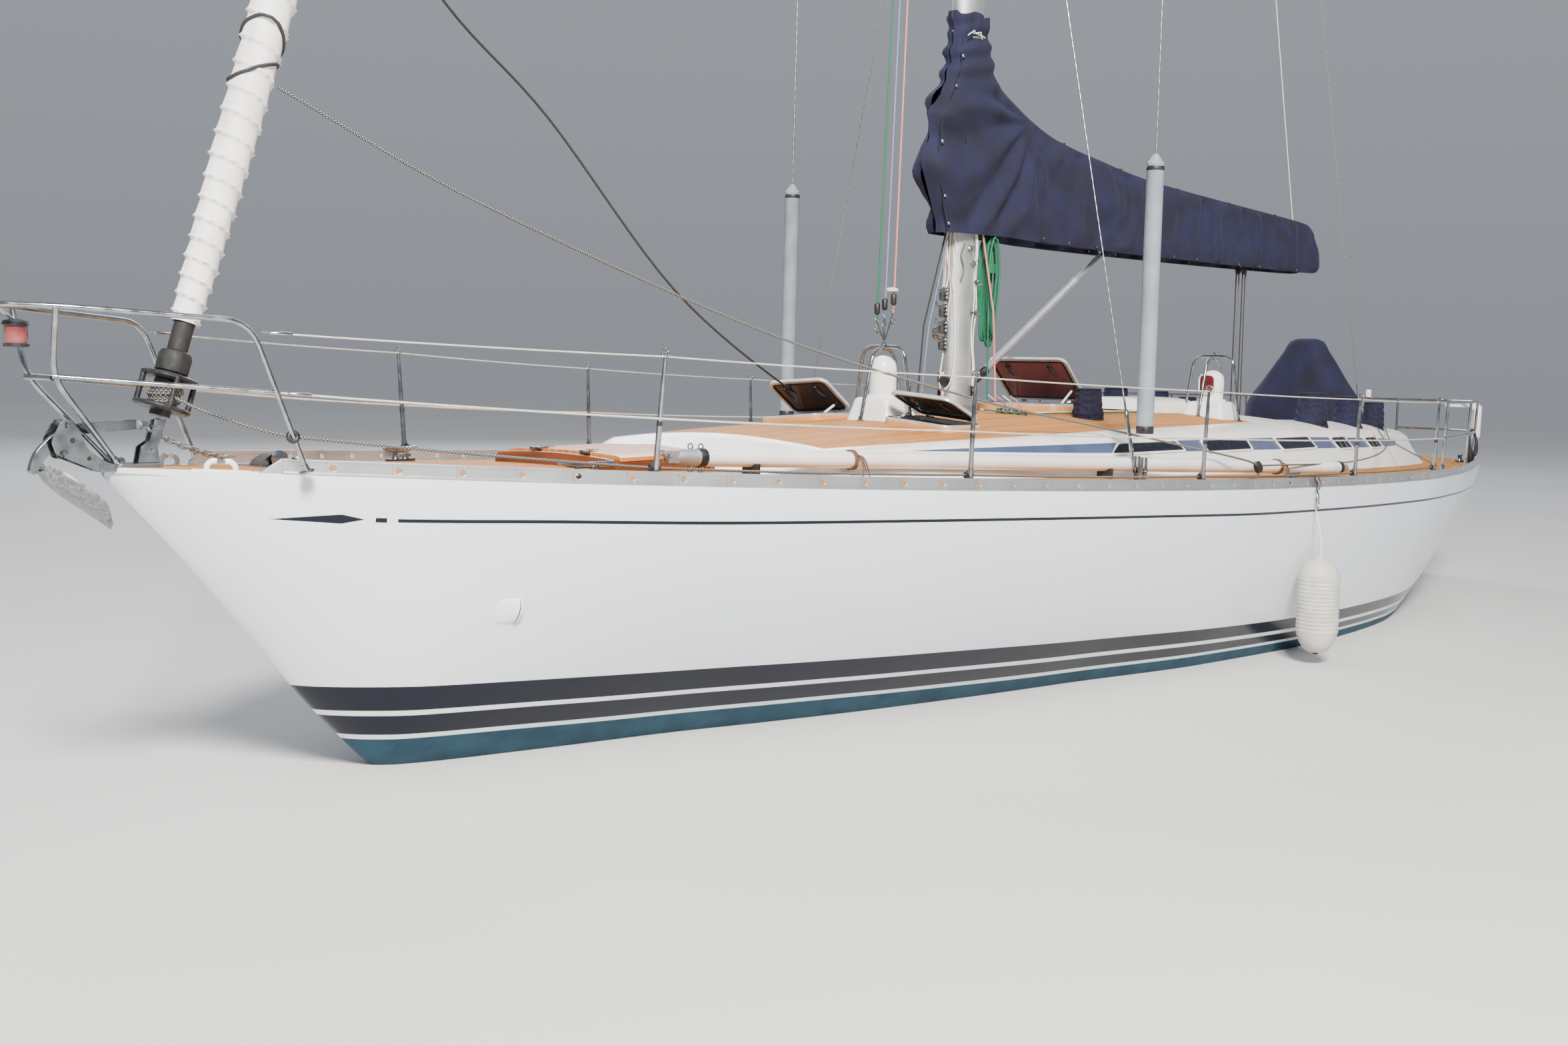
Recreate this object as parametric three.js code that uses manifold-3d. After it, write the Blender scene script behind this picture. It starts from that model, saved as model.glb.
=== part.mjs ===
// Sailing yacht with a furled headsail, a covered mainsail and open deck hatches.
// Units are millimetres. +X points to the bow, +Y to port and +Z up.
// The origin is on the centreline, at the waterline, halfway along the hull.

import * as THREE from 'three';
import { mergeVertices } from 'three/addons/utils/BufferGeometryUtils.js';
import Module from 'manifold-3d';

const wasm = await Module();
wasm.setup();

// Driving dimensions
const LENGTH = 14360;
const BOW = LENGTH / 2;
const STERN = -LENGTH / 2;
const SHEER_BOW = 1563;
const SHEER_MID = 1288;
const SHEER_STERN = 1198;
const DRAFT = 2500;
const SKIN = 45;
const DECK_THICK = 38;
const DECK_EDGE = 15;
const RAIL_TOP = 85;
const RAIL_WIDTH = 22;
const SEAT_GAP = 0.3;
const RUN_GAP = 0.8;
const TUBE_R = 12.5;
const LINE_R = 4;
const GUARD_HEIGHT = 660;
const GUARD_MID = 350;
const MAST_X = 750;
const MAST_LONG = 290;
const MAST_WIDE = 190;
const MAST_TOP = 21650;
const GOOSENECK_X = 545;
const BOOM_Z = 3190;
const BOOM_RISE = 90;
const BOOM_END = -5350;
const STAY_BASE = { x: 6977, z: 1604 };
const STAY_HEAD = { x: 770, z: 21700 };
const BACKSTAY_BASE = { x: -7080, z: 1215 };
const CHAINPLATE_X = 838;
const CHAINPLATE_Y = 1609;
const ROOF_FORE = 3750;
const ROOF_AFT = -6050;
const RUDDER_X = -5600;
const SHAFT_SLOPE = 0.1405;
const SHAFT_R = 17.5;

// Hull sections: x, half beam at the sheer, keel line height, and how fine the section is
const HULL = [
  [7180, 30, 1535, 0.9],
  [6900, 192, 1230, 0.8],
  [6460, 421, 707, 0.72],
  [6100, 612, 279, 0.72],
  [5740, 795, -45, 0.74],
  [5030, 1086, -225, 0.76],
  [4310, 1331, -345, 0.76],
  [3590, 1544, -480, 0.72],
  [2870, 1726, -570, 0.66],
  [1440, 2011, -700, 0.585],
  [0, 2169, -750, 0.4],
  [-1440, 2195, -730, 0.262],
  [-2870, 2145, -625, 0.214],
  [-4310, 1947, -400, 0.28],
  [-5030, 1800, -262, 0.41],
  [-5740, 1626, -120, 0.46],
  [-6460, 1434, 25, 0.47],
  [-7180, 1219, 215, 0.47],
  [-7420, 1138, 275, 0.47],
];
const SECTION_CURVE = 1.6;

// Coachroof sections: x, crown height, teak edge half width and height,
// roof edge half width and height, half width at the side deck
const ROOF = [
  [3350, 1655, 860, 1600, 930, 1585, 1060],
  [2600, 1695, 980, 1625, 1060, 1600, 1200],
  [1200, 1745, 1080, 1655, 1170, 1625, 1320],
  [0, 1770, 1080, 1675, 1210, 1632, 1380],
  [-1400, 1770, 1000, 1685, 1220, 1630, 1400],
  [-2600, 1750, 900, 1690, 1200, 1620, 1400],
  [-4400, 1690, 900, 1655, 1130, 1590, 1330],
  [-5600, 1600, 860, 1570, 1010, 1500, 1180],
];

// Stations where the hull and deck share their sections
const STATIONS = [
  7180, 7050, 6900, 6680, 6460, 6100, 5740, 5380, 5030, 4670, 4310, 3750, 3350, 2870, 2150, 1440,
  720, 0, -720, -1440, -2160, -2870, -3590, -4310, -4800, -5200, -5600, -6050, -6460, -6820,
  -7180, -7420,
];
const DECK_FORE = 6900;

// Smooth curve through one column of a table whose first column falls from bow to stern
function curve(table, column) {
  const rows = [...table].reverse();
  const xs = rows.map((row) => row[0]);
  const ys = rows.map((row) => row[column]);
  const slopes = xs.slice(1).map((x, i) => (ys[i + 1] - ys[i]) / (x - xs[i]));
  const tangents = ys.map((y, i) => {
    if (i === 0) return slopes[0];
    if (i === ys.length - 1) return slopes[i - 1];
    const product = slopes[i - 1] * slopes[i];
    return product <= 0 ? 0 : (2 * product) / (slopes[i - 1] + slopes[i]);
  });
  return (x) => {
    const clamped = Math.min(Math.max(x, xs[0]), xs[xs.length - 1]);
    let i = 0;
    while (i < xs.length - 2 && clamped > xs[i + 1]) i += 1;
    const span = xs[i + 1] - xs[i];
    const t = (clamped - xs[i]) / span;
    const a = ys[i] * (1 + 2 * t) * (1 - t) ** 2 + ys[i + 1] * t * t * (3 - 2 * t);
    return a + span * (tangents[i] * t * (1 - t) ** 2 + tangents[i + 1] * t * t * (t - 1));
  };
}

const halfBeam = curve(HULL, 1);
const keelLine = curve(HULL, 2);
const fineness = curve(HULL, 3);
const roofColumn = [1, 2, 3, 4, 5, 6].map((column) => curve(ROOF, column));

function sheer(x) {
  const s = (BOW - x) / LENGTH;
  return (1 - s) * (1 - 2 * s) * SHEER_BOW + 4 * s * (1 - s) * SHEER_MID + s * (2 * s - 1) * SHEER_STERN;
}

function deckHeight(x, y) {
  const beam = halfBeam(x);
  const share = Math.min(Math.abs(y) / beam, 1);
  return sheer(x) + DECK_EDGE + 0.035 * beam * (1 - share * share);
}

// Geometry tools
function manifoldOf(geometry) {
  const bare = geometry.clone();
  bare.deleteAttribute('normal');
  bare.deleteAttribute('uv');
  const merged = mergeVertices(bare, 1e-3);
  const mesh = new wasm.Mesh({
    numProp: 3,
    vertProperties: new Float32Array(merged.attributes.position.array),
    triVerts: new Uint32Array(merged.index.array),
  });
  return new wasm.Manifold(mesh);
}

function geometryOf(manifold) {
  const mesh = manifold.getMesh();
  const geometry = new THREE.BufferGeometry();
  const count = mesh.vertProperties.length / mesh.numProp;
  const positions = new Float32Array(count * 3);
  for (let i = 0; i < count; i += 1) {
    for (let k = 0; k < 3; k += 1) positions[3 * i + k] = mesh.vertProperties[mesh.numProp * i + k];
  }
  geometry.setAttribute('position', new THREE.BufferAttribute(positions, 3));
  geometry.setIndex(new THREE.BufferAttribute(new Uint32Array(mesh.triVerts), 1));
  return geometry;
}

// Closed body through rings of points that all have the same number of points.
// The flat pair of coordinates that shapes the end caps is named by its letters.
function loft(rings, flat = 'yz') {
  const count = rings[0].length;
  const positions = rings.flat().flatMap((p) => [p.x, p.y, p.z]);
  const index = [];
  for (let i = 0; i < rings.length - 1; i += 1) {
    for (let k = 0; k < count; k += 1) {
      const a = i * count + k;
      const b = i * count + ((k + 1) % count);
      const here = rings[i];
      const next = rings[i + 1];
      const straight = here[k].distanceTo(next[(k + 1) % count]);
      const crossed = here[(k + 1) % count].distanceTo(next[k]);
      if (straight < crossed) index.push(a, b, b + count, a, b + count, a + count);
      else index.push(a, b, a + count, b, b + count, a + count);
    }
  }
  const cap = (ring, offset, reversed) => {
    const outline = ring.map((p) => new THREE.Vector2(p[flat[0]], p[flat[1]]));
    const faces = THREE.ShapeUtils.triangulateShape(outline, []);
    const faceArea = faces.reduce((sum, face) => sum + THREE.ShapeUtils.area(face.map((n) => outline[n])), 0);
    const swap = (faceArea * THREE.ShapeUtils.area(outline) < 0) !== reversed;
    for (const [a, b, c] of faces) {
      if (swap) index.push(offset + a, offset + c, offset + b);
      else index.push(offset + a, offset + b, offset + c);
    }
  };
  cap(rings[0], 0, true);
  cap(rings[rings.length - 1], (rings.length - 1) * count, false);
  const geometry = new THREE.BufferGeometry();
  geometry.setAttribute('position', new THREE.Float32BufferAttribute(positions, 3));
  geometry.setIndex(index);
  return outward(geometry);
}

function signedVolume(geometry) {
  const p = geometry.attributes.position;
  const index = geometry.index.array;
  const [a, b, c] = [new THREE.Vector3(), new THREE.Vector3(), new THREE.Vector3()];
  let sum = 0;
  for (let i = 0; i < index.length; i += 3) {
    a.fromBufferAttribute(p, index[i]);
    b.fromBufferAttribute(p, index[i + 1]);
    c.fromBufferAttribute(p, index[i + 2]);
    sum += a.dot(b.clone().cross(c));
  }
  return sum;
}

function outward(geometry) {
  if (signedVolume(geometry) < 0) {
    const index = geometry.index.array;
    for (let i = 0; i < index.length; i += 3) [index[i], index[i + 1]] = [index[i + 1], index[i]];
  }
  return geometry;
}

const vec = (x, y, z) => new THREE.Vector3(x, y, z);

function box(x0, x1, y0, y1, z0, z1) {
  const geometry = new THREE.BoxGeometry(Math.abs(x1 - x0), Math.abs(y1 - y0), Math.abs(z1 - z0));
  geometry.translate((x0 + x1) / 2, (y0 + y1) / 2, (z0 + z1) / 2);
  return manifoldOf(geometry);
}

// Round bar between two points
function bar(from, to, radius, sides = 10, endRadius = radius) {
  const along = to.clone().sub(from);
  const geometry = new THREE.CylinderGeometry(endRadius, radius, along.length(), sides);
  const turn = new THREE.Quaternion().setFromUnitVectors(vec(0, 1, 0), along.clone().normalize());
  geometry.applyQuaternion(turn);
  const middle = from.clone().add(to).multiplyScalar(0.5);
  geometry.translate(middle.x, middle.y, middle.z);
  return manifoldOf(geometry);
}

// Round bar through several points, each length running a little past its bends
function bentBar(points, radius, sides = 6) {
  const parts = points.slice(1).map((point, i) => {
    const along = point.clone().sub(points[i]).normalize().multiplyScalar(0.5 * radius);
    const from = i === 0 ? points[i] : points[i].clone().sub(along);
    const to = i === points.length - 2 ? point : point.clone().add(along);
    return bar(from, to, radius, sides);
  });
  return join(parts);
}

// Body of revolution about +Z from radius and height pairs, then placed
function turned(profile, sides, x = 0, y = 0, z = 0) {
  const geometry = new THREE.LatheGeometry(profile.map(([r, h]) => new THREE.Vector2(r, h)), sides);
  geometry.rotateX(Math.PI / 2);
  geometry.translate(x, y, z);
  return manifoldOf(outwardIndexed(geometry));
}

function outwardIndexed(geometry) {
  const bare = geometry.clone();
  bare.deleteAttribute('normal');
  bare.deleteAttribute('uv');
  return outward(mergeVertices(bare, 1e-3));
}

function join(parts) {
  return parts.reduce((sum, part) => sum.add(part));
}

// The biggest body, without any loose slivers that a cut left behind
function main(manifold) {
  const bodies = manifold.decompose();
  return bodies.reduce((best, body) => (body.volume() > best.volume() ? body : best));
}

const mirrored = (manifold) => manifold.mirror([0, 1, 0]);

// Hull
const SECTION_STEPS = 10;
function hullSection(x, inset = 0, lift = 0, raise = 0) {
  const beam = halfBeam(x) - inset;
  const low = keelLine(x) + lift;
  const high = sheer(x) + raise;
  const fine = fineness(x);
  const side = [];
  for (let i = 0; i <= SECTION_STEPS; i += 1) {
    const share = (i / SECTION_STEPS) ** 1.5;
    const z = low + (high - low) * share;
    const y = beam * (1 - (1 - share) ** SECTION_CURVE) ** fine;
    side.push([y, z]);
  }
  const half = side.map(([y, z]) => vec(x, y, z));
  const other = side.slice(1).reverse().map(([y, z]) => vec(x, -y, z));
  return [...half, ...other];
}

// The stern is rounded in plan and its foot lies forward of the deck's edge
const STERN_ROUND = 180;
const STERN_RAKE = 0.2;
function aheadOfStern(inset = 0) {
  const ring = (z) => {
    const points = [vec(9000, 3000, z)];
    for (let i = 0; i <= 16; i += 1) {
      const y = 2400 * (1 - i / 8);
      const round = STERN_ROUND * (y / 1219) ** 2;
      points.push(vec(STERN + round + STERN_RAKE * (SHEER_STERN - z) + inset, y, z));
    }
    return [...points, vec(9000, -3000, z)];
  };
  return manifoldOf(loft([ring(-3000), ring(5000)], 'xy'));
}
const sternTrim = aheadOfStern();

const hullSolid = manifoldOf(loft(STATIONS.map((x) => hullSection(x)))).intersect(sternTrim);
const innerStations = STATIONS.filter((x) => x <= 6680);
const hullSpace = manifoldOf(loft(innerStations.map((x) => hullSection(x, SKIN, 60, 20))))
  .intersect(aheadOfStern(50));

const shaftPoint = (x) => vec(x, 0, -620 + (x + 3000) * SHAFT_SLOPE);
const shaftAxis = shaftPoint(-4000).sub(shaftPoint(-3000)).normalize();

const rudderHole = bar(vec(RUDDER_X, 0, -600), vec(RUDDER_X, 0, 400), 30 + RUN_GAP, 24);
const shaftHole = bar(shaftPoint(-2200), shaftPoint(-4600), SHAFT_R + RUN_GAP, 24);
const hullShell = hullSolid.subtract(hullSpace).subtract(rudderHole).subtract(shaftHole);

// Keel, rudder and propeller gear
// Foil sections: height, leading edge x, chord, thickness as a share of the chord
function foil(rows, steps = 9) {
  const rings = rows.map(([z, lead, chord, thick]) => {
    const side = [];
    for (let i = 0; i <= steps; i += 1) {
      const t = (1 - Math.cos((Math.PI * i) / steps)) / 2;
      const round = 2.97 * Math.sqrt(t) - 1.26 * t - 3.516 * t ** 2 + 2.843 * t ** 3 - 1.036 * t ** 4;
      const y = (i === 0 ? 0 : Math.max(round, 0.004)) * chord * thick * 0.5;
      side.push([lead - chord * t, y]);
    }
    const port = side.map(([x, y]) => vec(x, y, z));
    const starboard = side.slice(1).reverse().map(([x, y]) => vec(x, -y, z));
    return [...port, ...starboard];
  });
  return manifoldOf(loft(rings, 'xy'));
}

const KEEL = [
  [-DRAFT, 560, 1900, 0.15],
  [-2350, 620, 2000, 0.14],
  [-1500, 950, 2450, 0.12],
  [-560, 1300, 2950, 0.11],
];
const finKeel = foil(KEEL).subtract(hullSolid.translate([0, 0, -SEAT_GAP]));

const RUDDER = [
  [-2080, -5560, 380, 0.13],
  [-1950, -5535, 430, 0.13],
  [-1100, -5500, 540, 0.14],
  [-270, -5470, 640, 0.14],
];
const rudder = foil(RUDDER).add(bar(vec(RUDDER_X, 0, -400), vec(RUDDER_X, 0, 180), 30, 20));

// The propeller with its shaft
function propeller() {
  const shaft = bar(shaftPoint(-2340), shaftPoint(-4340), SHAFT_R, 16);
  const hub = bar(shaftPoint(-4330), shaftPoint(-4470), 46, 16, 40);
  const nose = bar(shaftPoint(-4469), shaftPoint(-4560), 40, 16, 12);
  const blades = [0, 1, 2].map((n) => {
    const rings = [
      [30, 36, 13, 55],
      [110, 70, 9, 38],
      [180, 72, 6, 28],
      [225, 34, 4, 24],
    ].map(([r, half, thick, pitch]) => {
      const turn = THREE.MathUtils.degToRad(pitch);
      return [[-half, -thick], [half, -thick], [half, thick], [-half, thick]].map(([c, t]) => {
        const alongAxis = c * Math.sin(turn) + t * Math.cos(turn);
        const across = c * Math.cos(turn) - t * Math.sin(turn);
        return vec(alongAxis, across, r);
      });
    });
    return manifoldOf(loft(rings, 'xy')).rotate([120 * n, 0, 0]);
  });
  const slope = THREE.MathUtils.radToDeg(Math.atan(SHAFT_SLOPE));
  const middle = shaftPoint(-4400);
  const set = join(blades).rotate([0, -slope, 0]).translate([middle.x, middle.y, middle.z]);
  return join([shaft, hub, nose, set]);
}

function shaftStrut() {
  const hub = bar(shaftPoint(-4160), shaftPoint(-4300), 34, 16);
  const arm = manifoldOf(
    loft([
      [vec(-4170, -11, -790), vec(-4170, 11, -790), vec(-4290, 11, -790), vec(-4290, -11, -790)],
      [vec(-4080, -13, -300), vec(-4080, 13, -300), vec(-4230, 13, -300), vec(-4230, -13, -300)],
    ], 'xy'),
  );
  return hub.add(arm).subtract(shaftHole).subtract(hullSolid.translate([0, 0, -SEAT_GAP]));
}

const engine = box(-2320, -1450, -270, 270, -720, 190).intersect(hullSpace.translate([0, 0, SEAT_GAP]));

// Deck moulding with its coachroof, coamings and cockpit
function deckSide(x) {
  const beam = halfBeam(x);
  const raised = x < ROOF_FORE && x > ROOF_AFT;
  const [crown, teak, teakZ, edge, edgeZ, foot] = roofColumn.map((column) => column(x));
  const base = raised ? foot : 0.6 * beam;
  const margin = Math.max(beam - 80, 0.8 * beam);
  const rows = raised
    ? [[0, crown], [teak / 2, crown - (crown - teakZ) * 0.27], [teak, teakZ], [edge, edgeZ]]
    : [0, 0.42, 0.8, 0.9].map((share) => [share * base, deckHeight(x, share * base)]);
  return [
    ...rows,
    [base, deckHeight(x, base)],
    [(base + margin) / 2, deckHeight(x, (base + margin) / 2)],
    [margin, deckHeight(x, margin)],
    [beam, sheer(x) + DECK_EDGE],
  ];
}

function deckRing(x, under) {
  const top = deckSide(x);
  const ring = [...top, ...under(top, x)];
  const port = ring.map(([y, z]) => vec(x, y, z));
  const starboard = ring.slice(1, -1).reverse().map(([y, z]) => vec(x, -y, z));
  return [...port, ...starboard];
}

function deckUnderside(top, x) {
  const beam = halfBeam(x);
  const rim = sheer(x) + SEAT_GAP;
  const steep = 1.6 * DECK_THICK;
  const slim = Math.min(1, beam / 700);
  return [
    [beam, rim],
    [beam - 62 * slim, rim],
    [beam - 78 * slim, rim - DECK_THICK + DECK_EDGE],
    [top[5][0], top[5][1] - DECK_THICK],
    [top[4][0] - 30 * slim, top[4][1] - DECK_THICK],
    [top[3][0] - 34 * slim, top[3][1] - steep],
    [top[2][0] - 20 * slim, top[2][1] - DECK_THICK - 4],
    [top[1][0], top[1][1] - DECK_THICK],
    [0, top[0][1] - DECK_THICK],
  ];
}

const deckStations = STATIONS.filter((x) => x <= DECK_FORE);
const deckSkin = manifoldOf(loft(deckStations.map((x) => deckRing(x, deckUnderside))))
  .intersect(sternTrim);
const deckBulk = manifoldOf(
  loft(deckStations.map((x) => deckRing(x, () => [[halfBeam(x), 400], [0, 380]]))),
).intersect(sternTrim);

// Blocks that stand on the deck are trimmed so that they follow its surface
const seated = (manifold) => manifold.subtract(deckBulk.translate([0, 0, SEAT_GAP]));

// Cockpit: forward end, aft end, half width and floor height of each hollow
const COCKPIT = [
  [-2950, -5950, 820, 1270],
  [-2990, -5900, 380, 820],
  [-4650, -5750, 700, 820],
];
const WALL = 35;
const ABOVE = 2300;
const cockpitWalls = join(
  COCKPIT.map(([fore, aft, half, floor]) =>
    box(aft - WALL, fore + WALL, -half - WALL, half + WALL, floor - WALL, ABOVE)),
).intersect(deckBulk);
const cockpitSpace = join(
  COCKPIT.map(([fore, aft, half, floor]) => box(aft, fore, -half, half, floor, ABOVE)),
);

const COMPANIONWAY = { fore: -2250, aft: -2950, half: 310, sill: 1350, rail: 1790 };
const companionwayCut = box(
  COMPANIONWAY.aft - 60, COMPANIONWAY.fore, -COMPANIONWAY.half, COMPANIONWAY.half,
  COMPANIONWAY.sill, ABOVE,
);
const slideRails = [-1, 1].map((side) =>
  box(-2985, -1445, side * 330 - 18, side * 330 + 18, 1600, COMPANIONWAY.rail));

// Side windows: forward end, aft end, slope of the ends, lower and upper edge heights
const WINDOWS = [
  [650, -320, 90, 1502, 1594],
  [-690, -1480, 40, 1482, 1590],
  [-1980, -2710, 90, 1462, 1580],
  [-3180, -3560, 90, 1440, 1560],
  [-4020, -4380, 90, 1426, 1540],
];
const WINDOW_OUT = 1500;
const WINDOW_IN = 1100;
function windowCut([fore, aft, slope, low, high], index) {
  const foreLow = index === 0 ? fore : fore - slope;
  const foreHigh = index === 0 ? fore - 1.6 * slope : fore;
  const outline = (y) => [vec(foreLow, y, low), vec(foreHigh, y, high), vec(aft, y, high), vec(aft - slope, y, low)];
  return manifoldOf(loft([outline(WINDOW_IN), outline(WINDOW_OUT)], 'xz'));
}
const windowCuts = WINDOWS.map(windowCut);

// Hatches: hinge x, middle y, length ahead of the hinge, width, height of the frame's top, angle when open,
// and the hole in the roof: its aft end, fore end and half width
const HATCH_FRAME = 28;
const LID_THICK = 26;
const HATCHES = {
  port: { hinge: 1600, y: 560, length: 410, width: 520, top: 1738, open: 22, hole: [1668, 1957, 192] },
  starboard: { hinge: 1600, y: -560, length: 410, width: 520, top: 1738, open: 34, hole: [1668, 1957, 192] },
  saloon: { hinge: -520, y: 0, length: 500, width: 720, top: 1832, open: 42, hole: [-492, -48, 332] },
};

const roofHole = ({ y, hole: [aft, fore, half] }) => box(aft, fore, y - half, y + half, 1300, ABOVE);

function hatchFrame(hatch) {
  const { hinge, y, length, width, top } = hatch;
  const half = width / 2;
  const inside = box(hinge + HATCH_FRAME, hinge + length - HATCH_FRAME, y - half + HATCH_FRAME, y + half - HATCH_FRAME, 1300, ABOVE);
  const ring = box(hinge, hinge + length, y - half, y + half, 1400, top).subtract(inside);
  const lugs = [-1, 1].flatMap((side) => [
    bar(vec(hinge, y + side * (half - 60), top + 14), vec(hinge, y + side * (half - 100), top + 14), 9, 12),
    box(hinge - 8, hinge + 8, y + side * (half - 60), y + side * (half - 100), top - 4, top + 14),
  ]);
  return seated(join([ring, ...lugs]));
}

function hatchLid({ hinge, y, length, width, top, open }) {
  const half = width / 2;
  const axis = top + 14;
  const pane = box(hinge + 16, hinge + length, y - half, y + half, top + 5, top + 5 + LID_THICK);
  const knuckles = [-1, 1].flatMap((side) => [
    bar(vec(hinge, y + side * (half - 59.5), axis), vec(hinge, y + side * (half - 25), axis), 9, 12),
    box(hinge, hinge + 30, y + side * (half - 59.5), y + side * (half - 25), axis - 6, axis + 9),
  ]);
  const closed = join([pane, ...knuckles]);
  return closed.translate([-hinge, 0, -axis]).rotate([0, -open, 0]).translate([hinge, 0, axis]);
}

// Fore hatch: varnished coaming with a low arched beam ahead, a high one behind, and a lid hinged at
// its forward end; each rise is measured from 30 below the deck at the centreline
const FORE_HATCH = { fore: 4620, aft: 3850, half: 490, wall: 48 };
const FORE_BEAM = { rise: 103, arch: 22 };
const AFT_BEAM = { rise: 150, arch: 62 };
const HATCH_LID = { foreRise: 103, aftRise: 138, arch: 22 };
function archedBeam(x0, x1, half, low, high, arch) {
  const ring = (x) => {
    const points = [vec(x, -half, low), vec(x, half, low)];
    for (let i = 0; i <= 6; i += 1) {
      const y = half * (1 - (2 * i) / 6);
      points.push(vec(x, y, high + arch * (1 - (y / half) ** 2)));
    }
    return points;
  };
  return manifoldOf(loft([ring(x0), ring(x1)]));
}
const foreHatchInside = FORE_HATCH.half - FORE_HATCH.wall;
const foreHatchLow = (x) => deckHeight(x, 0) - 30;
const foreHatchRise = (x) => {
  const share = (x - FORE_HATCH.aft) / (FORE_HATCH.fore - FORE_HATCH.aft);
  return HATCH_LID.aftRise + (HATCH_LID.foreRise - HATCH_LID.aftRise) * share;
};
const foreHatchHole = box(
  FORE_HATCH.aft + 45, FORE_HATCH.fore - 45, -foreHatchInside + 2, foreHatchInside - 2, 1300, ABOVE);
function foreHatchCoaming() {
  const { fore, aft, half } = FORE_HATCH;
  const beams = [
    archedBeam(fore - 40, fore, half + 30, 1400, foreHatchLow(fore) + FORE_BEAM.rise, FORE_BEAM.arch),
    archedBeam(aft, aft + 40, half + 30, 1400, foreHatchLow(aft) + AFT_BEAM.rise, AFT_BEAM.arch),
  ];
  const sides = [-1, 1].map((side) =>
    manifoldOf(loft([aft + 20, fore - 20].map((x) => {
      const top = foreHatchLow(x) + foreHatchRise(x) - 34;
      const [y0, y1] = [side * foreHatchInside, side * half];
      return [vec(x, y0, 1400), vec(x, y1, 1400), vec(x, y1, top), vec(x, y0, top)];
    }))));
  const pivot = foreHatchPivot();
  const ears = [-1, 1].flatMap((side) => [
    bar(vec(pivot.x, side * 210.5, pivot.z), vec(pivot.x, side * 250, pivot.z), 8, 12),
    box(pivot.x, fore - 35, side * 210.5, side * 250, pivot.z - 8, pivot.z + 6),
  ]);
  return seated(join([...beams, ...sides, ...ears]));
}

function foreHatchLid() {
  const { fore, aft, half } = FORE_HATCH;
  const { arch } = HATCH_LID;
  const x1 = fore - 47;
  const x0 = aft + 47;
  const level = (x) => foreHatchLow(x) + foreHatchRise(x) - 28;
  const ring = (x) => {
    const points = [];
    const top = level(x) + 24;
    for (let i = 0; i <= 6; i += 1) {
      const y = (half - 4) * ((2 * i) / 6 - 1);
      points.push(vec(x, y, level(x) + (arch - 6) * (1 - (y / half) ** 2)));
    }
    for (let i = 0; i <= 6; i += 1) {
      const y = (half - 4) * (1 - (2 * i) / 6);
      points.push(vec(x, y, top + (arch - 6) * (1 - (y / half) ** 2)));
    }
    return points;
  };
  const pivot = foreHatchPivot();
  const lid = manifoldOf(loft([ring(x0), ring(x1 - 20)]));
  const knuckles = [-1, 1].map((side) => bar(vec(pivot.x, side * 210, pivot.z), vec(pivot.x, side * 170, pivot.z), 8, 12));
  const arms = [-1, 1].map((side) =>
    box(pivot.x - 60, pivot.x, side * 210, side * 170, pivot.z - 5, pivot.z + 5));
  return join([lid, ...knuckles, ...arms]);
}
function foreHatchPivot() {
  const x = FORE_HATCH.fore - 47;
  return { x: x - 4, z: foreHatchLow(x) + foreHatchRise(x) + 12 };
}

const transomWall = hullSolid.intersect(box(-7400, -6500, -1500, 1500, 900, 2000)).subtract(aheadOfStern(55));
const solidBow = hullSolid.intersect(box(6100, 7300, -900, 900, 0, 2000)).scale([1, 1.2, 1]);
const deckMoulding = join([deckSkin, cockpitWalls, ...slideRails.map((rail) => rail.intersect(box(-3000, -1400, -400, 400, 1700, 1800)))])
  .subtract(cockpitSpace)
  .subtract(companionwayCut)
  .subtract(foreHatchHole)
  .subtract(join(Object.values(HATCHES).map(roofHole)))
  .subtract(join(windowCuts))
  .subtract(join(windowCuts.map(mirrored)))
  .subtract(solidBow.translate([0, 0, SEAT_GAP + 0.2]))
  .subtract(transomWall.translate([-1, 0, SEAT_GAP + 0.2]));

// The deck comes in four lengths, each with its own hatches and hollows: name, forward end and aft end
const DECK_LENGTHS = [
  ['foredeck', 8000, 3750],
  ['coachroof_forward', 3750, 1100],
  ['coachroof_middle', 1100, -2850],
  ['cockpit_deck', -2850, -8000],
];
const deckLength = (fore, aft) =>
  main(deckMoulding.intersect(box(aft + SEAT_GAP / 2, fore - SEAT_GAP / 2, -3000, 3000, 0, 3000)));

// One long pane behind each side's windows, inside the coachroof
function windowPane() {
  const rings = [700, -1400, -2600, -4480].map((x) => {
    const edge = roofColumn[3](x) - 34;
    const foot = roofColumn[5](x) - 30;
    const edgeZ = roofColumn[4](x) - 1.6 * DECK_THICK;
    const footZ = deckHeight(x, foot) - DECK_THICK;
    const at = (share, back) => vec(x, edge + (foot - edge) * share - back, edgeZ + (footZ - edgeZ) * share);
    return [at(0.02, 3), at(0.92, 3), at(0.92, 13), at(0.02, 13)];
  });
  return manifoldOf(loft(rings)).subtract(deckSkin.translate([0, -SEAT_GAP, 0]));
}

// Deck fittings
function seaHood() {
  const outer = archedBeam(-2200, -1400, 400, 1500, 1845, 35);
  const inner = archedBeam(-2260, -1440, 372, 1500, 1825, 30);
  return seated(outer.subtract(inner));
}

function companionwayHatch() {
  const low = COMPANIONWAY.rail + RUN_GAP;
  return archedBeam(-2990, -2225, 352, low, low + 14, 18);
}

const HATCH_TRAVEL = 690;
const washboards = box(-2942, -2924, -309.7, 309.7, 1350.3, 1770);

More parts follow.
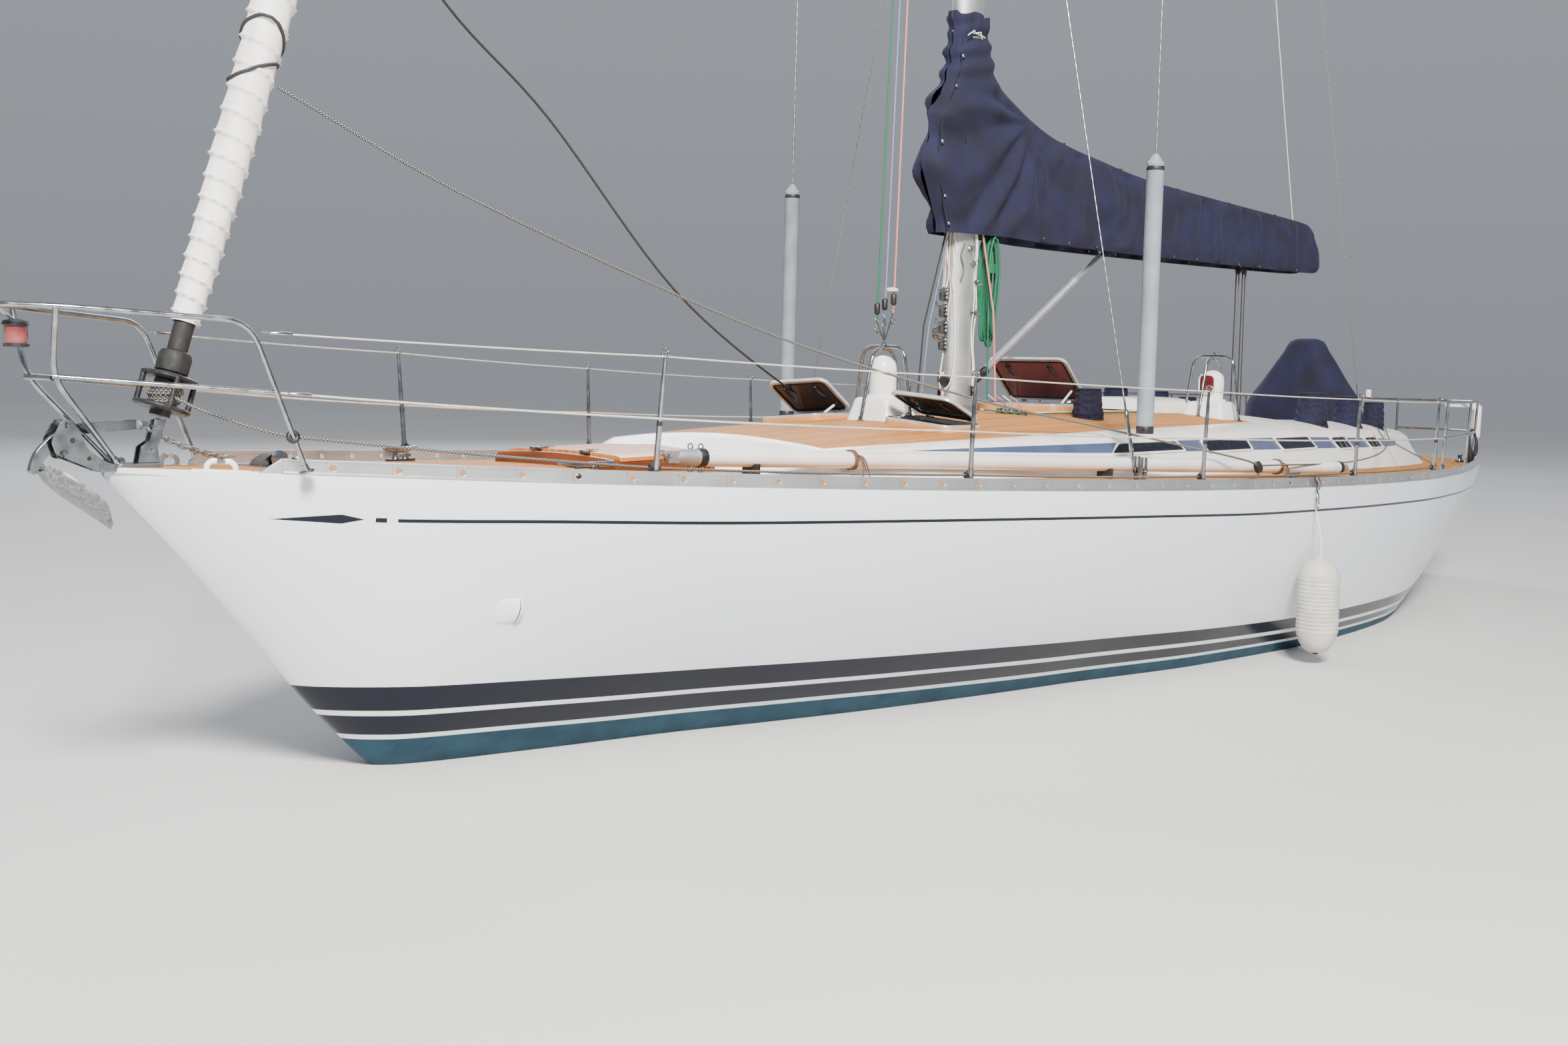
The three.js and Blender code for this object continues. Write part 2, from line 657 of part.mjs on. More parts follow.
// Vent box with a cowl
function dorade(x, y, base) {
  const rings = [[1500, 190, 200], [base, 180, 190], [base + 215, 140, 150]].map(([z, a, b]) => [
    vec(x - a, y - b, z), vec(x + a, y - b, z), vec(x + a, y + b, z), vec(x - a, y + b, z),
  ]);
  const cowl = turned([
    [0, 0], [110, 0], [110, 24], [88, 26], [88, 90], [92, 160], [86, 215], [62, 258], [30, 276], [0, 280],
  ], 20, x, y, base + 210);
  return seated(manifoldOf(loft(rings, 'xy')).add(cowl));
}

// Winch covers: x, y, foot radius, top radius and height
const WINCH_COVERS = [
  ['cockpit_1', -3300, 990, 150, 110, 300],
  ['cockpit_2', -4120, 985, 135, 108, 270],
  ['cockpit_3', -4760, 980, 105, 88, 210],
];
function winchCover(x, y, foot, top, height) {
  const base = 1640;
  return seated(turned([
    [0, -100], [foot, -100], [foot, 30], [0.93 * foot, height * 0.5],
    [top, height * 0.92], [top * 0.9, height], [0, height],
  ], 20, x, y, base));
}

const PEDESTAL = { x: -5380, hem: 1120 };
const pedestal = bar(vec(PEDESTAL.x, 0, 820 + SEAT_GAP), vec(PEDESTAL.x, 0, PEDESTAL.hem - SEAT_GAP), 90, 16);
function wheelCover() {
  // Height, centre x, half length and half width
  const rows = [
    [PEDESTAL.hem, -5380, 330, 590],
    [1500, -5380, 340, 600],
    [1800, -5390, 320, 570],
    [2080, -5400, 230, 400],
    [2330, -5410, 165, 225],
    [2440, -5415, 125, 160],
    [2470, -5415, 70, 100],
  ];
  const rings = rows.map(([z, x, a, b]) => {
    const points = [];
    for (let i = 0; i < 16; i += 1) {
      const turn = (Math.PI * (2 * i + 1)) / 16;
      const [c, s] = [Math.cos(turn), Math.sin(turn)];
      const power = 0.7;
      points.push(vec(x + a * Math.sign(c) * Math.abs(c) ** power, b * Math.sign(s) * Math.abs(s) ** power, z));
    }
    return points;
  });
  return manifoldOf(loft(rings, 'xy'));
}

// Toe rail, guard rails, pulpit and pushpit
function toeRail() {
  const stations = [6560, 6500, ...STATIONS.filter((x) => x <= 6460)];
  const rings = stations.map((x) => {
    const beam = halfBeam(x);
    const low = sheer(x) + DECK_EDGE + SEAT_GAP;
    const high = x > 6520 ? low + 12 : sheer(x) + RAIL_TOP;
    return [[beam - RAIL_WIDTH, low], [beam, low], [beam, high], [beam - RAIL_WIDTH, high]]
      .map(([y, z]) => vec(x, y, z));
  });
  return seated(manifoldOf(loft(rings))).intersect(aheadOfStern(4));
}

// Stanchion places along each side
const STANCHIONS = [4857, 2909, 802, -1499, -3550];
const stanchionFoot = (x) => vec(x, halfBeam(x) - 75, sheer(x));
const guardAt = (x, height) => vec(x, halfBeam(x) - 55, sheer(x) + height);
function guardRail() {
  const posts = STANCHIONS.map((x) => bar(stanchionFoot(x), guardAt(x, GUARD_HEIGHT + 14), TUBE_R, 6));
  const ends = { fore: 6380, aft: -3900 };
  const lines = [GUARD_HEIGHT, GUARD_MID].map((height) => {
    const fore = height === GUARD_HEIGHT ? vec(6685, 520, 2150) : vec(6575, 560, 1895);
    return bentBar([fore, ...STANCHIONS.map((x) => guardAt(x, height)), guardAt(ends.aft, height)], LINE_R, 6);
  });
  return seated(join([...posts, ...lines]));
}

function pulpit() {
  const half = (side) => {
    const foot = vec(6420, side * 600, 1500);
    const bend = vec(6772, side * 498, 2195);
    const front = vec(7460, side * 215, 2258);
    const low = vec(7445, side * 130, 1968);
    const knee = vec(6590, side * 552, 1870);
    return [
      bentBar([foot, bend, front, vec(7640, side * 95, 2270), vec(7660, 0, 2271)], TUBE_R),
      bentBar([knee, low], TUBE_R * 0.9),
      bentBar([front, low, vec(7130, side * 28, STEM_TOP - 8)], TUBE_R),
    ];
  };
  const cross = bar(vec(7445, -130, 1968), vec(7445, 130, 1968), TUBE_R * 0.9, 6);
  return seated(join([...half(-1), ...half(1), cross]))
    .subtract(box(6900, 7300, -70, 70, 1400, STEM_TOP + SEAT_GAP));
}

// Pushpit legs along each side
const PUSHPIT_LEGS = [-3950, -5600, -6780];
function pushpit() {
  const side = (sign) => {
    const onSide = ({ x, y, z }) => vec(x, sign * y, z);
    const at = (x, height) => onSide(guardAt(x, height));
    const legs = PUSHPIT_LEGS.map((x) =>
      bar(onSide(stanchionFoot(x)), at(x, GUARD_HEIGHT), TUBE_R, 6));
    const rails = [GUARD_HEIGHT, GUARD_MID].map((height) =>
      bentBar([
        ...PUSHPIT_LEGS.map((x) => at(x, height)),
        vec(-7060, sign * 860, sheer(-7060) + height),
        vec(-7120, sign * 330, sheer(-7100) + height),
      ], TUBE_R));
    const inner = bar(vec(-7120, sign * 330, 1150), vec(-7120, sign * 330, sheer(-7100) + GUARD_HEIGHT), TUBE_R, 6);
    return [...legs, ...rails, inner];
  };
  const cross = bar(vec(-7120, -330, sheer(-7100) + GUARD_HEIGHT), vec(-7120, 330, sheer(-7100) + GUARD_HEIGHT), TUBE_R, 6);
  return seated(join([...side(1), ...side(-1), cross]));
}

// Stem fitting, forestay toggle and anchor
const stayDirection = vec(STAY_HEAD.x - STAY_BASE.x, 0, STAY_HEAD.z - STAY_BASE.z).normalize();
const onStay = (z) => vec(STAY_BASE.x + ((z - STAY_BASE.z) * stayDirection.x) / stayDirection.z, 0, z);
const DRUM_FOOT = 1800;
const STEM_TOP = 1592;
function plate(points, y0, y1) {
  return manifoldOf(loft([y0, y1].map((y) => points.map(([x, z]) => vec(x, y, z))), 'xz'));
}
function stemFitting() {
  const base = box(6930, 7215, -52, 52, 1530, STEM_TOP);
  const cheek = [
    [7120, 1585], [7215, 1562], [7400, 1640], [7420, 1700], [7372, 1790], [7330, 1790], [7262, 1660],
    [7180, 1600],
  ];
  const cheeks = [-1, 1].map((side) => plate(cheek, side * 40, side * 48));
  const roller = bar(vec(7368, -40, 1643.7), vec(7368, 40, 1643.7), 22, 24);
  const toggle = bar(onStay(1580), onStay(DRUM_FOOT - RUN_GAP), 16, 10);
  const ears = [-1, 1].map((side) =>
    plate([[6935, 1585], [7015, 1585], [6985, 1700], [6925, 1700]], side * 18, side * 28));
  const crossPin = bar(vec(6956, -34, 1668), vec(6956, 34, 1668), 10, 10);
  return join([base, ...cheeks, roller, toggle, ...ears, crossPin])
    .subtract(hullSolid.scale([1, 3, 1]).translate([SEAT_GAP, 0, SEAT_GAP]))
    .subtract(deckBulk.translate([0, 0, SEAT_GAP]));
}

function anchor() {
  const shank = plate([
    [7010, 1748], [7300, 1728], [7430, 1622], [7470, 1560], [7500, 1575], [7455, 1672], [7310, 1764],
    [7010, 1780],
  ], -12, 12);
  const fluke = (side) => manifoldOf(loft([
    [vec(7480, 0, 1590), vec(7470, side * 20, 1560), vec(7455, 0, 1540)],
    [vec(7350, 0, 1480), vec(7365, side * 150, 1520), vec(7330, 0, 1450)],
    [vec(7235, 0, 1395), vec(7215, side * 130, 1410), vec(7225, 0, 1372)],
    [vec(7150, 0, 1330), vec(7152, side * 24, 1322), vec(7148, 0, 1316)],
  ]));
  return join([shank, fluke(1), fluke(-1)]);
}

// Furler: radius and distance up the stay
function onStayBody(profile, sides, from) {
  const geometry = new THREE.LatheGeometry(profile.map(([r, h]) => new THREE.Vector2(r, h)), sides);
  const body = outwardIndexed(geometry);
  body.applyQuaternion(new THREE.Quaternion().setFromUnitVectors(vec(0, 1, 0), stayDirection));
  const start = onStay(from);
  body.translate(start.x, start.y, start.z);
  return manifoldOf(body);
}
const SAIL_FOOT = 2245;
const furlerDrum = onStayBody([
  [0, 0], [46, 0], [46, 24], [122, 30], [128, 46], [100, 52], [100, 168], [126, 174], [124, 190],
  [72, 200], [72, 286], [60, 300], [45, 304], [45, 460], [0, 460],
], 20, DRUM_FOOT);
const sailLength = (21150 - SAIL_FOOT) / stayDirection.z;
const furledGenoa = onStayBody([
  [0, 0], [52, 0], [60, 60], [74, 900], [92, 2300], [98, 4500], [92, 9000], [74, 14500],
  [46, sailLength - 900], [18, sailLength - 800], [14, sailLength], [0, sailLength],
], 20, DRUM_FOOT + 460 * stayDirection.z + SEAT_GAP);

// Mast, spreaders and rigging
function ellipse(a, b, z, count = 20, x = MAST_X) {
  const points = [];
  for (let i = 0; i < count; i += 1) {
    const turn = (2 * Math.PI * i) / count;
    points.push(vec(x + a * Math.cos(turn), b * Math.sin(turn), z));
  }
  return points;
}
// Spreaders: height on the mast and half span
const SPREADERS = [[8300, 1585], [14300, 1270]];
const SPREADER_X = 790;
function spreaderBar(half, z, grow = 0) {
  const ring = (y, a, b) => [[a, 0], [a * 0.6, b], [-a * 0.6, b], [-a, 0], [-a * 0.6, -b], [a * 0.6, -b]]
    .map(([dx, dz]) => vec(SPREADER_X + dx, y, z + dz));
  const mid = [45 + grow, 16 + grow];
  const tip = [28 + grow, 10 + grow];
  return manifoldOf(loft([ring(-half, ...tip), ring(-100, ...mid), ring(100, ...mid), ring(half, ...tip)], 'xz'));
}
function mast() {
  const [a, b] = [MAST_LONG / 2, MAST_WIDE / 2];
  const tube = manifoldOf(loft([
    ellipse(a, b, 1600), ellipse(a, b, 17000), ellipse(a * 0.72, b * 0.72, MAST_TOP),
  ], 'xy'));
  const crane = plate([[500, 21610], [500, 21650], [960, 21650], [960, 21560], [840, 21420], [640, 21420]], -22, 22);
  const aft = MAST_X - a;
  const tangs = [BOOM_Z + 45, BOOM_Z - 75].map((z) =>
    box(GOOSENECK_X - 22, aft + 12, -24, 24, z, z + 30));
  const vangTangs = [2040, 1960].map((z) => box(GOOSENECK_X - 18, aft + 12, -20, 20, z - 12, z + 12));
  const body = seated(join([tube, crane, ...tangs, ...vangTangs]));
  return SPREADERS.reduce((sum, [z, half]) => sum.subtract(spreaderBar(half + 20, z, SEAT_GAP)), body);
}

function shrouds() {
  const deck = deckHeight(CHAINPLATE_X, 1550);
  const plateBlock = box(720, 880, 1495, 1650, deck - 40, deck + 10);
  const lowerFoot = vec(770, 1520, deck);
  const lowerHead = vec(MAST_X, MAST_WIDE / 2 + 8, 8080);
  const capFoot = vec(CHAINPLATE_X, CHAINPLATE_Y, deck);
  const capKnee = vec(CHAINPLATE_X, CHAINPLATE_Y, 1675);
  const tips = SPREADERS.map(([z, half]) => vec(SPREADER_X, half + 8, z));
  const capHead = vec(MAST_X, MAST_WIDE * 0.36 + 8, 21450);
  const up = (from, to, distance) => from.clone().add(to.clone().sub(from).normalize().multiplyScalar(distance));
  return seated(join([
    plateBlock,
    bar(capFoot, capKnee, 16, 10),
    bentBar([up(capKnee, capFoot, 10), ...tips, capHead], 6, 6),
    bar(up(lowerFoot, lowerHead, 190), up(lowerFoot, lowerHead, 480), 14, 10),
    bar(lowerFoot, lowerHead, 5.5, 6),
  ]));
}

function shroudTube() {
  const from = vec(CHAINPLATE_X, CHAINPLATE_Y, 1675 + SEAT_GAP);
  const tip = vec(SPREADER_X, SPREADERS[0][1] + 8, SPREADERS[0][0]);
  const along = tip.clone().sub(from).normalize();
  const at = (distance) => from.clone().add(along.clone().multiplyScalar(distance));
  const outer = bar(at(0), at(1790), 57, 20).add(bar(at(1789), at(1850), 57, 20, 20));
  return outer.subtract(bar(at(-20), at(1900), 7, 8));
}

const backstayHead = vec(492, 0, 21600);
const backstay = seated(bar(vec(BACKSTAY_BASE.x, 0, BACKSTAY_BASE.z - 60), backstayHead, 6, 8)
  .add(bar(vec(-7080, 0, 1150), vec(-6945, 0, 1577), 15, 10)));

// Boom, vang and covers
const boomSlope = BOOM_RISE / (GOOSENECK_X - BOOM_END);
const boomZ = (x) => BOOM_Z + (GOOSENECK_X - x) * boomSlope;
function boomRing(x, half, tall, points = 12) {
  const ring = [];
  for (let i = 0; i < points; i += 1) {
    const turn = (2 * Math.PI * (i + 0.5)) / points;
    const [c, s] = [Math.cos(turn), Math.sin(turn)];
    ring.push(vec(x, half * Math.sign(c) * Math.abs(c) ** 0.6, boomZ(x) + tall * Math.sign(s) * Math.abs(s) ** 0.6));
  }
  return ring;
}
function boom() {
  const spar = manifoldOf(loft([boomRing(485, 72, 95), boomRing(BOOM_END, 72, 95)]));
  const toggle = bar(vec(GOOSENECK_X, 0, BOOM_Z - 45 + RUN_GAP), vec(GOOSENECK_X, 0, BOOM_Z + 45 - RUN_GAP), 20, 16);
  const neck = box(480, GOOSENECK_X, -18, 18, BOOM_Z - 40, BOOM_Z + 40);
  return join([spar, toggle, neck]);
}
const VANG_TOP = -1250;
function vang() {
  const foot = vec(GOOSENECK_X, 0, 2000);
  const head = vec(VANG_TOP, 0, boomZ(VANG_TOP) - 95 - 62);
  const along = head.clone().sub(foot).normalize();
  const at = (distance) => foot.clone().add(along.clone().multiplyScalar(distance));
  const reach = head.distanceTo(foot);
  const eye = bar(vec(GOOSENECK_X, 0, 1972 + RUN_GAP), vec(GOOSENECK_X, 0, 2028 - RUN_GAP), 18, 14);
  const lug = box(VANG_TOP - 60, VANG_TOP + 60, -20, 20, head.z - 30, boomZ(VANG_TOP) - 60)
    .subtract(manifoldOf(loft([boomRing(485, 72.3, 95.3), boomRing(BOOM_END, 72.3, 95.3)])));
  return join([
    eye, bar(at(0), at(80), 11, 10), bar(at(60), at(430), 20, 12), bar(at(420), at(reach), 42, 14), lug,
  ]);
}

// Boom cover: x, height of its lower edge, height of its top, half width low and high
const BOOM_COVER = [
  [470, 3085, 4235, 100, 60],
  [250, 3068, 4150, 150, 80],
  [-60, 3060, 4010, 178, 80],
  [-480, 3058, 3905, 190, 75],
  [-1150, 3062, 3815, 192, 70],
  [-2000, 3070, 3735, 186, 66],
  [-3200, 3085, 3690, 170, 60],
  [-4400, 3105, 3655, 150, 55],
  [-5200, 3125, 3635, 125, 48],
  [-5420, 3170, 3560, 95, 40],
];
function boomCover() {
  const rings = BOOM_COVER.map(([x, low, high, wide, thin]) => {
    const tall = high - low;
    const side = [[0.35 * wide, 0], [0.9 * wide, 0.08], [wide, 0.26], [0.86 * wide, 0.5], [thin * 1.25, 0.8], [thin * 0.5, 1]];
    const port = side.map(([y, share]) => vec(x, y, low + tall * share));
    const starboard = [...side].reverse().map(([y, share]) => vec(x, -y, low + tall * share));
    return [...port, ...starboard];
  });
  const channel = manifoldOf(loft([boomRing(520, 72.4, 95.4), boomRing(BOOM_END - 200, 72.4, 95.4)]));
  const vangSlot = box(VANG_TOP - 130, VANG_TOP + 230, -60, 60, 2900, BOOM_Z);
  return manifoldOf(loft(rings)).subtract(channel).subtract(vangSlot);
}

// Mast cover: height, forward reach and half width; it wraps the front and sides of the mast
const MAST_COVER = [
  [3060, 1075, 130],
  [3200, 1110, 165],
  [3650, 1245, 175],
  [3850, 1190, 165],
  [4180, 1110, 150],
  [4420, 1010, 128],
  [4620, 930, 112],
];
function mastCover() {
  const rings = MAST_COVER.map(([z, fore, half]) => [
    vec(620, half * 0.8, z), vec(760, half, z), vec(900, half * 0.92, z), vec(fore - 60, half * 0.4, z),
    vec(fore, 0, z),
    vec(fore - 60, -half * 0.4, z), vec(900, -half * 0.92, z), vec(760, -half, z), vec(620, -half * 0.8, z),
  ]);
  const [a, b] = [MAST_LONG / 2 + 1, MAST_WIDE / 2 + 1];
  const mastSpace = manifoldOf(loft([ellipse(a, b, 2900), ellipse(a, b, 4800)], 'xy'));
  const swing = bar(vec(GOOSENECK_X, 0, 2900), vec(GOOSENECK_X, 0, 4800), 160, 32);
  return manifoldOf(loft(rings, 'xy')).subtract(mastSpace).subtract(swing);
}

// Spinnaker pole stowed along the port side deck, on two chocks
function spinnakerPole() {
  const from = vec(4640, 880, 1594);
  const to = vec(-2060, 1834, 1359);
  const along = to.clone().sub(from).normalize();
  const at = (distance) => from.clone().add(along.clone().multiplyScalar(distance));
  const reach = to.distanceTo(from);
  const chocks = [260, reach - 260].map((distance) => {
    const p = at(distance);
    return box(p.x - 45, p.x + 45, p.y - 40, p.y + 40, p.z - 140, p.z - 30);
  });
  return seated(join([
    bar(at(0), at(90), 26, 12), bar(at(60), at(200), 40, 14), bar(at(190), at(reach - 190), 50, 16),
    bar(at(reach - 200), at(reach - 60), 40, 14), bar(at(reach - 90), at(reach), 26, 12), ...chocks,
  ]));
}

// Fender hung on the port side
const FENDER = { x: -640, low: 90, high: 800, radius: 150 };
function fender() {
  const hang = halfBeam(FENDER.x) + 62;
  const body = turned([
    [0, FENDER.low], [70, FENDER.low + 8], [130, FENDER.low + 50], [150, FENDER.low + 110],
    [150, FENDER.high - 110], [130, FENDER.high - 50], [60, FENDER.high - 6], [0, FENDER.high],
  ], 20, FENDER.x, hang, 0);
  const rope = bar(vec(FENDER.x, hang, FENDER.high - 8), vec(FENDER.x, halfBeam(FENDER.x) + 10, sheer(FENDER.x) + 40), 7, 8)
    .add(bar(vec(FENDER.x, halfBeam(FENDER.x) + 7.5, sheer(FENDER.x) + 30), vec(FENDER.x, halfBeam(FENDER.x) + 7.5, sheer(FENDER.x) + 75), 7, 8));
  return body.add(rope).subtract(hullSolid.translate([0, SEAT_GAP, 0]));
}

// Mooring cleats: x and y on the port side
const CLEATS = [['bow_cleat', 5080, 800]];
function cleat(x, y) {
  const base = deckHeight(x, y);
  const foot = box(x - 90, x + 90, y - 28, y + 28, base - 60, base + 14);
  const stems = [-1, 1].map((side) => bar(vec(x + side * 50, y, base), vec(x + side * 50, y, base + 58), 15, 10));
  const horn = bar(vec(x - 150, y, base + 64), vec(x + 150, y, base + 64), 14, 10);
  const pad = box(x - 45, x + 45, y - 14, y + 14, base + 55, base + 78);
  return seated(join([foot, ...stems, horn, pad]));
}

// Assembly: each piece is one named mesh with its own finish
const yacht = new THREE.Group();
function add(name, manifold, color, roughness, metalness = 0) {
  const material = new THREE.MeshStandardMaterial({ color, roughness, metalness });
  const mesh = new THREE.Mesh(geometryOf(manifold), material);
  mesh.name = name;
  yacht.add(mesh);
}

const WHITE = 0xf2f1ec;
const NAVY = 0x1d2340;
const STEEL = 0xc9ccce;
const ALLOY = 0xb9bcbf;
const TEAK = 0xc08a55;
const VARNISH = 0x8a4a26;

add('hull_shell', hullShell, WHITE, 0.2);
for (const [name, fore, aft] of DECK_LENGTHS) add(name, deckLength(fore, aft), TEAK, 0.6);
add('fin_keel', finKeel, 0x2f5f74, 0.7);
add('rudder', rudder, 0x2f5f74, 0.7);
add('propeller', propeller(), 0xa87d3c, 0.35, 1);
add('shaft_strut', shaftStrut(), 0xa87d3c, 0.4, 1);
add('engine_block', engine, 0x8f9498, 0.6);
add('toe_rail_port', toeRail(), ALLOY, 0.35, 1);
add('toe_rail_starboard', mirrored(toeRail()), ALLOY, 0.35, 1);
add('pulpit', pulpit(), STEEL, 0.15, 1);
add('pushpit', pushpit(), STEEL, 0.15, 1);
add('guard_rail_port', guardRail(), STEEL, 0.15, 1);
add('guard_rail_starboard', mirrored(guardRail()), STEEL, 0.15, 1);
add('stem_fitting', stemFitting(), STEEL, 0.25, 1);
add('anchor', anchor(), 0xb4b6b8, 0.45, 1);
add('furler_drum', furlerDrum, 0x2c2e31, 0.45);
add('furled_genoa', furledGenoa, 0xf0efea, 0.8);
add('mast', mast(), 0xc7c8c6, 0.4, 1);
add('spreaders_lower', spreaderBar(SPREADERS[0][1], SPREADERS[0][0]), ALLOY, 0.4, 1);
add('spreaders_upper', spreaderBar(SPREADERS[1][1], SPREADERS[1][0]), ALLOY, 0.4, 1);
add('shrouds_port', shrouds(), STEEL, 0.25, 1);
add('shrouds_starboard', mirrored(shrouds()), STEEL, 0.25, 1);
add('shroud_tube_port', shroudTube(), WHITE, 0.35);
add('shroud_tube_starboard', mirrored(shroudTube()), WHITE, 0.35);
add('backstay', backstay, STEEL, 0.25, 1);
add('boom', boom(), 0xc7c8c6, 0.4, 1);
add('vang', vang(), 0xb9bcbf, 0.3, 1);
add('boom_cover', boomCover(), NAVY, 0.85);
add('mast_cover', mastCover(), NAVY, 0.85);
add('fore_hatch_coaming', foreHatchCoaming(), VARNISH, 0.25);
add('fore_hatch_lid', foreHatchLid(), VARNISH, 0.25);
for (const [name, hatch] of Object.entries(HATCHES)) {
  add(`${name}_hatch_frame`, hatchFrame(hatch), ALLOY, 0.35, 1);
  add(`${name}_hatch_lid`, hatchLid(hatch), 0x5a5247, 0.15);
}
add('sea_hood', seaHood(), WHITE, 0.3);
add('companionway_hatch', companionwayHatch(), WHITE, 0.3);
add('washboards', washboards, VARNISH, 0.3);
add('window_pane_port', windowPane(), 0x39404f, 0.1);
add('window_pane_starboard', mirrored(windowPane()), 0x39404f, 0.1);
add('dorade_forward', dorade(1720, 60, 1708), WHITE, 0.3);
add('dorade_aft', dorade(-2100, 620, 1715), WHITE, 0.3);
for (const [name, x, y, foot, top, height] of WINCH_COVERS) {
  add(`winch_cover_${name}_port`, winchCover(x, y, foot, top, height), NAVY, 0.85);
  add(`winch_cover_${name}_starboard`, mirrored(winchCover(x, y, foot, top, height)), NAVY, 0.85);
}
add('winch_cover_roof', winchCover(-50, 640, 120, 95, 320), NAVY, 0.85);
add('pedestal', pedestal, WHITE, 0.3);
add('wheel_cover', wheelCover(), NAVY, 0.85);
add('spinnaker_pole', spinnakerPole(), 0xf2f1ec, 0.3);
add('fender', fender(), 0xe9e4d2, 0.5);
for (const [name, x, y] of CLEATS) {
  add(`${name}_port`, cleat(x, y), ALLOY, 0.35, 1);
  add(`${name}_starboard`, mirrored(cleat(x, y)), ALLOY, 0.35, 1);
}

export default yacht;
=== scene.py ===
"""Sailing yacht with a furled headsail, a covered mainsail and open deck hatches.

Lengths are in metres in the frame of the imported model: +X to the bow, +Y to port, +Z up, with the
waterline at zero.
"""
import math

import bmesh
import bpy
from mathutils import Matrix, Vector, noise


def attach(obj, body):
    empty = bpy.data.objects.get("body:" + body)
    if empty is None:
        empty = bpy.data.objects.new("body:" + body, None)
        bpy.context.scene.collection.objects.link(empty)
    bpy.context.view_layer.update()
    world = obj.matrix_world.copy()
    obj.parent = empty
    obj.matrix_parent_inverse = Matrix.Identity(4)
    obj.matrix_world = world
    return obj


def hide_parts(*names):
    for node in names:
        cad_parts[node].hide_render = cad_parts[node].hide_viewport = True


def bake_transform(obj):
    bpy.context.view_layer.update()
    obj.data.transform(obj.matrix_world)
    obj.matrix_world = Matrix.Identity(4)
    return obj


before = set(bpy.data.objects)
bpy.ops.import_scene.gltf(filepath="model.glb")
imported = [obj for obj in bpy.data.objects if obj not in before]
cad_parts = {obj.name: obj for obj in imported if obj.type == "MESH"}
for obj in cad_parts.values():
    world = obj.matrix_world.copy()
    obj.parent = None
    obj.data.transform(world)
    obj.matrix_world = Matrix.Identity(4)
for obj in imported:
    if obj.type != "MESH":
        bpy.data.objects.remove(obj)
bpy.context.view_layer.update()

YACHT = "yacht"
BOOM = "main_boom"
UP = Vector((0, 0, 1))


# The photograph's place and direction
def set_camera():
    data = bpy.data.cameras.new("camera")
    data.sensor_width = 36
    data.lens = 36.103
    data.clip_end = 400
    camera = bpy.data.objects.new("camera", data)
    right = Vector((-0.6649044, 0.7466872, 0.01898318))
    top = Vector((-0.06042185, -0.07910095, 0.99503379))
    ahead = Vector((-0.74448058, -0.66045535, -0.09771079))
    turn = Matrix((right, top, -ahead)).transposed().to_4x4()
    camera.matrix_world = Matrix.Translation((10.35161315, 6.82609645, 2.06808488)) @ turn
    bpy.context.collection.objects.link(camera)
    bpy.context.scene.camera = camera


set_camera()


# Finishes. A pattern's scale is 1000 divided by its size in millimetres, a bump's depth is in millimetres
# divided by 1000.
def linear(hex_colour):
    value = int(hex_colour.lstrip("#"), 16)
    parts = [(value >> shift & 255) / 255 for shift in (16, 8, 0)]
    return [p / 12.92 if p <= 0.04045 else ((p + 0.055) / 1.055) ** 2.4 for p in parts] + [1.0]


def put(tree, kind, inputs=(), out=0, **settings):
    """Adds a shader node with its settings and links, and gives one of its outputs or, for None, all of them.

    Each input is a value or the output of another node.
    """
    new = tree.nodes.new("ShaderNode" + kind)
    for name, value in settings.items():
        setattr(new, name, value)
    for key, value in inputs.items() if isinstance(inputs, dict) else enumerate(inputs):
        if isinstance(value, bpy.types.NodeSocket):
            tree.links.new(value, new.inputs[key])
        else:
            new.inputs[key].default_value = value
    return new.outputs if out is None else new.outputs[out]


def start_finish(name, base, roughness, **sockets):
    """A new material whose even values are set on the shader itself."""
    material = bpy.data.materials.new(name)
    material.use_nodes = True
    material.diffuse_color = linear(base)
    tree = material.node_tree
    surface = tree.nodes["Principled BSDF"]
    surface.inputs["Base Color"].default_value = linear(base)
    surface.inputs["Roughness"].default_value = roughness
    for key, value in sockets.items():
        surface.inputs[key.replace("_", " ")].default_value = value
    return material, tree, surface


def object_place(tree, stretch=(1, 1, 1)):
    place = put(tree, "TexCoord", out="Object")
    return put(tree, "Mapping", {"Vector": place, "Scale": stretch})


def laid_place(tree, stretch=(1, 1, 1)):
    place = put(tree, "TexCoord", out="UV")
    return put(tree, "Mapping", {"Vector": place, "Scale": stretch})


def uneven(tree, surface, place, size_mm, first, second, rough_low, rough_high):
    """Patches of two near colours and two near gloss levels."""
    patches = put(tree, "TexNoise", {"Vector": place, "Scale": 1000 / size_mm, "Detail": 3.0})
    share = put(tree, "MapRange", (patches, 0.35, 0.65))
    colour = put(tree, "Mix", {0: share, 6: linear(first), 7: linear(second)}, out=2, data_type="RGBA")
    tree.links.new(colour, surface.inputs["Base Color"])
    rough = put(tree, "MapRange", (patches, 0.3, 0.7, rough_low, rough_high))
    tree.links.new(rough, surface.inputs["Roughness"])


# Cove line in metres: the dart's fore tip, how its two ends widen, its aft end, the dot ahead of the line,
# and the line's two ends
DART_TIP, DART_END, DART_FORE_SLOPE, DART_AFT_SLOPE = 6.576, 6.198, 0.077, 0.24
DOT_X, DOT_HALF_LENGTH, DOT_HALF_HEIGHT = 6.133, 0.023, 0.011
LINE_FORE, LINE_AFT, LINE_HALF_HEIGHT = 6.066, -6.75, 0.0085


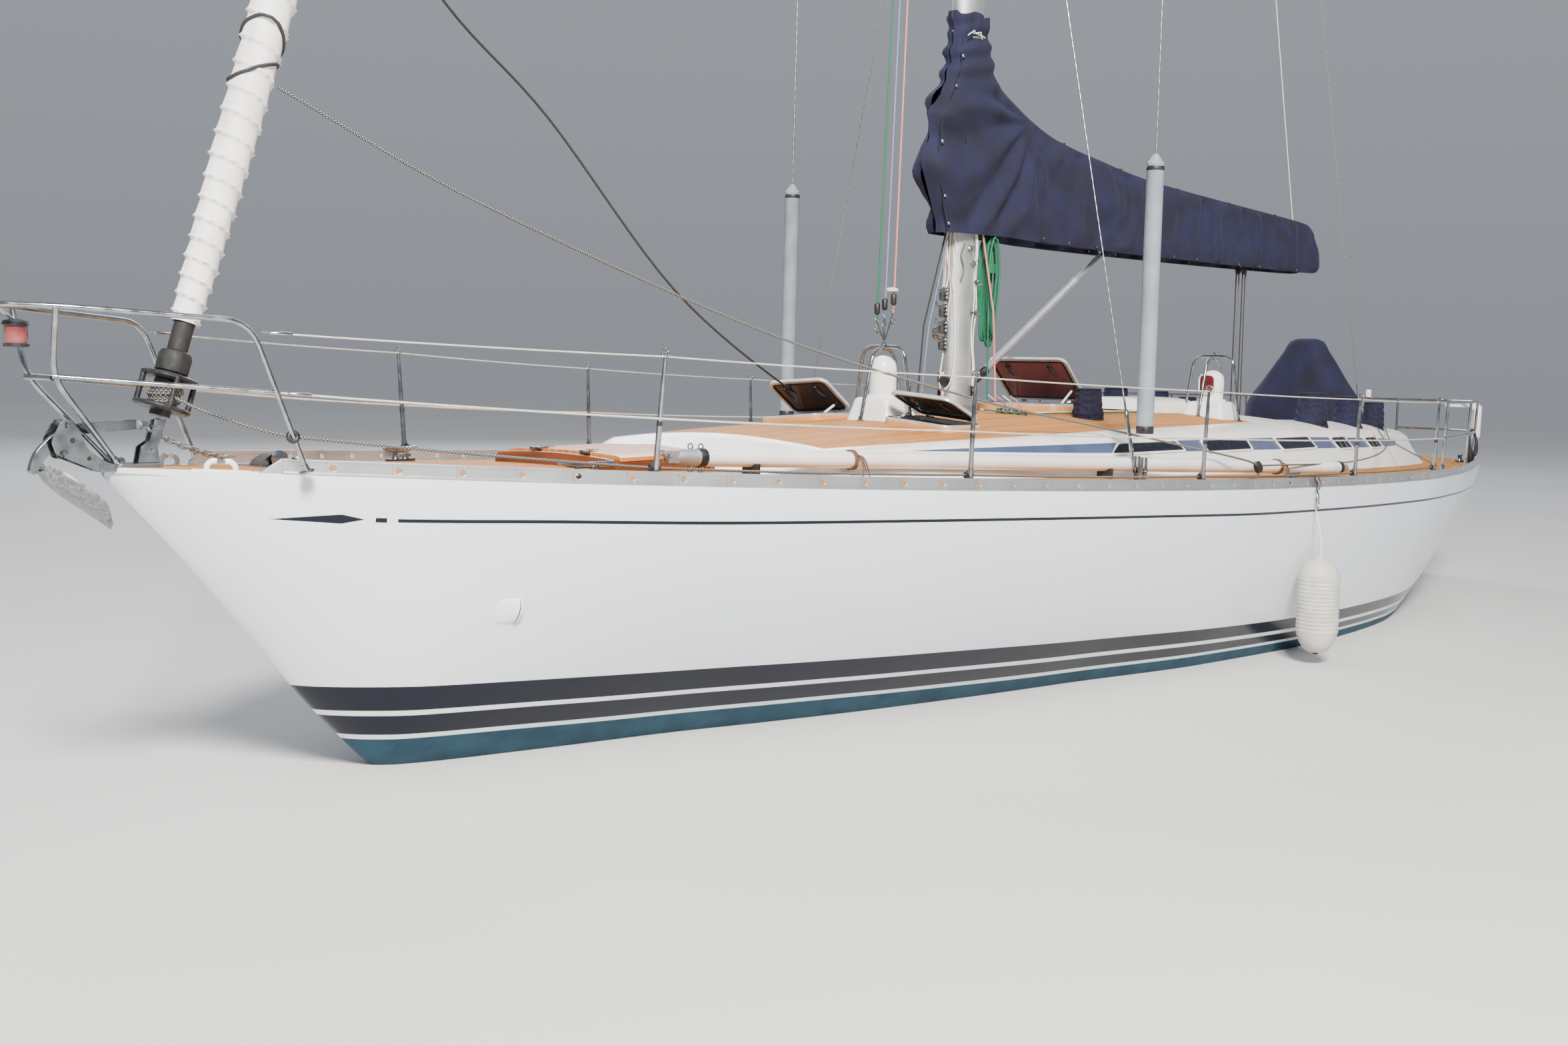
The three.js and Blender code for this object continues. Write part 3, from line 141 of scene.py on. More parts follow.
# Two-part polyurethane paint sprayed over the hull: a mirror-like white with the faintest orange peel,
# above rolled antifouling that is matt and uneven. The boot stripes and the cove line are masked paint.
def hull_paint():
    material, tree, surface = start_finish(
        "hull_paint", "#e9ebec", 0.2, Coat_Weight=0.06, Coat_Roughness=0.06, Specular_IOR_Level=0.25
    )
    place = object_place(tree)
    x, _, z = put(tree, "SeparateXYZ", (place,), out=None)
    upper = put(tree, "Attribute", out="Vector", attribute_name="boot_upper")
    lower = put(tree, "Attribute", out="Vector", attribute_name="boot_lower")
    navy_top, navy_foot, second_top = put(tree, "SeparateXYZ", (upper,), out=None)
    second_foot, teal_top, cove = put(tree, "SeparateXYZ", (lower,), out=None)
    chalk = put(
        tree, "TexNoise",
        {"Vector": object_place(tree, (0.25, 0.25, 1)), "Scale": 1000 / 900, "Detail": 3.0}
    )
    white = put(
        tree, "Mix",
        {0: put(tree, "MapRange", (chalk, 0.3, 0.7)), 6: linear("#dbe1e9"), 7: linear("#e6ebf1")}, out=2,
        data_type="RGBA"
    )
    navy = linear("#0d1220")

    # Band between two heights: one where z lies in it
    def band(low, high):
        return put(
            tree, "Math", (
                put(tree, "Math", (z, low), operation="GREATER_THAN"),
                put(tree, "Math", (z, high), operation="LESS_THAN"),
            ),
            operation="MULTIPLY"
        )

    stripes = put(tree, "Math", (band(navy_foot, navy_top), band(second_foot, second_top)), operation="ADD")
    dart_fore = put(
        tree, "Math", (put(tree, "Math", (DART_TIP, x), operation="SUBTRACT"), DART_FORE_SLOPE),
        operation="MULTIPLY"
    )
    dart_aft = put(
        tree, "Math", (put(tree, "Math", (x, DART_END), operation="SUBTRACT"), DART_AFT_SLOPE),
        operation="MULTIPLY"
    )
    dart = put(tree, "Math", (dart_fore, dart_aft), operation="MINIMUM")
    near_dot = put(
        tree, "Math", (
            put(tree, "Math", (put(tree, "Math", (x, DOT_X), operation="SUBTRACT"),), operation="ABSOLUTE"),
            DOT_HALF_LENGTH,
        ),
        operation="LESS_THAN"
    )
    dot = put(tree, "Math", (near_dot, DOT_HALF_HEIGHT), operation="MULTIPLY")
    along = put(
        tree, "Math", (
            put(tree, "Math", (x, LINE_FORE), operation="LESS_THAN"),
            put(tree, "Math", (x, LINE_AFT), operation="GREATER_THAN"),
        ),
        operation="MULTIPLY"
    )
    line = put(tree, "Math", (along, LINE_HALF_HEIGHT), operation="MULTIPLY")
    half = put(
        tree, "Math", (put(tree, "Math", (dart, dot), operation="MAXIMUM"), line), operation="MAXIMUM"
    )
    off_line = put(
        tree, "Math", (put(tree, "Math", (z, cove), operation="SUBTRACT"),), operation="ABSOLUTE"
    )
    stripes = put(
        tree, "Math", (stripes, put(tree, "Math", (off_line, half), operation="LESS_THAN")), operation="ADD"
    )
    stripes = put(tree, "Clamp", (stripes,))
    painted = put(tree, "Mix", {0: stripes, 6: white, 7: navy}, out=2, data_type="RGBA")
    worn = put(tree, "TexNoise", {"Vector": object_place(tree), "Scale": 1000 / 160, "Detail": 5})
    teal = put(
        tree, "Mix",
        {0: put(tree, "MapRange", (worn, 0.35, 0.65)), 6: linear("#19394a"), 7: linear("#24495b")}, out=2,
        data_type="RGBA"
    )
    below = put(tree, "Math", (z, teal_top), operation="LESS_THAN")
    tree.links.new(
        put(tree, "Mix", {0: below, 6: painted, 7: teal}, out=2, data_type="RGBA"),
        surface.inputs["Base Color"]
    )
    tree.links.new(put(tree, "MapRange", (below, 0, 1, 0.16, 0.72)), surface.inputs["Roughness"])
    peel = put(tree, "TexNoise", {"Vector": object_place(tree), "Scale": 1000 / 45, "Detail": 1})
    tree.links.new(
        put(tree, "Bump", {"Height": peel, "Distance": 0.25 / 1000, "Strength": 0.35}),
        surface.inputs["Normal"]
    )
    return material


# Gelcoat out of a polished mould: white, glossy, with slow patches where it has weathered.
def white_gelcoat():
    material, tree, surface = start_finish(
        "white_gelcoat", "#eeeeeb", 0.25, Coat_Weight=0.2, Coat_Roughness=0.12
    )
    uneven(tree, surface, object_place(tree), 420, "#e7e8e6", "#f2f2ef", 0.22, 0.34)
    tree.links.new(
        put(
            tree, "Bump", {
                "Height": put(
                    tree, "TexNoise", {"Vector": object_place(tree), "Scale": 1000 / 12, "Detail": 2}
                ),
                "Distance": 0.15 / 1000, "Strength": 0.3,
            }
        ),
        surface.inputs["Normal"]
    )
    return material


# The coachroof's side is the same gelcoat with a painted blue band; the deck's mesh holds its two edges.
def banded_gelcoat():
    material, tree, surface = start_finish(
        "banded_gelcoat", "#eeeeeb", 0.25, Coat_Weight=0.2, Coat_Roughness=0.12
    )
    place = object_place(tree)
    z = put(tree, "SeparateXYZ", (place,), out=2)
    edges = put(tree, "Attribute", out="Vector", attribute_name="roof_band")
    top, foot, _ = put(tree, "SeparateXYZ", (edges,), out=None)
    inside = put(
        tree, "Math", (
            put(tree, "Math", (z, top), operation="LESS_THAN"),
            put(tree, "Math", (z, foot), operation="GREATER_THAN"),
        ),
        operation="MULTIPLY"
    )
    patches = put(tree, "TexNoise", {"Vector": place, "Scale": 1000 / 420, "Detail": 3.0})
    white = put(
        tree, "Mix",
        {0: put(tree, "MapRange", (patches, 0.35, 0.65)), 6: linear("#e7e8e6"), 7: linear("#f2f2ef")},
        out=2, data_type="RGBA"
    )
    blue = put(
        tree, "Mix",
        {0: put(tree, "MapRange", (patches, 0.35, 0.65)), 6: linear("#3d4a6b"), 7: linear("#4b5878")},
        out=2, data_type="RGBA"
    )
    tree.links.new(
        put(tree, "Mix", {0: inside, 6: white, 7: blue}, out=2, data_type="RGBA"),
        surface.inputs["Base Color"]
    )
    tree.links.new(
        put(
            tree, "Bump", {
                "Height": put(tree, "TexNoise", {"Vector": place, "Scale": 1000 / 12, "Detail": 2}),
                "Distance": 0.15 / 1000, "Strength": 0.3,
            }
        ),
        surface.inputs["Normal"]
    )
    return material


# Teak planks 50 mm wide, laid with 5 mm of black rubber between them, bare and sun-bleached: each plank
# has its own tone, butts every 2.3 m and grain that runs along it.
def laid_teak():
    material, tree, surface = start_finish("laid_teak", "#c08a58", 0.6, IOR=1.45, Specular_IOR_Level=0.08)
    place = laid_place(tree)
    along, across, _ = put(tree, "SeparateXYZ", (place,), out=None)
    planks = put(tree, "Math", (across, 0.05), operation="DIVIDE")
    number = put(tree, "Math", (planks,), operation="FLOOR")
    inside = put(tree, "Math", (planks,), operation="FRACT")
    shifted = put(
        tree, "Math", (
            put(tree, "Math", (along, 2.3), operation="DIVIDE"),
            put(tree, "Math", (number, 0.37), operation="MULTIPLY"),
        ),
        operation="ADD"
    )
    piece = put(tree, "Math", (shifted,), operation="FLOOR")
    key = put(tree, "CombineXYZ", (number, piece, 0.0))
    tone = put(tree, "TexWhiteNoise", {"Vector": key}, noise_dimensions="2D")
    grain = put(
        tree, "TexNoise", {"Vector": laid_place(tree, (1.5, 110, 1)), "Scale": 1000 / 900, "Detail": 5}
    )
    streaks = put(
        tree, "TexNoise", {"Vector": laid_place(tree, (0.8, 9, 1)), "Scale": 1000 / 500, "Detail": 3}
    )
    mixed = put(
        tree, "Math", (
            put(tree, "Math", (tone, 0.42), operation="MULTIPLY"),
            put(tree, "Math", (grain, 0.6), operation="MULTIPLY"),
        ),
        operation="ADD"
    )
    wood = put(tree, "Mix", {0: mixed, 6: linear("#a0642c"), 7: linear("#d39455")}, out=2, data_type="RGBA")
    wood = put(
        tree, "Mix",
        {0: put(tree, "MapRange", (streaks, 0.3, 0.75, 0.0, 0.25)), 6: wood, 7: linear("#cc9560")}, out=2,
        data_type="RGBA"
    )
    seam = put(tree, "Math", (inside, 0.1), operation="LESS_THAN")
    butt = put(
        tree, "Math", (put(tree, "Math", (shifted,), operation="FRACT"), 0.0022), operation="LESS_THAN"
    )
    caulk = put(tree, "Math", (seam, butt), operation="MAXIMUM")
    tree.links.new(
        put(tree, "Mix", {0: caulk, 6: wood, 7: linear("#1c1a19")}, out=2, data_type="RGBA"),
        surface.inputs["Base Color"]
    )
    tree.links.new(put(tree, "MapRange", (grain, 0.3, 0.7, 0.52, 0.72)), surface.inputs["Roughness"])
    height = put(
        tree, "Math", (put(tree, "Math", (grain, 0.25), operation="MULTIPLY"), caulk), operation="SUBTRACT"
    )
    tree.links.new(
        put(tree, "Bump", {"Height": height, "Distance": 0.9 / 1000, "Strength": 0.6}),
        surface.inputs["Normal"]
    )
    return material


# Teak under many coats of varnish: red-brown figure deep under a wet-looking clear skin.
def varnished_teak():
    material, tree, surface = start_finish(
        "varnished_teak", "#5a2c16", 0.35, Coat_Weight=0.3, Coat_Roughness=0.1, Specular_IOR_Level=0.25
    )
    grain = put(
        tree, "TexNoise", {"Vector": laid_place(tree, (45, 2.2, 1)), "Scale": 1000 / 900, "Detail": 6}
    )
    ribbon = put(
        tree, "TexNoise", {"Vector": laid_place(tree, (7, 1, 1)), "Scale": 1000 / 600, "Detail": 3}
    )
    share = put(
        tree, "Math", (
            put(tree, "Math", (grain, 0.7), operation="MULTIPLY"),
            put(tree, "Math", (ribbon, 0.35), operation="MULTIPLY"),
        ),
        operation="ADD"
    )
    wood = put(
        tree, "Mix",
        {0: put(tree, "MapRange", (share, 0.3, 0.75)), 6: linear("#45200f"), 7: linear("#7d4522")}, out=2,
        data_type="RGBA"
    )
    tree.links.new(wood, surface.inputs["Base Color"])
    tree.links.new(
        put(tree, "Bump", {"Height": grain, "Distance": 0.2 / 1000, "Strength": 0.25}),
        surface.inputs["Normal"]
    )
    return material


# Extruded aluminium, etched and clear anodised: pale satin metal with faint lines along the extrusion.
def anodised_alloy(name="anodised_alloy", pale="#dcdedf", dull="#c3c6c8", rough=0.38):
    material, tree, surface = start_finish(name, pale, rough, Metallic=1.0)
    lines = put(
        tree, "TexNoise", {"Vector": laid_place(tree, (900, 3, 1)), "Scale": 1000 / 900, "Detail": 3}
    )
    patches = put(tree, "TexNoise", {"Vector": object_place(tree), "Scale": 1000 / 240, "Detail": 3.0})
    share = put(
        tree, "Math", (
            put(tree, "Math", (lines, 0.5), operation="MULTIPLY"),
            put(tree, "Math", (patches, 0.5), operation="MULTIPLY"),
        ),
        operation="ADD"
    )
    colour = put(
        tree, "Mix", {0: put(tree, "MapRange", (share, 0.35, 0.65)), 6: linear(dull), 7: linear(pale)},
        out=2, data_type="RGBA"
    )
    tree.links.new(colour, surface.inputs["Base Color"])
    tree.links.new(
        put(tree, "MapRange", (share, 0.3, 0.7, rough - 0.08, rough + 0.08)), surface.inputs["Roughness"]
    )
    tree.links.new(
        put(tree, "Bump", {"Height": lines, "Distance": 0.05 / 1000, "Strength": 0.3}),
        surface.inputs["Normal"]
    )
    return material


# Stainless steel tube and castings, electropolished: bright, with finger marks that dull it in patches.
def polished_stainless():
    material, tree, surface = start_finish("polished_stainless", "#d9dadb", 0.14, Metallic=1.0)
    uneven(tree, surface, object_place(tree), 60, "#8f9396", "#aaaeb1", 0.1, 0.24)
    return material


# Wire rope of stainless strands, laid up right-handed: a fine slanted ripple on a grey metal, with painted
# shading that makes each strand pale along one line and dark along the next.
def wire_rope():
    material, tree, surface = start_finish("wire_rope", "#b9bcbe", 0.34, Metallic=1.0)
    around, along, _ = put(tree, "SeparateXYZ", (laid_place(tree),), out=None)
    turn = put(
        tree, "Math", (
            put(tree, "Math", (around, 6.0), operation="MULTIPLY"),
            put(tree, "Math", (along, 14.0), operation="MULTIPLY"),
        ),
        operation="ADD"
    )
    strand = put(
        tree, "Math",
        (put(tree, "Math", (put(tree, "Math", (turn,), operation="FRACT"), 0.5), operation="SUBTRACT"),),
        operation="ABSOLUTE"
    )
    # Painted shading: the colour goes from pale to dark as the strand ripple rises, standing in for light and
    # shade on the strands' relief.
    colour = put(
        tree, "Mix", {
            0: put(tree, "Math", (strand, 2.0), operation="MULTIPLY"), 6: linear("#d0d3d5"),
            7: linear("#83878b"),
        },
        out=2, data_type="RGBA"
    )
    tree.links.new(colour, surface.inputs["Base Color"])
    tree.links.new(
        put(tree, "Bump", {"Height": strand, "Distance": 0.8 / 1000, "Strength": 0.5}),
        surface.inputs["Normal"]
    )
    return material


# Anchor and chain dipped in molten zinc: mid grey, dull, with the crystals' light and dark flakes.
def galvanised_steel():
    material, tree, surface = start_finish("galvanised_steel", "#8f9295", 0.55, Metallic=0.75)
    cells = put(tree, "TexVoronoi", {"Vector": object_place(tree), "Scale": 1000 / 14}, out="Color")
    grey = put(tree, "RGBToBW", (cells,))
    tree.links.new(
        put(tree, "Mix", {0: grey, 6: linear("#6f7377"), 7: linear("#a9acae")}, out=2, data_type="RGBA"),
        surface.inputs["Base Color"]
    )
    tree.links.new(put(tree, "MapRange", (grey, 0, 1, 0.42, 0.66)), surface.inputs["Roughness"])
    tree.links.new(
        put(
            tree, "Bump", {
                "Height": put(
                    tree, "TexNoise", {"Vector": object_place(tree), "Scale": 1000 / 9, "Detail": 3}
                ),
                "Distance": 0.5 / 1000, "Strength": 0.5,
            }
        ),
        surface.inputs["Normal"]
    )
    return material


# Manganese bronze as cast and filed: brown-gold, with darker skin in the hollows.
def cast_bronze():
    material, tree, surface = start_finish("cast_bronze", "#a37b45", 0.4, Metallic=1.0)
    uneven(tree, surface, object_place(tree), 70, "#80602f", "#b78c50", 0.32, 0.5)
    tree.links.new(
        put(
            tree, "Bump", {
                "Height": put(
                    tree, "TexNoise", {"Vector": object_place(tree), "Scale": 1000 / 6, "Detail": 3}
                ),
                "Distance": 0.3 / 1000, "Strength": 0.4,
            }
        ),
        surface.inputs["Normal"]
    )
    return material


# Rolled antifouling on the keel and rudder: matt blue-green with roller stipple and rubbed patches.
def antifouling():
    material, tree, surface = start_finish("antifouling", "#31505f", 0.75)
    uneven(tree, surface, object_place(tree), 170, "#1b3b4b", "#28505f", 0.66, 0.82)
    tree.links.new(
        put(
            tree, "Bump", {
                "Height": put(
                    tree, "TexNoise", {"Vector": object_place(tree), "Scale": 1000 / 5, "Detail": 2}
                ),
                "Distance": 0.5 / 1000, "Strength": 0.5,
            }
        ),
        surface.inputs["Normal"]
    )
    return material


# Grey engine enamel over cast iron, brushed on: slightly lumpy, half gloss.
def engine_enamel():
    material, tree, surface = start_finish("engine_enamel", "#8d9296", 0.4)
    uneven(tree, surface, object_place(tree), 90, "#7f8488", "#999ea2", 0.34, 0.5)
    tree.links.new(
        put(
            tree, "Bump", {
                "Height": put(
                    tree, "TexNoise", {"Vector": object_place(tree), "Scale": 1000 / 8, "Detail": 3}
                ),
                "Distance": 0.6 / 1000, "Strength": 0.5,
            }
        ),
        surface.inputs["Normal"]
    )
    return material


# Solution-dyed acrylic canvas, plain woven from 0.5 mm yarns: matt navy that fades where the sun falls.
# The weave is drawn at 3 mm so that it shows, and its crossings are painted a little lighter and darker as
# shading of their relief.
def navy_canvas(name="navy_canvas", deep="#0a0a20", faded="#131437"):
    material, tree, surface = start_finish(name, deep, 0.86, Sheen_Weight=0.06, Sheen_Roughness=0.5)
    surface.inputs["Sheen Tint"].default_value = linear("#6d739a")
    around, along, _ = put(tree, "SeparateXYZ", (laid_place(tree),), out=None)
    warp = put(
        tree, "Math", (put(tree, "Math", (around, 2 * math.pi / 0.003), operation="MULTIPLY"),),
        operation="SINE"
    )
    weft = put(
        tree, "Math", (put(tree, "Math", (along, 2 * math.pi / 0.003), operation="MULTIPLY"),),
        operation="SINE"
    )
    weave = put(tree, "Math", (warp, weft), operation="MULTIPLY")
    patches = put(tree, "TexNoise", {"Vector": object_place(tree), "Scale": 1000 / 260, "Detail": 4})
    # Painted shading: the weave's crossings lighten and darken the navy as light and shade would on their
    # relief.
    tone = put(
        tree, "Math", (patches, put(tree, "Math", (weave, 0.08), operation="MULTIPLY")), operation="ADD"
    )
    colour = put(
        tree, "Mix", {0: put(tree, "MapRange", (tone, 0.32, 0.72)), 6: linear(deep), 7: linear(faded)},
        out=2, data_type="RGBA"
    )
    tree.links.new(colour, surface.inputs["Base Color"])
    creases = put(tree, "TexNoise", {"Vector": object_place(tree), "Scale": 1000 / 34, "Detail": 3})
    height = put(
        tree, "Math", (
            put(tree, "Math", (weave, 0.2), operation="MULTIPLY"),
            put(tree, "Math", (creases, 2.0), operation="MULTIPLY"),
        ),
        operation="ADD"
    )
    tree.links.new(
        put(tree, "Bump", {"Height": height, "Distance": 1.3 / 1000, "Strength": 0.55}),
        surface.inputs["Normal"]
    )
    return material


# The sleeve round the furled sail is woven polyester: white and smooth, with painted shade that greys it in the
# hollows of its creases.
def white_sailcloth():
    material, tree, surface = start_finish("white_sailcloth", "#f2f1ee", 0.6, Sheen_Weight=0.1)
    _, along, _ = put(tree, "SeparateXYZ", (laid_place(tree),), out=None)
    weave = put(
        tree, "Math", (put(tree, "Math", (along, 2 * math.pi / 0.004), operation="MULTIPLY"),),
        operation="SINE"
    )
    patches = put(
        tree, "TexNoise", {"Vector": object_place(tree, (1, 1, 0.4)), "Scale": 1000 / 110, "Detail": 4}
    )
    # Painted shade: where the crease noise is low, which is also where the bump is low, the cloth is coloured
    # grey.
    colour = put(
        tree, "Mix",
        {0: put(tree, "MapRange", (patches, 0.3, 0.7)), 6: linear("#dcdbd6"), 7: linear("#f7f6f3")}, out=2,
        data_type="RGBA"
    )
    tree.links.new(colour, surface.inputs["Base Color"])
    height = put(
        tree, "Math", (
            put(tree, "Math", (weave, 0.1), operation="MULTIPLY"),
            put(tree, "Math", (patches, 3.0), operation="MULTIPLY"),
        ),
        operation="ADD"
    )
    tree.links.new(
        put(tree, "Bump", {"Height": height, "Distance": 2.0 / 1000, "Strength": 0.6}),
        surface.inputs["Normal"]
    )
    return material


# Braided polyester rope: two sets of strands cross, so the skin shows small diamonds, some dyed.
def braided_rope(name, base, fleck, per_metre=60.0):
    material, tree, surface = start_finish(name, base, 0.75)
    around, along, _ = put(tree, "SeparateXYZ", (laid_place(tree),), out=None)
    around = put(tree, "Math", (around, 3.0), operation="MULTIPLY")
    along = put(tree, "Math", (along, per_metre), operation="MULTIPLY")
    right = put(tree, "Math", (put(tree, "Math", (around, along), operation="ADD"),), operation="FRACT")
    left = put(tree, "Math", (put(tree, "Math", (around, along), operation="SUBTRACT"),), operation="FRACT")
    over = put(
        tree, "Math", (
            put(tree, "Math", (right, 0.5), operation="GREATER_THAN"),
            put(tree, "Math", (left, 0.5), operation="GREATER_THAN"),
        ),
        operation="MULTIPLY"
    )
    tree.links.new(
        put(tree, "Mix", {0: over, 6: linear(base), 7: linear(fleck)}, out=2, data_type="RGBA"),
        surface.inputs["Base Color"]
    )
    ripple = put(
        tree, "Math", (
            put(tree, "Math", (right, 0.5), operation="PINGPONG"),
            put(tree, "Math", (left, 0.5), operation="PINGPONG"),
        ),
        operation="MULTIPLY"
    )
    tree.links.new(
        put(tree, "Bump", {"Height": ripple, "Distance": 3.0 / 1000, "Strength": 0.8}),
        surface.inputs["Normal"]
    )
    return material


# Cast acrylic sheet, tinted in the melt: dark and even, with a polished skin and fine dust. It lets no
# light through, because the cabin behind it is empty.
def smoked_acrylic(name, base):
    material, tree, surface = start_finish(
        name, base, 0.2, Specular_IOR_Level=0.22)
    dust = put(tree, "TexNoise", {"Vector": object_place(tree), "Scale": 1000 / 28, "Detail": 5})
    tree.links.new(put(tree, "MapRange", (dust, 0.35, 0.75, 0.05, 0.2)), surface.inputs["Roughness"])
    colour = put(
        tree, "Mix",
        {0: put(tree, "MapRange", (dust, 0.5, 0.8, 0.0, 0.12)), 6: linear(base), 7: linear("#77746f")},
        out=2, data_type="RGBA"
    )
    tree.links.new(colour, surface.inputs["Base Color"])
    return material


# Black acetal, machined or moulded: satin black blocks, sheaves and drum, greyer where rope has rubbed.
def black_acetal():
    material, tree, surface = start_finish("black_acetal", "#1f1f21", 0.42)
    uneven(tree, surface, object_place(tree), 30, "#18181a", "#2d2c2e", 0.34, 0.55)
    return material


# Plain moulded plastics, rubber and paints, each in two near tones with its own gloss and grain.
def moulded(name, first, second, rough, size_mm=40, grain_mm=3, depth_mm=0.1, **sockets):
    material, tree, surface = start_finish(name, first, rough, **sockets)
    uneven(tree, surface, object_place(tree), size_mm, first, second, rough * 0.85, rough * 1.2)
    tree.links.new(
        put(
            tree, "Bump", {
                "Height": put(
                    tree, "TexNoise", {"Vector": object_place(tree), "Scale": 1000 / grain_mm, "Detail": 2}
                ),
                "Distance": depth_mm / 1000, "Strength": 0.4,
            }
        ),
        surface.inputs["Normal"]
    )
    return material


PAINT = hull_paint()
GELCOAT = white_gelcoat()
BANDED = banded_gelcoat()
TEAK = laid_teak()
VARNISH = varnished_teak()
ALLOY = anodised_alloy()
SPAR = anodised_alloy("anodised_spar", "#c9ccce", "#adb1b4", 0.62)
RIM_ALLOY = moulded("clear_lacquered_rim", "#d5d7d9", "#c2c5c7", 0.3, 90, 4, 0.05, Metallic=0.4)
STEEL = polished_stainless()
WIRE = wire_rope()
ZINC = galvanised_steel()
BRONZE = cast_bronze()
FOULING = antifouling()
ENAMEL = engine_enamel()
CANVAS = navy_canvas()
PIPING = navy_canvas("navy_piping", "#0e0f1c", "#1a1b30")
SLEEVE = white_sailcloth()
WHITE_ROPE = braided_rope("white_rope", "#e6e3da", "#c9c4b8")
LINE_ROPE = braided_rope("flecked_rope", "#2b2a29", "#b4b1a9")
GREEN_ROPE = braided_rope("green_rope", "#0b5a3a", "#2b8a68")
RED_ROPE = braided_rope("red_rope", "#b23a33", "#e6ddd6")
RED_FLECK = braided_rope("white_rope_red_fleck", "#dcd6cf", "#b26a68")
BLUE_ROPE = braided_rope("blue_rope", "#2b3c74", "#d6d9e0")
BROWN_ROPE = braided_rope("brown_cord", "#5d4234", "#8a6a55", 90.0)
BLACK_ROPE = braided_rope("black_cord", "#1d1d20", "#47484c", 90.0)
GREEN_LENS = moulded("green_lens", "#1f6b4a", "#2a7d58", 0.15, Coat_Weight=0.5)
TEAK_EDGE = moulded("bare_teak_edging", "#c98a50", "#d99c62", 0.6, 200, 5, 0.2)
WIRE_COVER = moulded("white_wire_cover", "#cbc6ba", "#b8b3a8", 0.4, 60, 4, 0.1)
SMOKED = smoked_acrylic("smoked_acrylic", "#4d4f51")
WINE = smoked_acrylic("wine_acrylic", "#92626a")
# Side window panes: near-black blue, the glass's tint together with painted shade of the dark cabin seen
# through it
GLASS = smoked_acrylic("window_glass", "#0c1220")
ACETAL = black_acetal()
# Black rubber for gaskets and seals, also used for flat black faces that are painted shade in openings, slots
# and holes
RUBBER_AND_SHADE = moulded("black_rubber_and_painted_shade", "#151515", "#222222", 0.7)
POLE_PAINT = moulded("white_pole_paint", "#f1f1f0", "#e6e7e8", 0.24, 300, 20, 0.1, Coat_Weight=0.3)
TUBE_PLASTIC = moulded("grey_tube_plastic", "#7f8a94", "#8d97a1", 0.45, 160, 6, 0.1)
# Fender skin of soft vinyl: cream, half matt, scuffed grey
VINYL = moulded("fender_vinyl", "#c9c6bb", "#b2afa5", 0.42, 120, 5, 0.3)
# Red paint inside the aft dorade's mouth, darkened as painted shade of the cowl's depth
SHADED_RED_PAINT = moulded("red_paint_with_painted_shade", "#4e1216", "#6d1b1d", 0.5)
RED_LENS = moulded("red_lens", "#7d3a3d", "#8c4a4a", 0.2, Coat_Weight=0.5)
# Near-black brown of the cabin walls: painted shade inside the cabin
CABIN_WALL_SHADE = moulded("cabin_walls_painted_shade", "#3a332d", "#4a4139", 0.7, 300, 8, 0.3)
WOOD_LINER = moulded("cabin_lining", "#8a6642", "#9c7650", 0.5, 300, 8, 0.3)


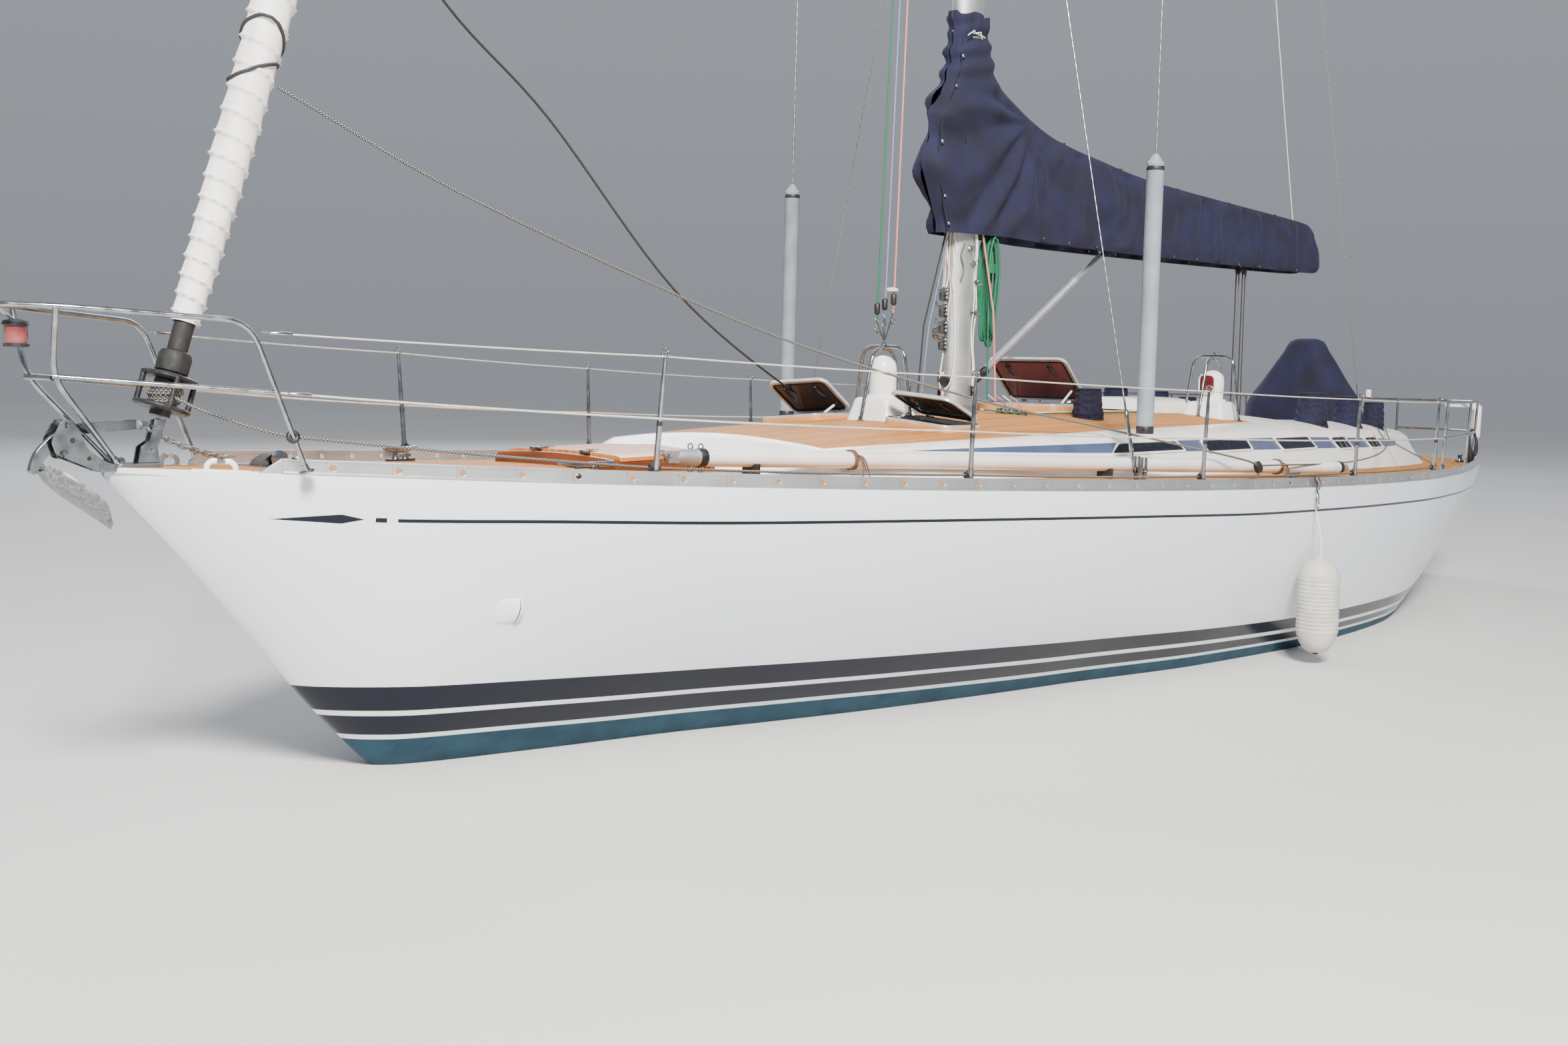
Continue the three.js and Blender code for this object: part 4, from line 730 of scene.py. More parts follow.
# Mesh making
class Shape:
    """Points and faces of one piece, each face with its finish and its laid-out place in metres."""

    def __init__(self):
        self.points = []
        self.faces = []
        self.looks = []
        self.places = []

    def face(self, corners, look, place=None):
        self.faces.append(corners)
        self.looks.append(look)
        self.places.append(place or [(0.0, 0.0)] * len(corners))

    def skin(self, rows, look, around=False, loop=False, ends=False, turns=False):
        """Surface through rows of points; turns lays the first direction out from 0 to 1."""
        first = len(self.points)
        count = len(rows[0])
        for row in rows:
            self.points.extend(Vector(p) for p in row)
        points = self.points
        along = [0.0]
        middle = count // 2
        ring = list(rows) + ([rows[0]] if loop else [])
        for before, after in zip(ring, ring[1:]):
            along.append(along[-1] + (Vector(after[middle]) - Vector(before[middle])).length)
        across = [0.0]
        wide = max(rows, key=lambda row: (Vector(row[0]) - Vector(row[middle])).length)
        for k in range(count):
            across.append(across[-1] + (Vector(wide[(k + 1) % count]) - Vector(wide[k])).length)
        if turns:
            across = [k / count for k in range(count + 1)]
        for i in range(len(ring) - 1):
            j = (i + 1) % len(rows)
            for k in range(count if around else count - 1):
                m = (k + 1) % count
                corners = [
                    first + i * count + k, first + i * count + m, first + j * count + m,
                    first + j * count + k,
                ]
                place = [
                    (across[k], along[i]), (across[k + 1], along[i]), (across[k + 1], along[i + 1]),
                    (across[k], along[i + 1]),
                ]
                self.face(corners, look, place)
        if ends:
            last = first + (len(rows) - 1) * count
            for offset in (first, last):
                corners = list(range(offset, offset + count))
                self.face(corners, look, [(points[c].y, points[c].x) for c in corners])
        return self

    def tube(self, path, radius, look, sides=10, loop=False, ends=True):
        """Round bar along a path; radius is one number or one for each point."""
        path = [Vector(p) for p in path]
        radii = list(radius) if isinstance(radius, (list, tuple)) else [radius] * len(path)
        count = len(path)
        normal = None
        rows = []
        for i, here in enumerate(path):
            before = path[i - 1] if i or loop else here
            after = path[(i + 1) % count] if i < count - 1 or loop else here
            along = (after - before).normalized()
            if normal is None:
                side = UP if abs(along.z) < 0.9 else Vector((1, 0, 0))
                normal = along.cross(side).normalized()
            normal = (normal - along * normal.dot(along)).normalized()
            other = along.cross(normal)
            turn = [2 * math.pi * k / sides for k in range(sides)]
            rows.append([here + (normal * math.cos(t) + other * math.sin(t)) * radii[i] for t in turn])
        return self.skin(rows, look, around=True, loop=loop, ends=ends and not loop, turns=True)

    def turned(self, profile, place, look, sides=24, axis=UP):
        """Body of revolution from radius and height pairs along an axis."""
        axis = Vector(axis).normalized()
        side = axis.orthogonal().normalized() if abs(axis.z) < 0.999 else Vector((1, 0, 0))
        other = axis.cross(side)
        rows = []
        for radius, height in profile:
            centre = Vector(place) + axis * height
            turn = [2 * math.pi * k / sides for k in range(sides)]
            rows.append([
                centre + (side * math.cos(t) + other * math.sin(t)) * max(radius, 0.0001)
                for t in turn
            ])
        return self.skin(rows, look, around=True, ends=True)

    def block(self, low, high, look, turn=None, about=None):
        """Rectangular body, turned by a matrix about a point where one is given."""
        corners = [Vector((x, y, z)) for z in (low[2], high[2]) for x, y in (
            (low[0], low[1]), (high[0], low[1]), (high[0], high[1]), (low[0], high[1]))]
        if turn is not None:
            corners = [Vector(about) + turn @ (c - Vector(about)) for c in corners]
        return self.skin([corners[:4], corners[4:]], look, around=True, ends=True)

    def slab(self, outline, thick, look):
        """Flat body: an outline of points and the vector through its thickness."""
        other = [Vector(p) + Vector(thick) for p in outline]
        return self.skin([[Vector(p) for p in outline], other], look, around=True, ends=True)


def assemble(name, body, shape, stands_for=(), sharp=35, soften=0.0, outward=True, merge=0.0):
    """Makes the Blender piece of a shape and seats it on its body of the frame."""
    mesh = bpy.data.meshes.new(name)
    mesh.from_pydata([tuple(p) for p in shape.points], [], shape.faces)
    looks = list(dict.fromkeys(shape.looks))
    for look in looks:
        mesh.materials.append(look)
    order = {look: n for n, look in enumerate(looks)}
    mesh.polygons.foreach_set("material_index", [order[look] for look in shape.looks])
    layer = mesh.uv_layers.new(name="laid")
    layer.data.foreach_set("uv", [v for place in shape.places for corner in place for v in corner])
    if outward or merge:
        work = bmesh.new()
        work.from_mesh(mesh)
        if merge:
            bmesh.ops.remove_doubles(work, verts=work.verts, dist=merge)
        if outward:
            bmesh.ops.recalc_face_normals(work, faces=work.faces)
        work.to_mesh(mesh)
        work.free()
    mesh.update()
    mesh.shade_smooth()
    mesh.set_sharp_from_angle(angle=math.radians(sharp))
    piece = bpy.data.objects.new(name, mesh)
    bpy.context.collection.objects.link(piece)
    if soften:
        edge = piece.modifiers.new("softened_edges", "BEVEL")
        edge.width = soften
        edge.segments = 2
        edge.limit_method = "ANGLE"
        edge.angle_limit = math.radians(38)
        edge.use_clamp_overlap = True
    if body:
        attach(piece, body)
    if stands_for:
        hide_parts(*stands_for)
    return piece


def rounded(points, radius, steps=5):
    """Path with each corner rounded off."""
    points = [Vector(p) for p in points]
    path = [points[0]]
    for before, here, after in zip(points, points[1:], points[2:]):
        reach = min(radius, (here - before).length * 0.45, (after - here).length * 0.45)
        first = here + (before - here).normalized() * reach
        last = here + (after - here).normalized() * reach
        for i in range(steps + 1):
            t = i / steps
            path.append(first * (1 - t) ** 2 + here * (2 * t * (1 - t)) + last * t ** 2)
    path.append(points[-1])
    return path


def flowing(points, steps=6, loop=False):
    """Smooth path through every point."""
    points = [Vector(p) for p in points]
    count = len(points)
    path = []
    for i in range(count if loop else count - 1):
        b, c = points[i], points[(i + 1) % count]
        a = points[i - 1] if loop or i else b * 2 - c
        d = points[(i + 2) % count] if loop or i < count - 2 else c * 2 - b
        for k in range(steps):
            t = k / steps
            path.append(
                0.5
                * (2 * b + (c - a) * t + (2 * a - 5 * b + 4 * c - d) * t * t + (3 * b - a - 3 * c + d) * t ** 3)
            )
    if not loop:
        path.append(points[-1])
    return path


def hanging(first, last, sag, steps=16):
    """Rope between two points with a given sag at its middle."""
    first, last = Vector(first), Vector(last)
    return [
        first.lerp(last, k / steps) - UP * (4 * sag * (k / steps) * (1 - k / steps))
        for k in range(steps + 1)
    ]


def circle(centre, radius, axis, count=24, begin=0.0, share=1.0, squeeze=1.0):
    """Points round a circle or an arc of it, in the plane across an axis."""
    axis = Vector(axis).normalized()
    side = Vector((1, 0, 0)) if abs(axis.z) > 0.9 else UP.cross(axis).normalized()
    other = axis.cross(side)
    steps = count if share < 1 else count - 1
    turn = [
        begin + 2 * math.pi * share * k / max(steps, 1) * (1 if share < 1 else (count - 1) / count)
        for k in range(steps + 1)
    ]
    return [
        Vector(centre) + side * (radius * math.cos(t)) + other * (radius * squeeze * math.sin(t))
        for t in turn
    ]


def curve_of(rows, column):
    """Smooth function through one column of a table whose first column falls from bow to stern."""
    table = sorted(rows)
    xs = [row[0] for row in table]
    ys = [row[column] for row in table]
    slopes = [(ys[i + 1] - ys[i]) / (xs[i + 1] - xs[i]) for i in range(len(xs) - 1)]
    bends = [slopes[0]]
    for a, b in zip(slopes, slopes[1:]):
        bends.append(0.0 if a * b <= 0 else 2 * a * b / (a + b))
    bends.append(slopes[-1])

    def value(x):
        x = min(max(x, xs[0]), xs[-1])
        i = 0
        while i < len(xs) - 2 and x > xs[i + 1]:
            i += 1
        span = xs[i + 1] - xs[i]
        t = (x - xs[i]) / span
        level = ys[i] * (1 + 2 * t) * (1 - t) ** 2 + ys[i + 1] * t * t * (3 - 2 * t)
        return level + span * (bends[i] * t * (1 - t) ** 2 + bends[i + 1] * t * t * (t - 1))

    return value


# Hull sections: x, half beam at the sheer, keel line height, fineness
HULL = [
    (7.18, 0.03, 1.535, 0.9), (6.9, 0.192, 1.23, 0.8), (6.46, 0.421, 0.707, 0.72),
    (6.1, 0.612, 0.279, 0.72), (5.74, 0.795, -0.045, 0.74), (5.03, 1.086, -0.225, 0.76),
    (4.31, 1.331, -0.345, 0.76), (3.59, 1.544, -0.48, 0.72), (2.87, 1.726, -0.57, 0.66),
    (1.44, 2.011, -0.7, 0.585), (0, 2.169, -0.75, 0.4), (-1.44, 2.195, -0.73, 0.262),
    (-2.87, 2.145, -0.625, 0.214), (-4.31, 1.947, -0.4, 0.28), (-5.03, 1.8, -0.262, 0.41),
    (-5.74, 1.626, -0.12, 0.46), (-6.46, 1.434, 0.025, 0.47), (-7.18, 1.219, 0.215, 0.47),
    (-7.42, 1.138, 0.275, 0.47),
]
# Coachroof sections: x, crown height, teak edge half width and height, roof edge half width and height,
# half width at the side deck
ROOF = [
    (3.35, 1.655, 0.86, 1.6, 0.93, 1.585, 1.06), (2.6, 1.695, 0.98, 1.625, 1.06, 1.6, 1.2),
    (1.2, 1.745, 1.08, 1.655, 1.17, 1.625, 1.32), (0, 1.77, 1.08, 1.675, 1.21, 1.632, 1.38),
    (-1.4, 1.77, 1.0, 1.685, 1.22, 1.63, 1.4), (-2.6, 1.75, 0.9, 1.69, 1.2, 1.62, 1.4),
    (-4.4, 1.69, 0.9, 1.655, 1.13, 1.59, 1.33), (-5.6, 1.6, 0.86, 1.57, 1.01, 1.5, 1.18),
]
# Boot stripes along the waterline: x, then the heights of the navy band's top and foot, the second band's
# top and foot, and the antifouling's top
BOOT = [
    (7.2, 0.5, 0.36, 0.33, 0.215, 0.185), (6.2, 0.478, 0.342, 0.312, 0.2, 0.171),
    (5.45, 0.461, 0.329, 0.301, 0.191, 0.164), (4.55, 0.434, 0.304, 0.276, 0.17, 0.143),
    (3.42, 0.403, 0.28, 0.251, 0.156, 0.129), (2.68, 0.383, 0.264, 0.236, 0.143, 0.116),
    (1.55, 0.346, 0.237, 0.206, 0.124, 0.096), (0.22, 0.309, 0.213, 0.184, 0.112, 0.088),
    (-0.62, 0.283, 0.194, 0.164, 0.103, 0.08), (-2.45, 0.258, 0.166, 0.138, 0.087, 0.064),
    (-4.0, 0.25, 0.158, 0.13, 0.08, 0.058), (-7.4, 0.275, 0.178, 0.148, 0.095, 0.07),
]
# Cove line: x and height
COVE = [
    (6.576, 1.337), (6.29, 1.333), (6.066, 1.321), (5.486, 1.304), (4.468, 1.265), (3.222, 1.231),
    (1.593, 1.184), (0.076, 1.134), (-0.816, 1.113), (-1.753, 1.094), (-2.529, 1.08), (-4.2, 1.052),
    (-5.943, 1.013), (-7.2, 0.985),
]
half_beam = curve_of(HULL, 1)
keel_line = curve_of(HULL, 2)
fineness = curve_of(HULL, 3)
roof_line = [curve_of(ROOF, column) for column in range(1, 7)]
boot_line = [curve_of(BOOT, column) for column in range(1, 6)]
cove_line = curve_of(COVE, 1)


def sheer(x):
    s = (7.18 - x) / 14.36
    return (1 - s) * (1 - 2 * s) * 1.563 + 4 * s * (1 - s) * 1.288 + s * (2 * s - 1) * 1.198


def deck_height(x, y):
    beam = half_beam(x)
    share = min(abs(y) / beam, 1)
    return sheer(x) + 0.015 + 0.035 * beam * (1 - share * share)


def stern_x(y, z):
    return -7.18 + 0.18 * (y / 1.219) ** 2 + 0.2 * (1.198 - z)


def hull_point(x, share):
    low, high = keel_line(x), sheer(x) + 0.015
    y = half_beam(x) * (1 - (1 - share) ** 1.6) ** fineness(x)
    return Vector((x, y, low + (high - low) * share))


def topside_y(x, z):
    """Half width of the hull at a height."""
    low, high = keel_line(x), sheer(x) + 0.015
    share = min(max((z - low) / (high - low), 0), 1)
    return half_beam(x) * (1 - (1 - share) ** 1.6) ** fineness(x)


def store(mesh, name, values):
    """Three numbers kept at each point of a mesh for its finish."""
    mesh.attributes.new(name, "FLOAT_VECTOR", "POINT").data.foreach_set("vector", values)


def make_hull():
    rows = 46
    shares = [(i / rows) ** 1.25 for i in range(rows + 1)]
    ahead = [7.18, 7.15, 7.1, 7.05] + [7.0 - 0.07 * i for i in range(192)]
    turning = ahead[-1]
    steps = 12
    lines = []
    for share in shares:
        end = -7.1
        for _ in range(12):
            p = hull_point(end, share)
            end = stern_x(p.y, p.z)
        stations = ahead + [turning + (end - turning) * k / steps for k in range(1, steps + 1)]
        lines.append([hull_point(x, share) for x in stations])
    shape = Shape()
    port = [list(column) for column in zip(*lines)]
    grid = [[Vector((p.x, -p.y, p.z)) for p in reversed(column[1:])] + column for column in port]
    shape.skin(grid, PAINT)
    shape.face(list(range(2 * rows + 1)), PAINT)
    transom = []
    for line in lines:
        edge = line[-1]
        across = [edge.y * (k / 12 - 1) for k in range(25)]
        transom.append([Vector((stern_x(y, edge.z), y, edge.z)) for y in across])
    shape.skin(transom, PAINT)
    hull = assemble("hull_topsides", YACHT, shape, ("hull_shell",), sharp=50, merge=0.0004)
    upper, lower = [], []
    for v in hull.data.vertices:
        x = v.co.x
        upper.extend((boot_line[0](x), boot_line[1](x), boot_line[2](x)))
        lower.extend((boot_line[3](x), boot_line[4](x), cove_line(x)))
    store(hull.data, "boot_upper", upper)
    store(hull.data, "boot_lower", lower)


make_hull()

# Deck zones from the centreline outwards
ROOF_ZONE, WALL_ZONE, SIDE_ZONE, EDGE_ZONE = 0, 2, 3, 4
ZONE_STEPS = (16, 5, 7, 10, 2)


def raised_share(x):
    if x > 3.35:
        return max((3.75 - x) / 0.4, 0.0)
    if x < -5.6:
        return max((x + 6.05) / 0.45, 0.0)
    return 1.0


def deck_half(x):
    """Half of the deck's section at x: points from the centreline out to the hull's edge."""
    beam = half_beam(x)
    share = raised_share(x)
    crown, teak, teak_z, edge, edge_z, foot = [line(x) for line in roof_line]
    base = 0.6 * beam
    margin = max(beam - 0.08, 0.8 * beam)
    foot_z = deck_height(x, foot)

    def mixed(y_flush, y_raised, z_raised):
        z_flush = deck_height(x, y_flush)
        return (y_flush + (y_raised - y_flush) * share, z_flush + (z_raised - z_flush) * share)

    points = []
    for k in range(ZONE_STEPS[0]):
        s = k / ZONE_STEPS[0]
        points.append(mixed(0.8 * base * s, teak * s, crown - (crown - teak_z) * s ** 1.89))
    bend = (teak + 0.62 * (edge - teak), teak_z - 0.2 * (teak_z - edge_z))
    for k in range(ZONE_STEPS[1]):
        t = k / ZONE_STEPS[1]
        y = teak * (1 - t) ** 2 + bend[0] * 2 * t * (1 - t) + edge * t * t
        z = teak_z * (1 - t) ** 2 + bend[1] * 2 * t * (1 - t) + edge_z * t * t
        points.append(mixed(base * (0.8 + 0.1 * t), y, z))
    for k in range(ZONE_STEPS[2]):
        t = k / ZONE_STEPS[2]
        points.append(
            mixed(
                base * (0.9 + 0.1 * t), edge + (foot - edge) * t ** 1.15,
                edge_z + (foot_z - edge_z) * t ** 0.92
            )
        )
    start = base + (foot - base) * share
    for k in range(ZONE_STEPS[3]):
        y = start + (margin - start) * k / ZONE_STEPS[3]
        points.append((y, deck_height(x, y)))
    for k in range(ZONE_STEPS[4] + 1):
        y = margin + (beam - 0.0015 - margin) * k / ZONE_STEPS[4]
        points.append((y, deck_height(x, y) + 0.0005))
    return points


ZONES = [zone for zone, steps in enumerate(ZONE_STEPS) for _ in range(steps)]


def deck_z(x, y):
    """Height of the deck or coachroof under a fitting."""
    points = deck_half(x)
    y = abs(y)
    for (y0, z0), (y1, z1) in zip(points, points[1:]):
        if y0 <= y <= y1:
            return z0 + (z1 - z0) * (y - y0) / max(y1 - y0, 1e-6)
    return points[-1][1]


# Band painted along the coachroof's side: x, top and foot
BAND = [
    (2.75, 1.583, 1.583), (2.2, 1.588, 1.566), (1.4, 1.59, 1.542), (0.65, 1.59, 1.522), (-1.0, 1.584, 1.497),
    (-2.6, 1.566, 1.472), (-4.4, 1.518, 1.44), (-4.9, 1.497, 1.436), (-5.06, 1.489, 1.489),
]
band_top = curve_of(BAND, 1)
band_foot = curve_of(BAND, 2)

COCKPIT = (-5.95, -2.95, -0.82, 0.82)
COMPANIONWAY = (-2.951, -2.25, -0.31, 0.31)
FORE_HATCH_HOLE = (3.895, 4.575, -0.44, 0.44)
# Alloy hatches: hinge x, middle y, length, width, top of the frame, angle when open
HATCHES = {
    "port": (1.6, 0.56, 0.41, 0.52, 1.738, 22),
    "starboard": (1.6, -0.56, 0.41, 0.52, 1.738, 34),
    "saloon": (-0.52, 0.0, 0.5, 0.72, 1.832, 42),
}


def hatch_hole(name):
    hinge, y, length, width, _, _ = HATCHES[name]
    half = width / 2 - 0.028
    return (hinge + 0.028, hinge + length - 0.028, y - half, y + half)


def cut_hole(work, hole):
    """Cuts a rectangular hole through the deck."""
    x0, x1, y0, y1 = hole
    near = [f for f in work.faces if any(
        x0 - 0.12 < v.co.x < x1 + 0.12 and y0 - 0.12 < v.co.y < y1 + 0.12 for v in f.verts)]
    for place, normal in (
        ((x0, 0, 0), (1, 0, 0)), ((x1, 0, 0), (1, 0, 0)), ((0, y0, 0), (0, 1, 0)), ((0, y1, 0), (0, 1, 0)),
    ):
        edges = {e for f in near for e in f.edges}
        verts = {v for f in near for v in f.verts}
        cut = bmesh.ops.bisect_plane(
            work, geom=list(near) + list(edges) + list(verts), plane_co=place, plane_no=normal, dist=1e-5)
        near = [g for g in cut["geom"] if isinstance(g, bmesh.types.BMFace)]
    gone = []
    for f in near:
        c = f.calc_center_median()
        if x0 < c.x < x1 and y0 < c.y < y1:
            gone.append(f)
    bmesh.ops.delete(work, geom=gone, context="FACES")


def make_deck():
    ahead = [7.15, 7.08, 7.0, 6.9] + [6.9 - 0.05 * i for i in range(1, 265)]
    turning = ahead[-1]
    steps = 12
    sections = [deck_half(x) for x in ahead]
    columns = []
    for k in range(len(sections[0])):
        column = [Vector((x, section[k][0], section[k][1])) for x, section in zip(ahead, sections)]
        end = -7.1
        for _ in range(5):
            y, z = deck_half(end)[k]
            end = stern_x(y, z)
        for step in range(1, steps + 1):
            x = turning + (end - turning) * step / steps
            y, z = deck_half(x)[k]
            column.append(Vector((x, y, z)))
        columns.append(column)
    shape = Shape()
    count = len(columns[0])
    for sign in (1, -1):
        first = len(shape.points)
        for column in columns:
            shape.points.extend(Vector((p.x, sign * p.y, p.z)) for p in column)
        for k, zone in enumerate(ZONES):
            for i in range(count - 1):
                corners = [
                    first + k * count + i, first + (k + 1) * count + i, first + (k + 1) * count + i + 1,
                    first + k * count + i + 1,
                ]
                middle = (shape.points[corners[0]] + shape.points[corners[2]]) / 2
                x = middle.x
                raised = raised_share(x) > 0
                if zone == EDGE_ZONE:
                    look = GELCOAT
                elif zone == SIDE_ZONE or not raised:
                    look = TEAK
                elif zone == WALL_ZONE:
                    look = BANDED
                elif zone == ROOF_ZONE and -2.25 < x < 3.3:
                    look = TEAK
                else:
                    look = GELCOAT
                place = []
                for c in corners:
                    p = shape.points[c]
                    across = abs(p.y) if zone <= WALL_ZONE and raised else half_beam(p.x) - abs(p.y)
                    place.append((p.x + 8, across + 0.0025))
                if sign < 0:
                    corners, place = corners[::-1], place[::-1]
                shape.face(corners, look, place)
    deck = assemble(
        "deck_and_coachroof", YACHT, shape,
        ("foredeck", "coachroof_forward", "coachroof_middle", "cockpit_deck"), sharp=32,
        merge=0.0004
    )
    work = bmesh.new()
    work.from_mesh(deck.data)
    if sum(f.normal.z for f in work.faces) < 0:
        bmesh.ops.reverse_faces(work, faces=work.faces)
    for hole in (COCKPIT, COMPANIONWAY, FORE_HATCH_HOLE, *[hatch_hole(name) for name in HATCHES]):
        cut_hole(work, hole)
    work.to_mesh(deck.data)
    work.free()
    band = []
    for v in deck.data.vertices:
        band.extend((band_top(v.co.x), band_foot(v.co.x), 0.0))
    store(deck.data, "roof_band", band)
    thick = deck.modifiers.new("deck_thickness", "SOLIDIFY")
    thick.thickness = 0.03
    thick.offset = -1


make_deck()


def wall_place(x, z, out=0.0, side=1):
    """Point on the coachroof's side at a height, held off it by a distance."""
    points = deck_half(x)
    first = ZONE_STEPS[0] + ZONE_STEPS[1]
    wall = points[first:first + ZONE_STEPS[2] + 1]
    for (y0, z0), (y1, z1) in zip(wall, wall[1:]):
        if z1 <= z <= z0 or (y1, z1) == wall[-1]:
            share = (z0 - z) / max(z0 - z1, 1e-6)
            y = y0 + (y1 - y0) * share
            lean = math.atan2(y1 - y0, z0 - z1)
            return Vector((x, side * (y + out * math.cos(lean)), z + out * math.sin(lean)))
    return Vector((x, side * wall[0][0], z))


# Side windows: forward end, aft end, slope of the ends, lower and upper edge
WINDOWS = [
    (0.65, -0.32, 0.09, 1.502, 1.594), (-0.69, -1.48, 0.04, 1.482, 1.59), (-1.98, -2.71, 0.09, 1.462, 1.58),
    (-3.18, -3.56, 0.09, 1.44, 1.56), (-4.02, -4.38, 0.09, 1.426, 1.54),
]


def window_outline(index, inset):
    fore, aft, slope, low, high = WINDOWS[index]
    fore_low = fore if index == 0 else fore - slope
    fore_high = fore - 1.6 * slope if index == 0 else fore
    corners = [(fore_low, low), (fore_high, high), (aft, high), (aft - slope, low)]
    middle = (sum(c[0] for c in corners) / 4, (low + high) / 2)
    corners = [
        (x - inset * (1 if x > middle[0] else -1), z - inset * (1 if z > middle[1] else -1))
        for x, z in corners
    ]
    flat = [Vector((x, 0, z)) for x, z in corners]
    outline = []
    for i in range(4):
        reach = 0.03 - inset * 0.3
        before = (flat[i - 1] - flat[i]).normalized() * reach
        after = (flat[(i + 1) % 4] - flat[i]).normalized() * reach
        for k in range(5):
            t = k / 4
            outline.append(
                (flat[i] + before) * (1 - t) ** 2 + flat[i] * (2 * t * (1 - t)) + (flat[i] + after) * t * t
            )
        for share in (0.25, 0.5, 0.75) if i in (1, 3) else (0.5,):
            outline.append((flat[i] + after).lerp(flat[(i + 1) % 4] - after.normalized() * reach, share))
    return outline


def make_windows():
    for side, label in ((1, "port"), (-1, "starboard")):
        shape = Shape()
        for index in range(len(WINDOWS)):
            rings = [(0.0, -0.004), (0.0, 0.009), (0.004, 0.012), (0.013, 0.012), (0.016, 0.003)]
            rows = [
                [wall_place(p.x, p.z, out, side) for p in window_outline(index, inset)]
                for inset, out in rings
            ]
            shape.skin(rows, GELCOAT, around=True)
            first = len(shape.points)
            # Pane: near-black, the tint together with painted shade of the cabin behind the glass
            glass = [wall_place(p.x, p.z, 0.0045, side) for p in window_outline(index, 0.014)]
            shape.points.extend(glass)
            centre = sum(glass, Vector()) / len(glass)
            shape.points.append(wall_place(centre.x, centre.z, 0.0055, side))
            for k in range(len(glass)):
                shape.face([first + k, first + (k + 1) % len(glass), first + len(glass)], GLASS)
            if index >= 3:
                fore, aft, slope, low, high = WINDOWS[index]
                for place in (0.35, 0.68):
                    x = fore + (aft - fore) * place
                    bar = [
                        wall_place(
                            x - slope * 0.5 * (1 - t / 4), low + 0.01 + (high - low - 0.02) * t / 4, 0.012,
                            side
                        )
                        for t in range(5)
                    ]
                    shape.tube(bar, 0.005, STEEL, 8)
        assemble(f"side_windows_{label}", YACHT, shape, (f"window_pane_{label}",), sharp=40)


make_windows()


# Cockpit seats, well and walls
def make_cockpit():
    shape = Shape()
    seats = [
        ((-4.65, 0.38, 0.8), (-2.99, 0.82, 1.262)), ((-5.75, 0.70, 0.8), (-4.65, 0.82, 1.262)),
        ((-5.90, 0.38, 0.8), (-5.75, 0.82, 1.262)),
    ]
    for low, high in seats:
        shape.block(low, high, GELCOAT)
        shape.block((low[0], -high[1], low[2]), (high[0], -low[1], high[2]), GELCOAT)
    shape.block((-5.95, -0.82, 0.8), (-5.90, 0.82, 1.262), GELCOAT)
    shape.block((-2.99, -0.82, 0.8), (-2.95, 0.82, 1.262), GELCOAT)
    shape.block((-5.9, -0.70, 0.79), (-2.99, 0.70, 0.818), GELCOAT)
    for side in (1, -1):
        for n in range(9):
            y = side * (0.405 + n * 0.047)
            shape.block((-4.63, min(y, y + side * 0.04), 1.262), (-3.0, max(y, y + side * 0.04), 1.27), TEAK)
    for n in range(15):
        y = -0.345 + n * 0.047
        shape.block((-5.72, y, 0.818), (-3.02, y + 0.04, 0.83), TEAK)
    for side in (1, -1):
        top = [
            Vector((x, side * 0.82, deck_z(x, 0.82) - 0.004))
            for x in [-2.95 - 0.25 * i for i in range(13)]
        ]
        inner = [[Vector((p.x, p.y, 1.26)) for p in top], top]
        outer = [[Vector((p.x, p.y + side * 0.03, p.z)) for p in row] for row in reversed(inner)]
        shape.skin(inner + outer, GELCOAT, around=False)
    for x, thick in ((-2.95, 0.03), (-5.95, -0.03)):
        for low, high in ((-0.82, -0.31), (0.31, 0.82)) if x > -4 else ((-0.82, 0.82),):
            across = [low + (high - low) * k / 8 for k in range(9)]
            top = [Vector((x, y, deck_z(x, y) - 0.004)) for y in across]
            rows = [
                [Vector((p.x, p.y, 1.26)) for p in top], top,
                [Vector((p.x + thick, p.y, p.z)) for p in top],
            ]
            shape.skin(rows, GELCOAT)
    shape.block((-2.98, -0.31, 1.2), (-2.92, 0.31, 1.35), GELCOAT)
    assemble("cockpit_lining", YACHT, shape, (), soften=0.006)
    # Cabin below the hatches: a wood floor, and walls coloured near-black brown as painted shade of the closed
    # cabin
    room = Shape()
    room.skin([[(-2.8, -1.15, 0.45), (3.5, -0.8, 0.45)], [(-2.8, 1.15, 0.45), (3.5, 0.8, 0.45)]], WOOD_LINER)
    for side in (1, -1):
        low = [(-2.8, side * 1.15, 0.45), (3.5, side * 0.8, 0.45)]
        room.skin([low, [(p[0], p[1], 1.36) for p in low]], CABIN_WALL_SHADE)
    assemble("cabin_lining", YACHT, room, ())


make_cockpit()
# Perforated alloy toe rail: a web with a round hole every 263 mm, a bright lip and a foot flange
RAIL_TOP = 0.085
RAIL_FORE, RAIL_AFT = 6.53, -6.99
RAIL_HOLES = [6.334 - 0.263 * n for n in range(51)]


def rail_place(x, height, inward, side=1):
    return Vector((x, side * (half_beam(x) - inward), sheer(x) + height))


def rail_bar(shape, low, high, inner, outer, look, side, fore=RAIL_FORE, aft=RAIL_AFT):
    """Long strip of rectangular section that follows the hull's edge."""
    count = int((fore - aft) / 0.09)
    rows = []
    for i in range(count + 1):
        x = fore + (aft - fore) * i / count
        rows.append([
            rail_place(x, h, o, side)
            for h, o in ((low, outer), (high, outer), (high, inner), (low, inner))
        ])
    shape.skin(rows, look, around=True, ends=True)


